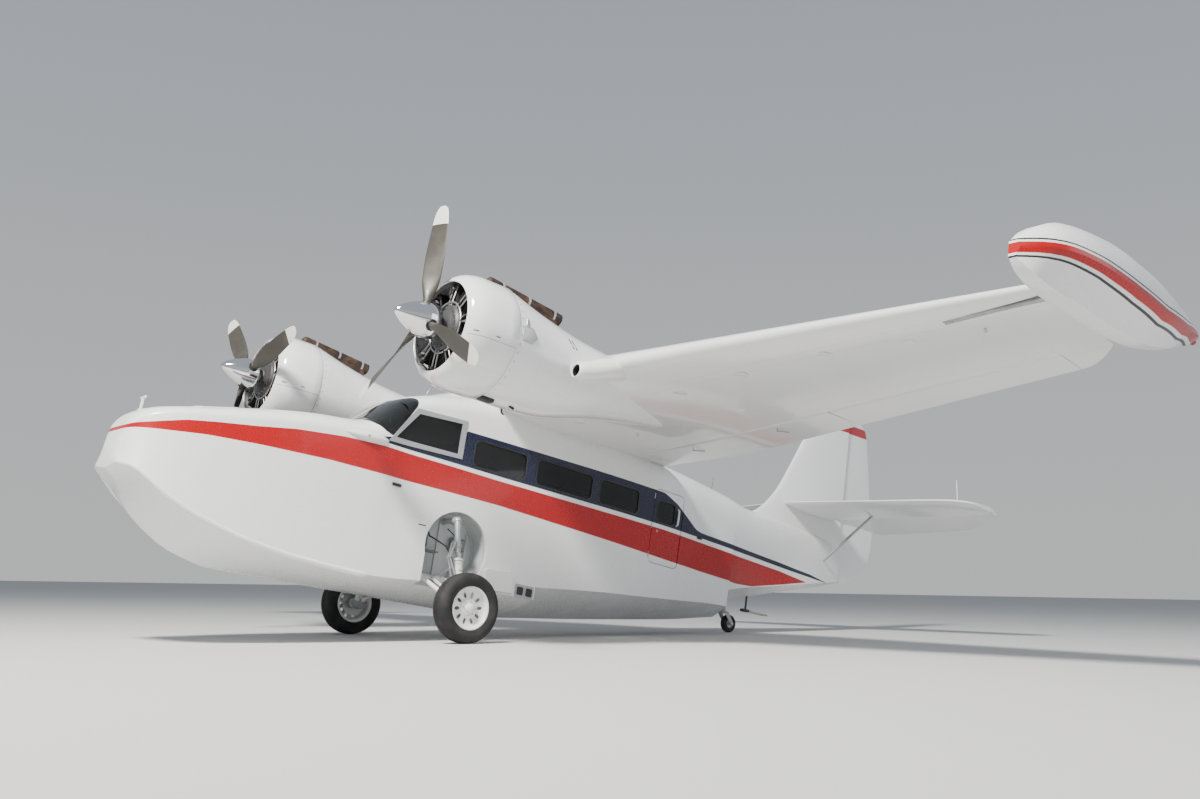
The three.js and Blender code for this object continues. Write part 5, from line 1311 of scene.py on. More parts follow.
# %% [markdown]
# ### Fittings on a nacelle
# The outboard side carries a small air scoop, two slits and fasteners. A drain and a vent hang
# below, and the exhaust runs along the top in a scorched steel duct.
# %% Scoops, slits, drains and exhaust
def on_nacelle(y, z, out=0.0):
    """A point on the outboard side of the port nacelle, seen from its hub."""
    half, top, low = nacelle_line(y)
    middle, rise = (top + low) / 2, (top - low) / 2
    share = min(max((z - middle) / rise, -0.98), 0.98)
    return (half * math.sqrt(1 - share ** 2) + out, y, z - ENGINE_Z)


def side_plate(outline, rise, edge=0.004):
    cy, cz = np.mean([p[0] for p in outline]), np.mean([p[1] for p in outline])
    rings = []
    for out, pull in ((-0.012, 1.0), (rise - 0.002, 1.0), (rise, 1 - edge / 0.05)):
        rings.append([on_nacelle(cy + (y - cy) * pull, cz + (z - cz) * pull, out)
                      for y, z in outline])
    return welded(*skin(rings))


def about(outline, scale):
    """The same outline, larger or smaller about its middle."""
    cy, cz = np.mean([p[0] for p in outline]), np.mean([p[1] for p in outline])
    return [(cy + (y - cy) * scale, cz + (z - cz) * scale) for y, z in outline]


SCOOP = [(2.765, 3.405), (2.885, 3.398), (2.945, 3.478), (2.885, 3.560), (2.765, 3.552)]
scoop_frame = side_plate(SCOOP, 0.012)
scoop_mouth = side_plate(about(SCOOP, 0.86), 0.0135)
scoop_tab = side_plate([(2.790, 3.572), (2.835, 3.572), (2.828, 3.640), (2.797, 3.640)], 0.008)
# Each slit is a thin black plate on the nacelle: painted shade for the dark inside of the slit.
SLIT = [(3.405, 3.640), (3.420, 3.646), (3.476, 3.549), (3.461, 3.543)]
slits = joined(side_plate(SLIT, 0.002), side_plate([(y + 0.046, z) for y, z in SLIT], 0.002))
nacelle_low = float(nacelle_line(2.82)[2]) - ENGINE_Z
drain = joined(bar([(0.09, 3.05, nacelle_low + 0.04), (0.09, 3.07, nacelle_low + 0.002),
                    (0.09, 3.12, nacelle_low - 0.010)], 0.013, 12),
               bar([(-0.10, 3.10, nacelle_low + 0.04), (-0.10, 3.11, nacelle_low - 0.03),
                    (-0.10, 3.14, nacelle_low - 0.045)], 0.010, 12))
belly_vent = block(0.02, 0.12, 2.70, 2.865, nacelle_low - 0.024, nacelle_low + 0.030, 0.012)


def open_pipe(start, end, first, last, wall=0.004, depth=0.22, sides=28):
    start, end = Vector(start), Vector(end)
    along = (end - start).normalized()
    side = along.orthogonal().normalized()
    up = along.cross(side)

    def ring(at, r):
        return [tuple(at + float(r) * (math.cos(a) * side + math.sin(a) * up))
                for a in np.linspace(0, 2 * math.pi, sides, endpoint=False)]

    shares = np.linspace(0, 1, 12).tolist()
    rings = [ring(start, first * 0.5), ring(start + along * 0.02, first * 0.9)]
    rings += [ring(start + along * 0.04 + (end - start - along * 0.04) * t,
                   first + (last - first) * t)
              for t in shares]
    rings += [ring(end, last - wall), ring(end - along * depth, last - wall)]
    return welded(*skin(rings))


DUCT_FALL = 0.1135


def duct_z(y):
    return 4.074 - ENGINE_Z - (y - 2.60) * DUCT_FALL


duct = open_pipe((0, 2.60, duct_z(2.60)), (0, 3.56, duct_z(3.56)), 0.062, 0.072)
straps = joined(*[bar([(0, y - 0.012, duct_z(y - 0.012)), (0, y + 0.012, duct_z(y + 0.012))],
                      0.0655 + 0.0104 * (y - 2.6), 28) for y in (2.78, 3.12, 3.46)])
saddle = skin([[(-0.085, y, foot), (0.085, y, foot), (0.052, y, duct_z(y)), (-0.052, y, duct_z(y))]
               for y, foot in ((y, float(nacelle_line(y)[1]) - ENGINE_Z - 0.035)
                               for y in np.linspace(2.72, 3.50, 9))])
fastener = turned([(0.0, 0.0078), (-0.002, 0.0068), (-0.0026, 0.0)], (0, 0, 0.5778), "z", 10)
fastener = ([(p[0], p[1], 1.1556 - p[2]) for p in fastener[0]], [f[::-1] for f in fastener[1]])
for side, label, flip in SIDES:
    hub = (side * ENGINE_X, 0, ENGINE_Z)
    seat_piece(make_piece("cowl_ring_" + label, *set_at(cowl_ring, *hub), cowl_paint, 60),
               stands_for=("cowl_" + label,))
    seat_piece(make_piece("nacelle_skin_" + label, *set_at(nacelle_shape, *hub), cowl_paint),
               stands_for=("nacelle_" + label,))
    for name, shape, finish in (
            ("scoop_frame", scoop_frame, frame_grey), ("scoop_mouth", scoop_mouth, well_paint),
            ("scoop_tab", scoop_tab, frame_grey), ("cowl_slits", slits, engine_black_and_hole_shade),
            ("drain_pipes", drain, burnt_steel), ("belly_vent", belly_vent, engine_black_and_hole_shade)):
        seat_piece(make_piece(f"{name}_{label}", *set_at(flip(shape), *hub), finish))
    seat_piece(make_piece("exhaust_pipe_" + label, *set_at(duct, *hub), burnt_steel),
               stands_for=("exhaust_duct_" + label,))
    seat_piece(make_piece("exhaust_straps_" + label, *set_at(straps, *hub), gear_grey))
    seat_piece(make_piece("exhaust_saddle_" + label, *set_at(welded(*saddle), *hub), burnt_steel))
    seat_piece(repeated("nacelle_fasteners_" + label, fastener, bare_metal,
                        (side * ENGINE_X, 2.745, ENGINE_Z), ring=(40, (0, math.pi / 20, 0))))
print("scoop stands at", tuple(round(v, 3) for v in on_nacelle(2.77, 3.466)))

# %% [markdown]
# ### Propellers
# Three twisted blades leave a polished spinner through dark cuffs. A blade is a round shank that
# flattens, widens and untwists on its way to a rounded white tip.
# %% Spinner and blades
BLADE_ROWS = [(0.120, 0.086, 0.078, 60), (0.190, 0.088, 0.076, 56), (0.260, 0.118, 0.060, 50),
              (0.430, 0.190, 0.034, 38), (0.700, 0.215, 0.022, 28), (0.950, 0.200, 0.015, 22),
              (1.100, 0.172, 0.011, 18.6), (1.165, 0.142, 0.009, 17.6), (1.200, 0.104, 0.007, 17.1),
              (1.216, 0.062, 0.006, 17), (1.220, 0.024, 0.005, 17)]
blade_line = ease(BLADE_ROWS)
FIRST_BLADE = {"port": math.radians(-2.5), "starboard": math.radians(-47.9)}


def blade_ring(radius, sides=28):
    chord, thick, pitch = blade_line(radius)
    lean, ring = math.radians(pitch), []
    for a in np.linspace(0, 2 * math.pi, sides, endpoint=False):
        along = chord / 2 * math.cos(a)
        flat = min(max((radius - 0.25) / 0.2, 0), 1)
        out = thick / 2 * math.sin(a) * (1 + 0.25 * flat * math.cos(a)) * (
            1 - 0.45 * flat * (math.sin(a) < 0))
        ring.append((along * math.cos(lean) - out * math.sin(lean),
                     PROP_STATION + along * math.sin(lean) + out * math.cos(lean), radius))
    return ring


blade_shape = welded(*skin([blade_ring(r) for r in list(np.linspace(0.12, 1.1, 30)) +
                            [1.13, 1.15, 1.165, 1.18, 1.19, 1.2, 1.208, 1.213, 1.217, 1.22]]))
spinner_line = ease([(0, 0), (0.1265, 0.030), (0.2757, 0.078), (0.4195, 0.132), (0.5621, 0.175),
                     (0.6565, 0.179)])
nose_profile = [(1.644 + s * s, float(spinner_line(s)[0])) for s in np.linspace(0, 0.560, 26)]
nose_profile += [(1.9585, 0.1735), (1.962, 0.1735), (1.9635, 0.1762), (2.02, 0.178),
                 (2.072, 0.1785), (2.075, 0.175), (2.075, 0.0)]
spinner_shape = turned(nose_profile, (0, 0, 0), "y", 80)
shaft = bar([(0, 2.070, 0), (0, 2.1485, 0)], 0.060, 32)
cuff = bar([(0, PROP_STATION, 0.125), (0, PROP_STATION, 0.1725), (0, PROP_STATION, 0.1835)],
           [0.060, 0.060, 0.054], 28)
for side, label, flip in SIDES:
    hub, body = (side * ENGINE_X, 0, ENGINE_Z), "propeller_" + label
    turn = Matrix.Rotation(FIRST_BLADE[label], 4, "Y")
    seat_piece(make_piece("spinner_" + label, *set_at(spinner_shape, *hub), polished_metal, 25),
               body, ("propeller_" + label,))
    third = (3, (0, 2 * math.pi / 3, 0))
    seat_piece(repeated("blades_" + label, blade_shape, blade_grey, hub, ring=third, turn=turn),
               body)
    seat_piece(repeated("blade_cuffs_" + label, cuff, engine_black_and_hole_shade, hub, ring=third, turn=turn),
               body)
    seat_piece(make_piece("propeller_shaft_" + label, *set_at(shaft, *hub), bare_metal), body)
print("propeller diameter:", 2 * BLADE_ROWS[-1][0], "m")
# %% [markdown]
# ## Wheels and tyres
# A tyre is a turned ring with a rounded shoulder and three grooves. The wheel inside it is a
# dished disc with ten slots, open barrel behind, and a small cap over the axle nut.
# %% Main wheels
WHEEL_CENTRE = Vector((1.231, 3.560, 0.910))
TYRE_RADIUS = (LEVEL @ WHEEL_CENTRE).z - 0.0006
tread = [(0.0, 0.0), (0.0045, -0.0055), (0.009, -0.0055), (0.0105, 0.0), (0.027, -0.0004),
         (0.0285, -0.0062), (0.034, -0.0062), (0.0355, -0.0008), (0.052, -0.0020), (0.068, -0.0050),
         (0.084, -0.0115), (0.098, -0.0225), (0.108, -0.0370), (0.1145, -0.0540), (0.1168, -0.0720),
         (0.1150, -0.0900), (0.1090, -0.1080), (0.1020, -0.1220), (0.0955, -0.1330),
         (0.0940, -0.1365), (0.0900, -0.1375), (0.0885, -0.1580)]
half_tyre = [(x, TYRE_RADIUS + drop) for x, drop in tread]
tyre_profile = half_tyre + [(-x, r) for x, r in reversed(half_tyre[1:])]
tyre_profile.append(tyre_profile[0])
rim_profile = [(-0.096, 0.214), (-0.096, 0.222), (-0.093, 0.2262), (-0.0895, 0.2250),
               (-0.088, 0.2052),
               (0.088, 0.2052), (0.0895, 0.2250), (0.093, 0.2262), (0.096, 0.222), (0.096, 0.214),
               (0.086, 0.2035), (0.072, 0.1985), (0.056, 0.1970), (0.050, 0.190), (0.043, 0.172),
               (0.041, 0.110), (0.047, 0.096), (0.058, 0.084), (0.063, 0.070), (0.063, 0.0352),
               (-0.070, 0.0352), (-0.070, 0.056), (-0.062, 0.060), (0.026, 0.066), (0.033, 0.100),
               (0.035, 0.172), (0.036, 0.194), (-0.084, 0.1975), (-0.096, 0.214)]
cap_profile = [(0.062, 0.052), (0.066, 0.050), (0.080, 0.046), (0.090, 0.034), (0.0935, 0.016),
               (0.094, 0.0), (0.062, 0.0), (0.062, 0.052)]


def slot_ring(centre, count=10, reach=(0.108, 0.170), width=0.0175):
    """Rounded slots that point outward, as one cutter."""
    shapes, middle = [], (reach[0] + reach[1]) / 2
    for i in range(count):
        turn, outline = 2 * math.pi * (i + 0.25) / count, []
        for a in np.linspace(0, 2 * math.pi, 20, endpoint=False):
            out = middle + (reach[1] - reach[0]) / 2 * math.copysign(abs(math.cos(a)) ** 0.7,
                                                                     math.cos(a))
            wide = width * math.copysign(abs(math.sin(a)) ** 0.8, math.sin(a))
            outline.append((centre[1] + out * math.cos(turn) - wide * math.sin(turn),
                            centre[2] + out * math.sin(turn) + wide * math.cos(turn)))
        shapes.append(prism(outline, *sorted((centre[0] + 0.01, centre[0] + 0.075))))
    return joined(*shapes)


wheel_nut = turned([(0.062, 0.0062), (0.071, 0.0062), (0.073, 0.004), (0.073, 0.0)], (0, 0, 0.074),
                   "x", 6)
tread_shape = turned(tyre_profile, tuple(WHEEL_CENTRE), "x", 112)
rim_shape = turned(rim_profile, tuple(WHEEL_CENTRE), "x", 96)
slot_shape, cap_shape = slot_ring(WHEEL_CENTRE), turned(cap_profile, tuple(WHEEL_CENTRE), "x", 40)
brake_disc = turned([(-0.060, 0.062), (-0.060, 0.150), (-0.053, 0.150), (-0.053, 0.062),
                     (-0.060, 0.062)], tuple(WHEEL_CENTRE), "x", 64)
for side, label, flip in SIDES:
    body, centre = "wheel_" + label, (side * WHEEL_CENTRE.x, WHEEL_CENTRE.y, WHEEL_CENTRE.z)
    seat_piece(make_piece("tyre_ring_" + label, *flip(tread_shape), tyre_rubber), body,
               ("tyre_" + label,))
    disc = carve(make_piece("wheel_disc_" + label, *flip(rim_shape), gear_white),
                 ("DIFFERENCE", flip(slot_shape)))
    seat_piece(disc, body, ("wheel_" + label,))
    seat_piece(make_piece("wheel_cap_" + label, *flip(cap_shape), gear_white), body)
    seat_piece(make_piece("brake_disc_" + label, *flip(brake_disc), bare_metal), body)
    seat_piece(repeated("wheel_nuts_" + label, flip(wheel_nut), bare_metal, centre,
                        ring=(8, (math.pi / 4, 0, 0))), body)
print("tyre radius", round(TYRE_RADIUS, 4), "m")

# %% [markdown]
# ## Main legs
# Each leg hangs from a tube across the well. A grey upper tube slides in a white lower cylinder,
# a pair of links keeps them from turning, and a fork of white arms carries the load inboard.
# %% Leg pieces
def along(start, end, *stops):
    """A round bar from start to end whose radius follows (share, radius) stops."""
    start, end = Vector(start), Vector(end)
    return bar([start + (end - start) * share for share, _ in stops], [r for _, r in stops], 28)


LEG_TOP, LEG_MIDDLE = (0.775, 3.560, 1.870), (0.930, 3.560, 1.400)
CYLINDER_TOP, CYLINDER_FOOT = (0.922, 3.560, 1.425), (1.071, 3.560, 0.950)
upper_tube = along(LEG_TOP, LEG_MIDDLE, (0, 0.036), (0.02, 0.040), (0.06, 0.040), (0.07, 0.034),
                   (0.60, 0.034), (0.61, 0.041), (0.68, 0.041), (0.69, 0.030), (0.80, 0.030))
piston = along(LEG_TOP, LEG_MIDDLE, (0.68, 0.0265), (1.03, 0.0265))
cylinder = along(CYLINDER_TOP, CYLINDER_FOOT, (0, 0.040), (0.005, 0.056), (0.055, 0.058),
                 (0.060, 0.049),
                 (0.09, 0.048), (0.095, 0.053), (0.125, 0.053), (0.13, 0.048), (0.62, 0.048),
                 (0.625, 0.054), (0.66, 0.054), (0.665, 0.048), (0.90, 0.050), (1.0, 0.046))
trunnion = along((0.482, 3.560, 1.850), (0.800, 3.560, 1.850), (0, 0.040), (0.12, 0.040),
                 (0.13, 0.033), (0.80, 0.033), (0.82, 0.046), (0.985, 0.046), (1, 0.040))
hub_casting = turned([(-0.215, 0.0), (-0.215, 0.058), (-0.207, 0.066), (-0.185, 0.070),
                      (-0.135, 0.070),
                      (-0.125, 0.058), (-0.098, 0.048), (-0.098, 0.0)], tuple(WHEEL_CENTRE), "x",
                      36)
stub = along((1.100, 3.560, 0.910), (1.2705, 3.560, 0.910), (0, 0.034), (1, 0.034))
caliper = block(1.138, 1.196, 3.640, 3.730, 0.862, 0.962, 0.012)
caliper_arm = block(1.112, 1.139, 3.590, 3.720, 0.880, 0.944, 0.008)
lower_arms = []
for step in (-1, 1):
    inner, outer_end = (0.600, 3.560 + step * 0.250, 1.215), (1.050, 3.560 + step * 0.026, 0.944)
    lower_arms.append(along(inner, outer_end, (0, 0.018), (0.01, 0.030), (0.07, 0.030),
                            (0.09, 0.022),
                            (0.5, 0.026), (0.90, 0.023), (0.92, 0.030), (0.99, 0.030), (1, 0.02)))
    inner = (0.600, 3.560 + step * 0.100, 1.215)
    lower_arms.append(along(inner, (1.040, 3.560 + step * 0.012, 1.010), (0, 0.016), (0.05, 0.019),
                            (0.95, 0.019), (1, 0.016)))
pivot_bar = along((0.600, 3.270, 1.215), (0.600, 3.850, 1.215), (0, 0.026), (0.01, 0.030),
                  (0.10, 0.030),
                  (0.11, 0.024), (0.40, 0.024), (0.41, 0.032), (0.59, 0.032), (0.60, 0.024),
                  (0.89, 0.024), (0.90, 0.030), (0.99, 0.030), (1, 0.026))
brace = along((0.605, 3.560, 1.235), (0.915, 3.560, 1.400), (0, 0.020), (0.08, 0.020),
              (0.10, 0.015), (0.90, 0.015), (0.92, 0.022), (1, 0.022))


def link_arm(lug, apex, wide, narrow):
    lug, apex = Vector(lug), Vector(apex)
    across = Vector((0.955, 0, 0.296))
    pins = along(lug - across * wide, lug + across * wide, (0, 0.011), (0.02, 0.014), (0.98, 0.014),
                 (1, 0.011))
    legs = [bar([lug + across * wide * 0.8 * s, apex + across * narrow * s], [0.011, 0.009], 10)
            for s in (1, -1)]
    return joined(pins, *legs, along(lug + (apex - lug) * 0.45 - across * (wide + narrow) * 0.38,
                                     lug + (apex - lug) * 0.45 + across * (wide + narrow) * 0.38,
                                     (0, 0.007), (1, 0.007)))


links = joined(link_arm((0.862, 3.512, 1.600), (0.965, 3.415, 1.425), 0.045, 0.016),
               link_arm((0.985, 3.502, 1.225), (0.965, 3.415, 1.425), 0.045, 0.016),
               along((0.935, 3.415, 1.416), (0.995, 3.415, 1.434), (0, 0.013), (1, 0.013)))
brake_hose = bar([(0.560, 3.350, 1.700), (0.640, 3.330, 1.640), (0.760, 3.345, 1.600),
                  (0.860, 3.420, 1.540), (0.905, 3.480, 1.440), (0.955, 3.500, 1.330),
                  (1.020, 3.520, 1.150), (1.060, 3.590, 1.020), (1.120, 3.660, 0.975)], 0.0085, 12)
side_hose = bar([(0.520, 3.620, 1.780), (0.660, 3.640, 1.700), (0.780, 3.625, 1.560),
                 (0.870, 3.612, 1.420), (0.960, 3.610, 1.200), (1.040, 3.625, 1.010),
                 (1.110, 3.650, 0.955)], 0.0065, 10)
clamps = joined(*[along(Vector(CYLINDER_TOP).lerp(Vector(CYLINDER_FOOT), s - 0.008),
                        Vector(CYLINDER_TOP).lerp(Vector(CYLINDER_FOOT), s + 0.008),
                        (0, 0.0515), (1, 0.0515)) for s in (0.28, 0.50, 0.80)])
LEG_PIECES = (("leg_cylinder", cylinder, gear_white), ("leg_tube", upper_tube, gear_grey),
              ("leg_piston", piston, polished_metal), ("trunnion", trunnion, gear_grey),
              ("hub_casting", hub_casting, gear_grey), ("axle_stub", stub, bare_metal),
              ("brake_caliper", joined(caliper, caliper_arm), gear_grey),
              ("lower_arms", joined(*lower_arms), gear_white), ("pivot_bar", pivot_bar, gear_white),
              ("leg_brace", brace, gear_grey), ("leg_links", links, gear_grey),
              ("brake_hoses", joined(brake_hose, side_hose), black_hose),
              ("hose_clamps", clamps, bare_metal))
for side, label, flip in SIDES:
    for name, shape, finish in LEG_PIECES:
        piece = make_piece(f"{name}_{label}", *flip(shape), finish)
        seat_piece(piece, stands_for=("main_leg_" + label,) if name == "leg_cylinder" else ())
print("pieces of one leg:", len(LEG_PIECES))

# %% [markdown]
# ### Inside the wells
# A well is lined with folded sheet: ribs round its wall, a dark shelf, and the hoses of the leg.
# %% Ribs and shelf in the wells
well_rim = turned([(0.0, WELL_RADIUS - 0.018), (0.0, WELL_RADIUS - 0.002),
                   (0.02, WELL_RADIUS - 0.002),
                   (0.02, WELL_RADIUS - 0.018), (0.0, WELL_RADIUS - 0.018)],
                  (WELL_WALL + 0.001, WELL_STATION, WELL_HEIGHT), "x", 72)
radial_ribs = joined(*[block(WELL_WALL + 0.001, WELL_WALL + 0.022, WELL_STATION + y - 0.016,
                             WELL_STATION + y + 0.016, WELL_HEIGHT - reach, WELL_HEIGHT + reach,
                             0.006)
                       for y, reach in ((-0.26, 0.26), (-0.08, 0.36), (0.14, 0.34), (0.29, 0.23))])
shelf = block(WELL_WALL + 0.004, 0.640, 3.300, 3.480, 1.480, 1.496, 0.004)
drum_box = block(WELL_WALL + 0.002, 0.560, 3.680, 3.860, 1.560, 1.700, 0.012)
for side, label, flip in SIDES:
    seat_piece(make_piece("well_ribs_" + label, *flip(joined(well_rim, radial_ribs)), well_paint))
    seat_piece(make_piece("well_shelf_" + label, *flip(joined(shelf, drum_box)), trim_grey))
print("well radius:", WELL_RADIUS)

# %% [markdown]
# ## Tail wheel
# The tail wheel castors on a post that stands plumb when the boat is parked, so its pieces are
# drawn plumb about the wheel and leant over with the rest.
# %% Tail wheel, fork, post and pylon
TAIL_CENTRE = Vector((0.0, 8.745, 1.533))
TAIL_RADIUS = (LEVEL @ TAIL_CENTRE).z - 0.0006
POST_STATION, FORK_TOP, FORK_HALF = 8.645, 1.533 + 0.190, 0.060
lean = Matrix.Translation(TAIL_CENTRE) @ Matrix.Rotation(PARKED_ANGLE, 4, "X") @ Matrix.Translation(
    -TAIL_CENTRE)


def leant(shape):
    return [tuple(lean @ Vector(p)) for p in shape[0]], shape[1]


tail_half = [(0.0, 0.0), (0.014, -0.0006), (0.030, -0.0055), (0.041, -0.0145), (0.0465, -0.0290),
             (0.0460, -0.0430), (0.0405, -0.0560), (0.0370, -0.0600)]
tail_half = [(x, TAIL_RADIUS + drop) for x, drop in tail_half]
tail_tyre = tail_half + [(-x, r) for x, r in reversed(tail_half[1:])]
tail_tyre.append(tail_tyre[0])
tail_disc = [(0.036, 0.0640), (0.0375, 0.0600), (0.030, 0.0540), (0.020, 0.0500), (0.018, 0.0300),
             (0.030, 0.0240), (0.037, 0.0200), (0.037, 0.0130), (-0.037, 0.0130), (-0.037, 0.0200),
             (-0.030, 0.0240), (-0.018, 0.0300), (-0.020, 0.0500), (-0.030, 0.0540),
             (-0.0375, 0.0600), (-0.036, 0.0640), (0.036, 0.0640)]
seat_piece(make_piece("tail_tyre", *turned(tail_tyre, tuple(TAIL_CENTRE), "x", 72), tyre_rubber),
           "tail_wheel", ("tail_wheel",))
seat_piece(make_piece("tail_wheel_disc", *turned(tail_disc, tuple(TAIL_CENTRE), "x", 56),
                      bare_metal),
           "tail_wheel")


def cheek(x0, x1):
    outline = [(POST_STATION - 0.036, FORK_TOP - 0.026), (POST_STATION + 0.036, FORK_TOP - 0.026)]
    outline += [(TAIL_CENTRE.y + 0.027 * math.cos(a), TAIL_CENTRE.z + 0.027 * math.sin(a))
                for a in np.radians(np.linspace(35, -150, 12))]
    return prism(outline, x0, x1)


fork = joined(along((0, POST_STATION, FORK_TOP - 0.042), (0, POST_STATION, FORK_TOP), (0, 0.036),
                    (0.08, 0.042), (0.92, 0.042), (1, 0.038)),
              block(-FORK_HALF - 0.013, FORK_HALF + 0.013, POST_STATION - 0.037,
                    POST_STATION + 0.037, FORK_TOP - 0.050, FORK_TOP - 0.020, 0.006),
              cheek(FORK_HALF, FORK_HALF + 0.012), cheek(-FORK_HALF - 0.012, -FORK_HALF))
axle = joined(along((-0.078, *TAIL_CENTRE.yz), (0.078, *TAIL_CENTRE.yz), (0, 0.010), (0.02, 0.0125),
                    (0.98, 0.0125), (1, 0.010)),
              *[along((s * 0.072, *TAIL_CENTRE.yz), (s * 0.082, *TAIL_CENTRE.yz), (0, 0.019),
                      (1, 0.019)) for s in (1, -1)])
seat_piece(make_piece("tail_fork_arms", *leant(fork), gear_grey), "tail_fork", ("tail_fork",))
seat_piece(make_piece("tail_axle", *leant(axle), bare_metal), "tail_fork")
post = along((0, POST_STATION, FORK_TOP + 0.001), (0, POST_STATION, FORK_TOP + 0.26), (0, 0.034),
             (0.02, 0.038), (0.12, 0.038), (0.13, 0.032), (0.55, 0.032), (0.56, 0.037), (1, 0.037))
seat_piece(make_piece("tail_post", *leant(post), gear_grey), stands_for=("tail_leg",))
PYLON_STATION, PYLON_FOOT = 9.060, 1.745
pylon = joined(along((0, PYLON_STATION, PYLON_FOOT + 0.02), (0, PYLON_STATION, 2.00), (0, 0.020),
                     (0.06, 0.020), (0.08, 0.015), (0.92, 0.015), (0.94, 0.026), (1, 0.026)),
               block(-0.045, 0.045, PYLON_STATION - 0.070, PYLON_STATION + 0.050, PYLON_FOOT,
                     PYLON_FOOT + 0.040, 0.008))
trail_bars = joined(*[along((x, PYLON_STATION, PYLON_FOOT + 0.02), (x, PYLON_STATION + 0.44,
                                                                   PYLON_FOOT + 0.02),
                            (0, 0.011), (0.95, 0.011), (0.97, 0.0085), (1, 0.007))
                      for x in (-0.032, 0.032)])
seat_piece(make_piece("pylon_block", *pylon, engine_grey), stands_for=("tail_pylon",))
seat_piece(make_piece("pylon_bars", *trail_bars, bare_metal))
print("tail wheel radius:", round(TAIL_RADIUS, 4))
# %% [markdown]
# ## Fittings on the hull
# Frames, plates and lips lie on the curved skin, so each is drawn as an outline of stations and
# heights and then laid on the hull by asking how wide the hull is there.
# %% Laying an outline on the hull
def run_of(station):
    return 0 if station < MAIN_STEP else 1 if station < STEP_CORNER else 2


def hull_x(station, height):
    ring = half_section(station, run_of(station), bottoms=4, sides=24, tops=28)[4:]
    heights, widths = [p[2] for p in ring], [p[0] for p in ring]
    return float(np.interp(height, heights, widths))


def deck_z(station, x):
    ring = half_section(station, run_of(station), bottoms=4, sides=8, tops=40)[12:]
    return float(np.interp(abs(x), [p[0] for p in ring[::-1]], [p[2] for p in ring[::-1]]))


def laid(outline, out):
    return [(hull_x(y, z) + out, y, z) for y, z in outline]


def shrunk(outline, by):
    cy, cz = np.mean([p[0] for p in outline]), np.mean([p[1] for p in outline])
    spread = max(math.dist(p, (cy, cz)) for p in outline)
    return [(cy + (y - cy) * (1 - by / spread), cz + (z - cz) * (1 - by / spread))
            for y, z in outline]


def hull_plate(outline, rise, edge=0.003, sink=0.006):
    rings = [laid(outline, -sink), laid(outline, rise * 0.5), laid(shrunk(outline, edge), rise)]
    rings += [laid(shrunk(outline, max(math.dist(outline[0], outline[len(outline) // 2]),
                                       0.01) * s), rise)
              for s in (0.16, 0.32)]
    return welded(*skin(rings))


def frame_strip(inner, outer, rise, sink=0.004):
    rings = [laid(inner, -sink), laid(inner, rise), laid(outer, rise), laid(outer, -sink)]
    return welded(*skin(rings + rings[:1], ends=False))


def fine(corners, gap=0.05):
    """More points along each side of an outline, so that it follows the skin."""
    points = []
    for a, b in zip(corners, corners[1:] + corners[:1]):
        count = max(int(math.dist(a, b) / gap), 1)
        points += [(a[0] + (b[0] - a[0]) * t / count, a[1] + (b[1] - a[1]) * t / count)
                   for t in range(count)]
    return points


def even(corners, per_side=10):
    """The same, with as many points on each side however long it is."""
    points = []
    for a, b in zip(corners, corners[1:] + corners[:1]):
        points += [(a[0] + (b[0] - a[0]) * t / per_side, a[1] + (b[1] - a[1]) * t / per_side)
                   for t in range(per_side)]
    return points


def grown(y0, y1, z0, z1, radius, by):
    return even(rounded(y0 - by, y1 + by, z0 - by, z1 + by, radius + by), 3)


print("hull half width at the first window:", round(hull_x(4.0, 2.6), 3))

# %% [markdown]
# ### Window and door frames
# Cabin panes sit in thin dark rubber. The cockpit's sliding pane has a broad grey metal frame,
# and a grey bar runs across behind the windscreen.
# %% Frames
frame_shapes = [frame_strip(grown(*w, WINDOW_FOOT, WINDOW_HEAD, 0.06, -0.001),
                            grown(*w, WINDOW_FOOT, WINDOW_HEAD, 0.06, 0.013), 0.0035)
                            for w in WINDOWS]
door_frame = frame_strip(grown(*DOOR_PANE, 0.055, -0.001), grown(*DOOR_PANE, 0.055, 0.012), 0.0035)
cockpit_frame = frame_strip(even([(2.646, 2.565), (2.892, 2.890), (3.435, 2.920), (3.435, 2.574)]),
                            even([(2.565, 2.505), (2.855, 2.945), (3.498, 2.966), (3.498, 2.530)]),
                            0.009)
for side, label, flip in SIDES:
    rubbers = frame_shapes if side > 0 else frame_shapes + [door_frame]
    seat_piece(make_piece("window_rubber_" + label, *flip(joined(*rubbers)), panel_black))
    seat_piece(make_piece("cockpit_frame_" + label, *flip(cockpit_frame), frame_grey))
seat_piece(make_piece("door_window_rubber", *door_frame, panel_black), "cabin_door")
screen_bar = bar([screen_point(x, 0.330, -0.035) for x in np.linspace(-0.52, 0.52, 9)], 0.0085, 12)
seat_piece(make_piece("screen_bar", *screen_bar, frame_grey))
print("frames laid:", len(frame_shapes) * 2 + 4)

# %% [markdown]
# ### Blisters, rail and plates
# A smooth blister stands beside the foot of the windscreen on each side. A spray rail follows the
# chine from the bow and ends ahead of the wheel. Behind the well there is a white fairing and a
# plate with two square air holes.
# %% Blisters, spray rails and plates
def blister():
    """A long tear-shaped bump, sunk by half into the shoulder, pointed ahead and blunt behind."""
    rings = []
    for t in np.linspace(0.004, 0.996, 40):
        y = 2.020 + 0.560 * t
        swell = max(math.sin(math.pi * t ** 1.45), 0.0) ** 0.50
        x, z = hull_x(y, 2.478) - 0.014, 2.478 + 0.012 * t
        rings.append([(x + 0.060 * swell * math.cos(a), y, z + 0.057 * swell * math.sin(a))
                      for a in np.linspace(0, 2 * math.pi, 32, endpoint=False)])
    return welded(*skin(rings))


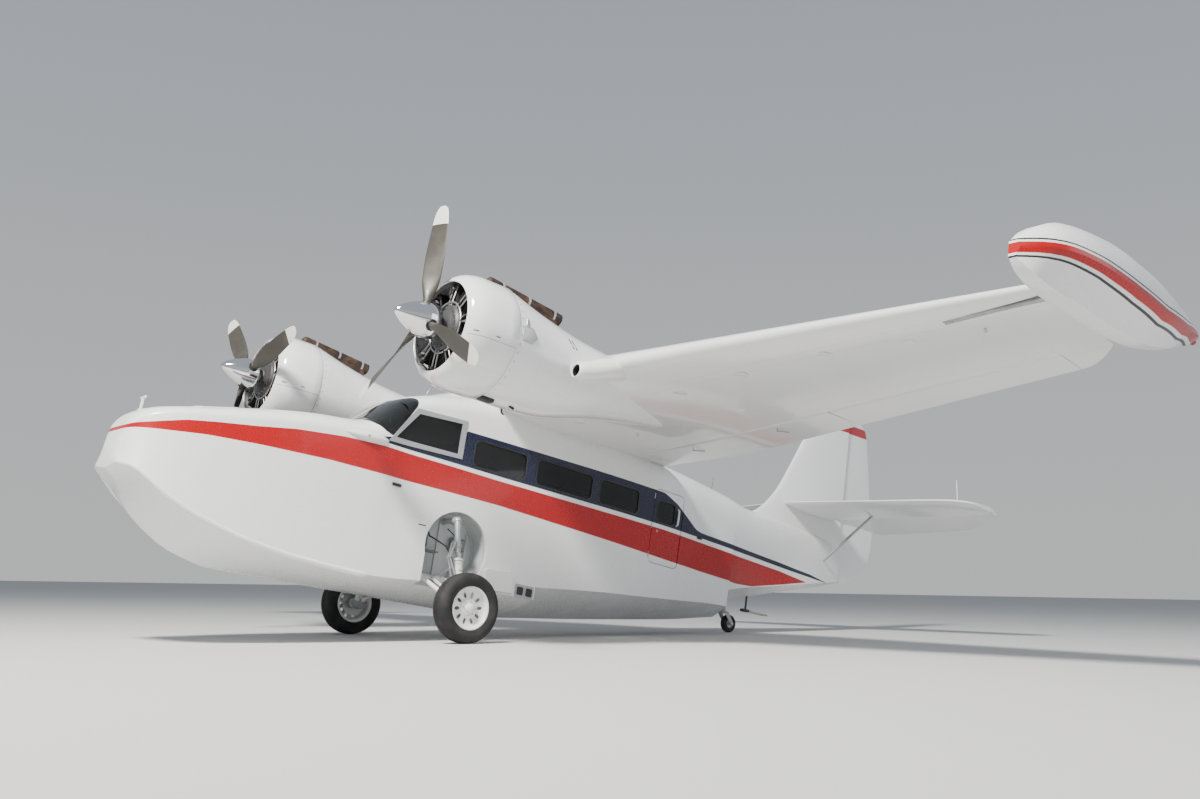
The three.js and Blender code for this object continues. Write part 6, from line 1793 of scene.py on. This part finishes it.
blister_shape = blister()
blister_port = turned([(0.0, 0.0145), (0.004, 0.0145), (0.005, 0.012), (0.005, 0.0)],
                      (hull_x(2.310, 2.478) + 0.041, 2.310, 2.487), "x", 24)
rail_rings = []
for y in [0.03, 0.06, 0.1, 0.16, 0.24, 0.34, 0.46, 0.6] + list(np.linspace(0.75, 2.50, 22)) + [
        2.54, 2.57, 2.59]:
    _, chine_x, chine_z = bottom_lines[0](y)
    size = min(0.35 + y * 1.6, 1.0) * (1.0
                                       if y <= 2.5 else math.sqrt(max(1 - ((y - 2.5) / 0.095) ** 2,
                                                                      0.02)))
    rail_rings.append([(chine_x + dx * size, y, chine_z + dz * size) for dx, dz in
                       ((-0.014, 0.022), (0.004, 0.020), (0.018, 0.008), (0.022, -0.008),
                        (0.016, -0.026), (0.006, -0.036), (-0.006, -0.034), (-0.016, -0.014))])
spray_rail = welded(*skin(rail_rings))
fairing = hull_plate(fine([(4.020, 1.180), (4.005, 1.395), (4.030, 1.420), (4.385, 1.440),
                           (4.405, 1.425), (4.425, 1.200)], 0.06), 0.042, 0.016)
vent_plate = hull_plate(fine(rounded(4.470, 4.735, 1.180, 1.330, 0.014), 0.05), 0.005)
# Each air hole is a black plate on the vent plate: painted shade for the dark inside of the hole.
vent_holes = joined(hull_plate(rounded(4.492, 4.585, 1.208, 1.302, 0.018), 0.0062, 0.001),
                    hull_plate(rounded(4.618, 4.712, 1.208, 1.302, 0.018), 0.0062, 0.001))
vent_rims = joined(*[frame_strip(rounded(y0, y1, 1.208, 1.302, 0.018),
                                 rounded(y0 - 0.008, y1 + 0.008, 1.200, 1.310, 0.024), 0.009)
                     for y0, y1 in ((4.492, 4.585), (4.618, 4.712))])
# The step slot and the drain slot are black plates: painted shade for the dark inside of each slot.
# The tie point is a small black plate.
step_slot = hull_plate(rounded(2.700, 2.815, 2.052, 2.082, 0.013), 0.002, 0.001)
step_rim = frame_strip(rounded(2.700, 2.815, 2.052, 2.082, 0.013),
                       rounded(2.692, 2.823, 2.044, 2.090, 0.020), 0.005)
drain_slot = hull_plate(rounded(3.095, 3.190, 1.712, 1.724, 0.005), 0.002, 0.001)
tie_point = hull_plate(rounded(7.330, 7.440, 2.432, 2.456, 0.010), 0.004, 0.001)
for side, label, flip in SIDES:
    for name, shape, finish in (
            ("blister", blister_shape, white_paint), ("blister_ring", blister_port, frame_grey),
            ("spray_rail", spray_rail, white_paint), ("wheel_fairing", fairing, white_paint),
            ("vent_plate", joined(vent_plate, vent_rims), frame_grey),
            ("vent_holes", vent_holes, engine_black_and_hole_shade), ("step_rim", step_rim, frame_grey),
            ("step_slots", joined(step_slot, drain_slot, tie_point), engine_black_and_hole_shade)):
        seat_piece(make_piece(f"{name}_{label}", *flip(shape), finish))
print("spray rail ends at station", rail_rings[-1][0][1])

# %% [markdown]
# ### Bow locker and mooring bitt
# The lid of the bow locker is a curved plate that stands a little proud of the deck. Ahead of it
# is the T of the mooring bitt.
# %% Locker lid and bitt
def deck_plate(outline, low, high, edge=0.006, keep=(0.8, 0.55, 0.3, 0.08)):
    cx, cy = np.mean([p[0] for p in outline]), np.mean([p[1] for p in outline])
    spread = max(math.dist(p, (cx, cy)) for p in outline)

    def ring(pull, lift):
        return [((x - cx) * pull + cx, (y - cy) * pull + cy,
                 deck_z((y - cy) * pull + cy, (x - cx) * pull + cx) + lift) for x, y in outline]

    rings = [ring(1, low), ring(1, high - edge * 0.5), ring(1 - edge / spread, high)]
    return welded(*skin(rings + [ring(pull, high) for pull in keep]))


lid_outline = fine(rounded(-0.232, 0.232, 0.645, 1.115, 0.07), 0.06)
lid = deck_plate(lid_outline, 0.0015, 0.0155)
seat_piece(make_piece("locker_lid", *lid, white_paint), "bow_hatch", ("bow_hatch",))
lid_handle = bar([(x, 0.735, deck_z(0.735, x) + lift) for x, lift in
                  ((-0.055, 0.012), (-0.050, 0.030), (-0.02, 0.036), (0.02, 0.036), (0.050, 0.030),
                   (0.055, 0.012))], 0.006, 10)
seat_piece(make_piece("locker_handle", *lid_handle, bare_metal), "bow_hatch")
BITT_STATION, BITT_TOP = 0.215, 2.405
bitt = joined(along((0, BITT_STATION, deck_z(BITT_STATION, 0) - 0.01),
                    (0, BITT_STATION, BITT_TOP - 0.012),
                    (0, 0.030), (0.07, 0.030), (0.10, 0.0145), (1, 0.0145)),
              along((-0.075, BITT_STATION, BITT_TOP - 0.012),
                    (0.075, BITT_STATION, BITT_TOP - 0.012),
                    (0, 0.006), (0.03, 0.0115), (0.97, 0.0115), (1, 0.006)))
seat_piece(make_piece("mooring_bitt", *bitt, gear_white))
print("bitt top:", BITT_TOP)

# %% [markdown]
# ### Handles, lamps and aerials
# Small things tell the eye how big the boat is: the door's grab handle, a red beacon, whip and
# blade aerials, the air inlets and the fittings under the wing.
# %% Handles, lamps and aerials
handle_x = hull_x(6.900, 2.62)
door_handle = joined(bar([(handle_x - 0.004, 6.905, 2.500), (handle_x + 0.022, 6.905, 2.520),
                          (handle_x + 0.028, 6.905, 2.600), (handle_x + 0.024, 6.905, 2.700),
                          (handle_x - 0.006, 6.905, 2.722)], [0.010, 0.0125, 0.0125, 0.0125, 0.010],
                          14))
seat_piece(make_piece("door_handle", *door_handle, gear_white), "cabin_door")
door_lock = turned([(0.0, 0.014), (0.004, 0.014), (0.005, 0.011), (0.005, 0.0)],
                   (hull_x(6.56, 2.37), 6.56, 2.370), "x", 20)
seat_piece(make_piece("door_lock", *door_lock, bare_metal), "cabin_door")
hinge_knuckles = joined(*[along((hull_x(6.452, z) + 0.004, 6.449, z - 0.035),
                                (hull_x(6.452, z) + 0.004, 6.449, z + 0.035), (0, 0.0055),
                                (1, 0.0055))
                          for z in (2.06, 2.42, 2.80)])
seat_piece(make_piece("door_hinges", *hinge_knuckles, frame_grey))


def blade_aerial(y, height, chord=0.11):
    base = deck_z(y, 0)
    rings = []
    for t in np.linspace(0, 1, 8):
        c, sweep = chord * (1 - 0.45 * t), 0.06 * t
        rings.append([(0.008 * (1 - 0.4 * t) * math.sin(a), y + sweep + c / 2 * math.cos(a),
                       base - 0.006 + (height + 0.006) * t) for a in
                      np.linspace(0, 2 * math.pi, 20, endpoint=False)])
    return welded(*skin(rings))


beacon_base = deck_z(7.94, 0)
beacon = turned([(-0.006, 0.034), (0.012, 0.034), (0.040, 0.031), (0.058, 0.020), (0.066, 0.0)],
                (0, 7.94, beacon_base), "z", 28)
seat_piece(make_piece("beacon_lamp", *beacon, lamp_red))
seat_piece(make_piece("beacon_foot", *turned([(-0.012, 0.042), (0.006, 0.042), (0.010, 0.036),
                                              (0.010, 0.0)], (0, 7.94, beacon_base), "z", 28),
                      frame_grey))
seat_piece(make_piece("blade_aerials",
                      *joined(blade_aerial(7.70, 0.085), blade_aerial(8.215, 0.075)), white_paint))
whip_foot = deck_z(8.11, 0)
whip = along((0, 8.11, whip_foot - 0.01), (0, 8.125, whip_foot + 0.26), (0, 0.010), (0.10, 0.009),
             (0.12, 0.0032), (1, 0.0022))
roof_aerial = joined(along((0.04, 3.30, deck_z(3.30, 0.04) - 0.01),
                           (0.04, 3.315, deck_z(3.3, 0.04) + 0.05),
                           (0, 0.030), (0.5, 0.024), (1, 0.006)),
                     along((0.04, 3.315, deck_z(3.3, 0.04) + 0.045),
                           (0.04, 3.34, deck_z(3.3, 0.04) + 0.13), (0, 0.0045), (1, 0.0025)))
tail_mast = along((2.45, 10.40, 3.500), (2.45, 10.34, 3.830), (0, 0.010), (0.05, 0.010),
                  (0.08, 0.006), (1, 0.005))
seat_piece(make_piece("whip_aerial", *whip, panel_black))
seat_piece(make_piece("roof_aerial", *roof_aerial, frame_grey))
seat_piece(make_piece("tail_mast", *tail_mast, white_paint))
print("beacon stands at height", round(beacon_base, 3))

# %% Air inlets and fittings under the wing
INLET = (2.640, 3.436, 3.300)
inlet_rings = [[(INLET[0] + r * math.cos(a), y, INLET[2] + r * math.sin(a))
                for a in np.linspace(0, 2 * math.pi, 40, endpoint=False)]
               for y, r in ((3.600, 0.058), (3.446, 0.062), (3.437, 0.066), (3.435, 0.070),
                            (3.439, 0.075))]
inlet_line = ease([(3.450, 2.640, 3.302, 0.083, 0.083), (3.50, 2.640, 3.313, 0.098, 0.097),
                   (3.60, 2.645, 3.342, 0.122, 0.114), (3.72, 2.655, 3.388, 0.150, 0.128),
                   (3.86, 2.665, 3.432, 0.170, 0.130), (4.05, 2.670, 3.465, 0.165, 0.105),
                   (4.30, 2.660, 3.490, 0.120, 0.060)])
for y in np.linspace(3.450, 4.300, 18):
    cx, cz, wide, high = inlet_line(y)
    inlet_rings.append([(cx + wide * math.cos(a), y, cz + high * math.sin(a))
                        for a in np.linspace(0, 2 * math.pi, 40, endpoint=False)])
inlet_shape = welded(*skin(inlet_rings))
# A black cup inside each inlet's mouth: painted shade for the dark inside of the duct.
inlet_throat = turned([(3.450, 0.0615), (3.595, 0.0585), (3.595, 0.0), (3.585, 0.0), (3.585, 0.050),
                       (3.450, 0.0590), (3.450, 0.0615)], (INLET[0], 0, INLET[2]), "y", 40)


def wing_low(x, y):
    lead, length, lead_z, trail_z, thickness = chord_at(x)
    u = (y - lead) / length
    return (lead_z + (trail_z - lead_z) * u
            + (4 * CAMBER * u * (1 - u) - half_thickness(thickness, u)) * length)


def under_disc(x, y, radius, drop=0.003):
    z = wing_low(x, y)
    return turned([(0.004, 0.0), (0.004, radius), (-drop * 0.5, radius), (-drop, radius * 0.93),
                   (-drop, 0.0)], (x, y, z), "z", 28)


def under_ring(x, y, radius=0.018):
    z = wing_low(x, y) - radius - 0.002
    return bar([(x, y + radius * math.cos(a), z + radius * math.sin(a))
                for a in np.linspace(math.pi / 2 - 0.35, math.pi / 2 + 2 * math.pi - 0.7, 18)],
                0.004, 8)


covers = joined(*[under_disc(x, y, r) for x, y, r in
                  ((1.00, 3.98, 0.062), (1.30, 4.62, 0.075), (3.05, 4.50, 0.075),
                   (3.95, 4.45, 0.075),
                   (4.95, 4.48, 0.070), (5.75, 4.62, 0.065), (3.20, 5.25, 0.050))])
tie_rings = joined(under_ring(6.45, 4.68), under_ring(1.55, 5.30))
tab_arms = joined(*[bar([(x, y, wing_low(x, y) + 0.008), (x, y + 0.01, wing_low(x, y) - 0.035),
                         (x, y + 0.20, wing_low(x, y + 0.20) - 0.002)], [0.008, 0.008, 0.005], 10)
                    for x, y in ((1.65, 6.10), (3.10, 5.95))])
for side, label, flip in SIDES:
    seat_piece(make_piece("air_inlet_" + label, *flip(inlet_shape), cowl_paint))
    seat_piece(make_piece("inlet_throat_" + label, *flip(inlet_throat), engine_black_and_hole_shade))
    seat_piece(make_piece("wing_covers_" + label, *flip(covers), wing_paint))
    seat_piece(make_piece("wing_rings_" + label, *flip(tie_rings), bare_metal))
    seat_piece(make_piece("tab_arms_" + label, *flip(tab_arms), gear_grey), "flap_" + label)
print("wing covers:", 7 * 2)
# %% [markdown]
# ## The cabin
# The inside shows through dark glass, so it needs the right shapes and no more: a floor, a panel
# with round dials, a column with two yokes, and padded seats.
# %% Floor and panel
floor_plate = make_piece("cabin_floor_sheet", *block(-0.9, 0.9, 2.46, 7.12, 1.510, 1.540, 0.004),
                         trim_grey)
carve(floor_plate, ("INTERSECT", room_shape(SKIN + 0.002, 2.44, 7.13)),
      ("DIFFERENCE", joined(block(0.369, 0.95, 3.085, 4.125, 1.3, 2.02, 0.002),
                            block(-0.95, -0.369, 3.085, 4.125, 1.3, 2.02, 0.002))))
seat_piece(floor_plate, stands_for=("cabin_floor",))
panel = [block(-0.625, 0.625, 2.610, 2.672, 2.335, 2.600, 0.02),
         block(-0.130, 0.130, 2.620, 2.930, 2.080, 2.330, 0.02)]
hood = skin([[(x, 2.575, 2.600 + 0.060 * math.cos(x * 2.1)),
              (x, 2.640, 2.625 + 0.065 * math.cos(x * 2.1)),
              (x, 2.720, 2.618 + 0.060 * math.cos(x * 2.1)),
              (x, 2.718, 2.604 + 0.055 * math.cos(x * 2.1)),
              (x, 2.580, 2.585)] for x in np.linspace(-0.60, 0.60, 17)])
panel_piece = make_piece("panel_board", *joined(*panel, welded(*hood)), panel_black)
seat_piece(panel_piece, stands_for=("instrument_panel",))
dial_rows = [(x, z) for z in (2.545, 2.455, 2.375) for x in
             (-0.50, -0.41, -0.32, -0.23, -0.10, 0.0, 0.10, 0.23, 0.32, 0.41, 0.50)]
dials = joined(*[turned([(0.0, 0.0), (0.0, 0.036), (0.004, 0.036), (0.006, 0.033), (0.0015, 0.031),
                         (0.0015, 0.0)], (x, 2.6725, z), "y", 20) for x, z in dial_rows])
seat_piece(make_piece("panel_dials", *dials, ring_white))
print("dials:", len(dial_rows))

# %% Column and yokes
def yoke(x):
    rim = [(x + 0.150 * math.sin(a), 2.832 + 0.02 * math.cos(a), 2.270 - 0.135 * math.cos(a))
           for a in np.radians(np.linspace(-130, 130, 22))]
    return joined(bar(rim, 0.0135, 12), bar([rim[0], (x, 2.835, 2.30), rim[-1]], 0.011, 10),
                  bar([(x, 2.835, 2.30), (x, 2.80, 2.29), (x, 2.795, 2.285)], 0.026, 14))


column = joined(along((0, 2.800, 1.545), (0, 2.800, 2.300), (0, 0.040), (0.05, 0.030), (1, 0.026)),
                along((-0.330, 2.800, 2.285), (0.330, 2.800, 2.285), (0, 0.020), (1, 0.020)),
                yoke(0.330), yoke(-0.330))
seat_piece(make_piece("yoke_column", *column, panel_black), stands_for=("control_yokes",))
print("yokes: 2")

# %% [markdown]
# ### Padded seats
# A seat is a cushion and a back, each a closed crowned form. The pads are swollen with the cloth
# solver: a slightly small pad is remeshed, blown up a little from inside, and its movement capped.
# Each seat then gets its metal frame.
# %% Swelling a pad with cloth
CREW_SEATS = [(x, 2.930, 2.030, 0.430) for x in (0.330, -0.330)]
CABIN_SEATS = [(x, y, 1.850, 0.520) for y in (4.200, 5.050) for x in (0.335, -0.335)]
SWELL_CAP = 0.016
PAD_VOXEL, SWELL_FRAMES, SWELL_PRESSURE = 0.016, 20, 4.0
SEAT_FLOOR = 1.545


def pad_shape(x0, x1, y0, y1, z0, z1, lean=0.0):
    """A soft-edged pad, as rings from its foot to its top, leaning aft by so much."""
    rings, mx, my = [], (x0 + x1) / 2, (y0 + y1) / 2
    hx, hy = (x1 - x0) / 2, (y1 - y0) / 2
    for t, pull in ((0, 0.80), (0.10, 0.93), (0.25, 0.985), (0.5, 1.0), (0.75, 0.985), (0.9, 0.93),
                    (1.0, 0.80)):
        ring = []
        for a in np.linspace(0, 2 * math.pi, 32, endpoint=False):
            c, s = math.cos(a), math.sin(a)
            k = (abs(c) ** 5 + abs(s) ** 5) ** (-0.2)
            ring.append((mx + hx * pull * c * k, my + hy * pull * s * k + lean * t,
                         z0 + (z1 - z0) * t))
        rings.append(ring)
    return welded(*skin(rings))


def swollen(piece, size=PAD_VOXEL):
    """Blows a pad up from inside and keeps the result as plain mesh."""
    scene = bpy.context.scene
    remesh = piece.modifiers.new("even", "REMESH")
    remesh.mode, remesh.voxel_size = "VOXEL", size
    graph = bpy.context.evaluated_depsgraph_get()
    even_mesh = bpy.data.meshes.new_from_object(piece.evaluated_get(graph))
    piece.modifiers.clear()
    finish, old = piece.data.materials[0], piece.data
    piece.data = even_mesh
    bpy.data.meshes.remove(old)
    start = np.empty(len(even_mesh.vertices) * 3)
    even_mesh.vertices.foreach_get("co", start)
    cloth = piece.modifiers.new("swell", "CLOTH")
    cloth.settings.use_pressure = True
    cloth.settings.uniform_pressure_force = SWELL_PRESSURE
    cloth.settings.effector_weights.gravity = 0.0
    cloth.settings.quality = 5
    cloth.point_cache.frame_start, cloth.point_cache.frame_end = 1, SWELL_FRAMES
    for frame_number in range(1, SWELL_FRAMES + 1):
        scene.frame_set(frame_number)
    graph = bpy.context.evaluated_depsgraph_get()
    blown = bpy.data.meshes.new_from_object(piece.evaluated_get(graph))
    end = np.empty(len(blown.vertices) * 3)
    blown.vertices.foreach_get("co", end)
    move = (end - start).reshape(-1, 3)
    length = np.linalg.norm(move, axis=1, keepdims=True)
    move *= np.minimum(1.0, SWELL_CAP / np.maximum(length, 1e-9))
    even_mesh.vertices.foreach_set("co", start + move.ravel())
    piece.modifiers.clear()
    bpy.data.meshes.remove(blown)
    scene.frame_set(1)
    if not even_mesh.materials:
        even_mesh.materials.append(finish)
    even_mesh.shade_smooth()
    return piece


frame_tubes, pad_rows = {}, {"crew": [], "cabin": []}
for kind, seats in (("crew", CREW_SEATS), ("cabin", CABIN_SEATS)):
    for x, y, z, wide in seats:
        half = wide / 2 - 0.020
        pad_rows[kind].append((x, pad_shape(x - half, x + half, y + 0.015, y + 0.395, z + 0.002,
                                            z + 0.078)))
        pad_rows[kind].append((x, pad_shape(x - half, x + half, y + 0.392, y + 0.485, z + 0.085,
                                            z + 0.620, 0.055)))
        for s in (-1, 1):
            tx = x + s * half * 0.86
            tube = joined(bar([(tx, y + 0.04, z - 0.004), (tx, y + 0.06, z - 0.15),
                               (tx, y + 0.05, SEAT_FLOOR)], 0.013, 10),
                          bar([(tx, y + 0.02, z - 0.006), (tx, y + 0.44, z - 0.006),
                               (tx, y + 0.47, SEAT_FLOOR)], 0.013, 10))
            frame_tubes.setdefault((kind, "port" if x > 0 else "starboard"), []).append(tube)
pad_count = 0
for kind, node in (("crew", "crew_seat_"), ("cabin", "cabin_seats_")):
    for i, (x, shape) in enumerate(pad_rows[kind]):
        label = "port" if x > 0 else "starboard"
        pad = make_piece(f"{kind}_pad_{i}_{label}", *shape, seat_cloth, 80)
        swollen(pad)
        smooth = pad.modifiers.new("smooth", "SUBSURF")
        smooth.levels = smooth.render_levels = 1
        first = i == next(n for n, row in enumerate(pad_rows[kind]) if (row[0] > 0) == (x > 0))
        seat_piece(pad, stands_for=(node + label,) if first else ())
        pad_count += 1
for (kind, label), tubes in frame_tubes.items():
    seat_piece(make_piece(f"{kind}_seat_frame_{label}", *joined(*tubes), frame_grey))
print("pads:", pad_count)

# %% [markdown]
# ## Rivets
# Sheet metal is held by thousands of rivets. One small dome is set on every point of a cloud
# that this cell lays along the real seams, and a stored direction turns each dome outward.
# %% Geometry Nodes: a dome on every point
rivet_tree, given, result = start_tree(
    "domes_on_points", ("Radius", "NodeSocketFloat"), ("Flatness", "NodeSocketFloat"))
dome = add_node(rivet_tree, "GeometryNodeMeshIcoSphere")
dome.inputs["Subdivisions"].default_value = 1
wire(rivet_tree, given.outputs["Radius"], dome.inputs["Radius"])
flatten = add_node(rivet_tree, "GeometryNodeTransform")
squash_by = add_node(rivet_tree, "ShaderNodeCombineXYZ")
squash_by.inputs[0].default_value = squash_by.inputs[1].default_value = 1.0
wire(rivet_tree, given.outputs["Flatness"], squash_by.inputs[2])
wire(rivet_tree, dome.outputs[0], flatten.inputs["Geometry"])
wire(rivet_tree, squash_by.outputs[0], flatten.inputs["Scale"])
outward = add_node(rivet_tree, "GeometryNodeInputNamedAttribute", data_type="FLOAT_VECTOR")
outward.inputs["Name"].default_value = "outward"
align = add_node(rivet_tree, "FunctionNodeAlignRotationToVector", axis="Z")
wire(rivet_tree, outward.outputs[0], align.inputs["Vector"])
placed = add_node(rivet_tree, "GeometryNodeInstanceOnPoints")
wire(rivet_tree, given.outputs["Geometry"], placed.inputs["Points"])
wire(rivet_tree, flatten.outputs[0], placed.inputs["Instance"])
wire(rivet_tree, align.outputs[0], placed.inputs["Rotation"])
end_tree(rivet_tree, given, result, placed)


def riveted(name, spots, finish, radius=0.0042, flatness=0.42):
    """Spots are (point, outward direction) on the level boat."""
    cloud_mesh = bpy.data.meshes.new(name)
    cloud_mesh.from_pydata([tuple(p) for p, _ in spots], [], [])
    stored = cloud_mesh.attributes.new("outward", "FLOAT_VECTOR", "POINT")
    stored.data.foreach_set("vector", [c for _, n in spots for c in n])
    piece = run_tree(rivet_tree, name, cloud_mesh, Matrix.Identity(4), 80, Radius=radius,
                     Flatness=flatness, Finish=finish)
    return seat_piece(piece)


print("rivet tree inputs:", [i.name for i in rivet_tree.interface.items_tree])

# %% [markdown]
# ### Where the rivets go
# On the hull they run down the frames, along the chine and along the seams of the deck. On the
# wing they follow the spars and ribs. None may hang over a window, the door or a well.
# %% Rivets on hull, wing and tail
def hull_spot(y, z):
    dy, dz = 0.01, 0.01
    across = Vector((hull_x(y + dy, z) - hull_x(y - dy, z), 2 * dy, 0))
    upward_edge = Vector((hull_x(y, z + dz) - hull_x(y, z - dz), 0, 2 * dz))
    out = across.cross(upward_edge)
    out = out if out.x > 0 else -out
    return (hull_x(y, z), y, z), tuple(out.normalized())


def far_side(spots):
    return [((-p[0], p[1], p[2]), (-n[0], n[1], n[2])) for p, n in spots]


def clear_of_holes(y, z):
    inside = [a - 0.02 < y < b + 0.02 and WINDOW_FOOT - 0.02 < z < WINDOW_HEAD + 0.02
              for a, b in WINDOWS + [(6.52, 6.87)]]
    inside.append(2.54 < y < 3.52 and 2.49 < z < 2.99)
    inside.append(math.dist((y, z), (WELL_STATION, WELL_HEIGHT)) < WELL_RADIUS + 0.015)
    inside.append(3.21 < y < 3.91 and z < 1.55)
    inside.append(3.99 < y < 4.76 and 1.14 < z < 1.46)
    inside.append(6.44 < y < 7.03 and 1.95 < z < 2.92)
    return not any(inside)


RIVET_GAP = 0.055
hull_spots = []
for y in (0.72, 1.26, 1.80, 2.34, 2.90, 4.15, 4.70, 5.25, 5.80, 6.35, 7.15, 7.75, 8.35, 8.95, 9.55,
          10.1):
    _, _, foot = bottom_lines[run_of(y)](y)
    head = float(top_line(y)[1])
    count = int((head - foot - 0.06) / RIVET_GAP)
    hull_spots += [hull_spot(y, foot + 0.03 + i * RIVET_GAP) for i in range(count)
                   if clear_of_holes(y, foot + 0.03 + i * RIVET_GAP)]
for lift in (0.035, 0.42):
    y = 0.35
    while y < 8.1:
        z = float(bottom_lines[run_of(y)](y)[2]) + lift
        under_shoulder = z < float(top_line(y)[1]) - 0.05
        if clear_of_holes(y, z) and under_shoulder and not (lift < 0.1 and y < 2.62):
            hull_spots.append(hull_spot(y, z))
        y += RIVET_GAP
deck_spots = []
for y in (0.56, 1.30, 1.85, 7.45, 8.05, 8.75, 9.40):
    top = float(top_line(y)[0]) * 0.86
    for x in np.linspace(-top, top, int(2 * top / 0.06)):
        slope = (deck_z(y, x + 0.01) - deck_z(y, x - 0.01)) / 0.02
        deck_spots.append(((x, y, deck_z(y, x)), tuple(Vector((-slope, -0.05, 1)).normalized())))
all_spots = hull_spots + far_side(hull_spots) + deck_spots
riveted("hull_rivets", all_spots, hull_paint)


def wing_spot(x, u, face):
    p = section_point(x, u, face)
    q = section_point(x, min(u + 0.01, 1), face)
    edge = Vector(q) - Vector(p)
    normal = Vector((0, -edge.z, edge.y)).normalized() * face
    return p, tuple(normal)


wing_spots = []
for x in (0.95, 1.40, 2.72, 3.30, 3.90, 4.45, 5.00, 5.55, 6.10, 6.65):
    stop = hinge_share(x, FLAP if x < BRACKET else AILERON) - 0.06
    for u in np.arange(0.05, stop, RIVET_GAP / chord_at(x)[1]):
        wing_spots += [wing_spot(x, float(u), face) for face in (1, -1)]
for share in (0.13, 0.50):
    for x in np.arange(2.75, 6.95, 0.06):
        slot = 4.40 < section_point(float(x), share, -1)[1] < 4.52 and x > 6.15
        wing_spots += [wing_spot(float(x), share, face) for face in (1, -1)
                       if not (slot and face < 0)]
wing_spots += far_side(wing_spots)
riveted("wing_rivets", wing_spots, wing_paint, radius=0.0038)

fin_line = ease(np.array(FIN_ROWS, float) * MM)
tail_spots = []
for z in (3.30, 3.62, 3.95, 4.28, 4.62, 4.95):
    lead = float(fin_line(z)[0])
    for y in np.arange(lead + 0.12, fin_end - 0.03, 0.06):
        u = (y - lead) / (fin_end - lead)
        fullness = min(1.0, 1.35 * math.sqrt(u) * (1.16 - 0.42 * u))
        half = min(0.075, (fin_end - lead) * 0.3) * fullness
        tail_spots += [((s * half, float(y), z), (s, 0, 0)) for s in (1, -1)]
plane_line = ease(np.array(STABILIZER_ROWS, float) * MM)
for x in (0.35, 0.80, 1.25, 1.70, 2.15, 2.55):
    lead = float(plane_line(x)[0])
    for y in np.arange(lead + 0.1, plane_end - 0.03, 0.06):
        u = (y - lead) / (plane_end - lead)
        half = 0.06 * min(1.0, 1.35 * math.sqrt(u) * (1.16 - 0.42 * u))
        tail_spots += [((s * x, float(y), ELEVATOR_HEIGHT + f * half), (0, 0, f))
                       for s in (1, -1) for f in (1, -1)]
riveted("tail_rivets", tail_spots, tail_paint, radius=0.0036)
print("rivets:", len(all_spots) + len(wing_spots) + len(tail_spots))
# %% [markdown]
# ## Studio
# The boat stands on a pale floor that runs far behind it, so that no edge shows. A large soft key
# light hangs to the left and high, like an open sky, and a weaker one lifts the shaded side.
# %% Floor, light and sky
floor_paint, bench = start_finish("floor_paint", (0.55, 0.55, 0.545), 0.9, specular=0.0,
                                  dust_amount=0.05)
floor_rings = [[(r * math.cos(a), r * math.sin(a), 0.0)
                for a in np.linspace(0, 2 * math.pi, 96, endpoint=False)] for r in (12, 40, 160)]
floor_points, floor_faces = skin(floor_rings, ends=False)
hub = len(floor_points)
floor_points.append((0, 0, 0))
floor_faces = [f[::-1] for f in floor_faces] + [(hub, i, (i + 1) % 96) for i in range(96)]
floor_mesh = bpy.data.meshes.new("floor")
floor_mesh.from_pydata(floor_points, [], floor_faces)
floor_mesh.materials.append(floor_paint)
floor = bpy.data.objects.new("floor", floor_mesh)
bpy.context.scene.collection.objects.link(floor)

world = bpy.data.worlds.new("pale_sky")
bpy.context.scene.world = world
world.use_nodes = True
sky = world.node_tree
ground = sky.nodes["Background"]
sky_place = add_node(sky, "ShaderNodeTexCoord")
sky_parts = add_node(sky, "ShaderNodeSeparateXYZ")
wire(sky, sky_place.outputs["Generated"], sky_parts.inputs[0])
sky_fade = add_node(sky, "ShaderNodeMapRange", interpolation_type="SMOOTHSTEP")
wire(sky, sky_parts.outputs[2], sky_fade.inputs["Value"])
sky_fade.inputs["From Min"].default_value, sky_fade.inputs["From Max"].default_value = -0.02, 0.55
wire(sky, blend_colour(sky, sky_fade.outputs[0], (0.92, 0.93, 0.94), (0.62, 0.68, 0.76)),
     ground.inputs["Color"])
ground.inputs["Strength"].default_value = 0.62


def soft_light(name, place, aim, size, power, tint=(1, 1, 1)):
    lamp = bpy.data.lights.new(name, "AREA")
    lamp.shape, lamp.size, lamp.energy, lamp.color = "DISK", size, power, tint
    holder = bpy.data.objects.new(name, lamp)
    holder.location = place
    holder.rotation_euler = (Vector(aim) - Vector(place)).to_track_quat("-Z", "Y").to_euler()
    bpy.context.scene.collection.objects.link(holder)


soft_light("key_light", (6.0, -13.0, 16.0), (1.0, -1.0, 1.8), 3.0, 9000, (1.0, 0.965, 0.92))
soft_light("fill_light", (16.0, 6.0, 7.0), (0, 1, 1.6), 10.0, 400, (0.93, 0.96, 1.0))

# %% [markdown]
# ## Camera
# The photograph looks slightly up from knee height, off the port bow. Its place, lens and roll
# were found from the wheels, the wing tips and the floor line.
# %% Camera
YAW, PITCH, ROLL = (math.radians(v) for v in (49.98, 8.89, 0.92))
forward = Vector((-math.sin(YAW) * math.cos(PITCH), math.cos(YAW) * math.cos(PITCH),
                  math.sin(PITCH)))
rightward = Vector((math.cos(YAW), math.sin(YAW), 0))
upward = rightward.cross(forward)
tilted_right = rightward * math.cos(ROLL) + upward * math.sin(ROLL)
tilted_up = upward * math.cos(ROLL) - rightward * math.sin(ROLL)
lens = bpy.data.cameras.new("photo_camera")
lens.lens, lens.sensor_width, lens.clip_end = 35.64, 36.0, 500.0
camera = bpy.data.objects.new("photo_camera", lens)
turn = Matrix((tilted_right, tilted_up, -forward)).transposed().to_4x4()
camera.matrix_world = Matrix.Translation((11.748, -9.6165, 0.6209)) @ turn
bpy.context.scene.collection.objects.link(camera)
bpy.context.scene.camera = camera
print("camera looks along", tuple(round(v, 3) for v in forward))
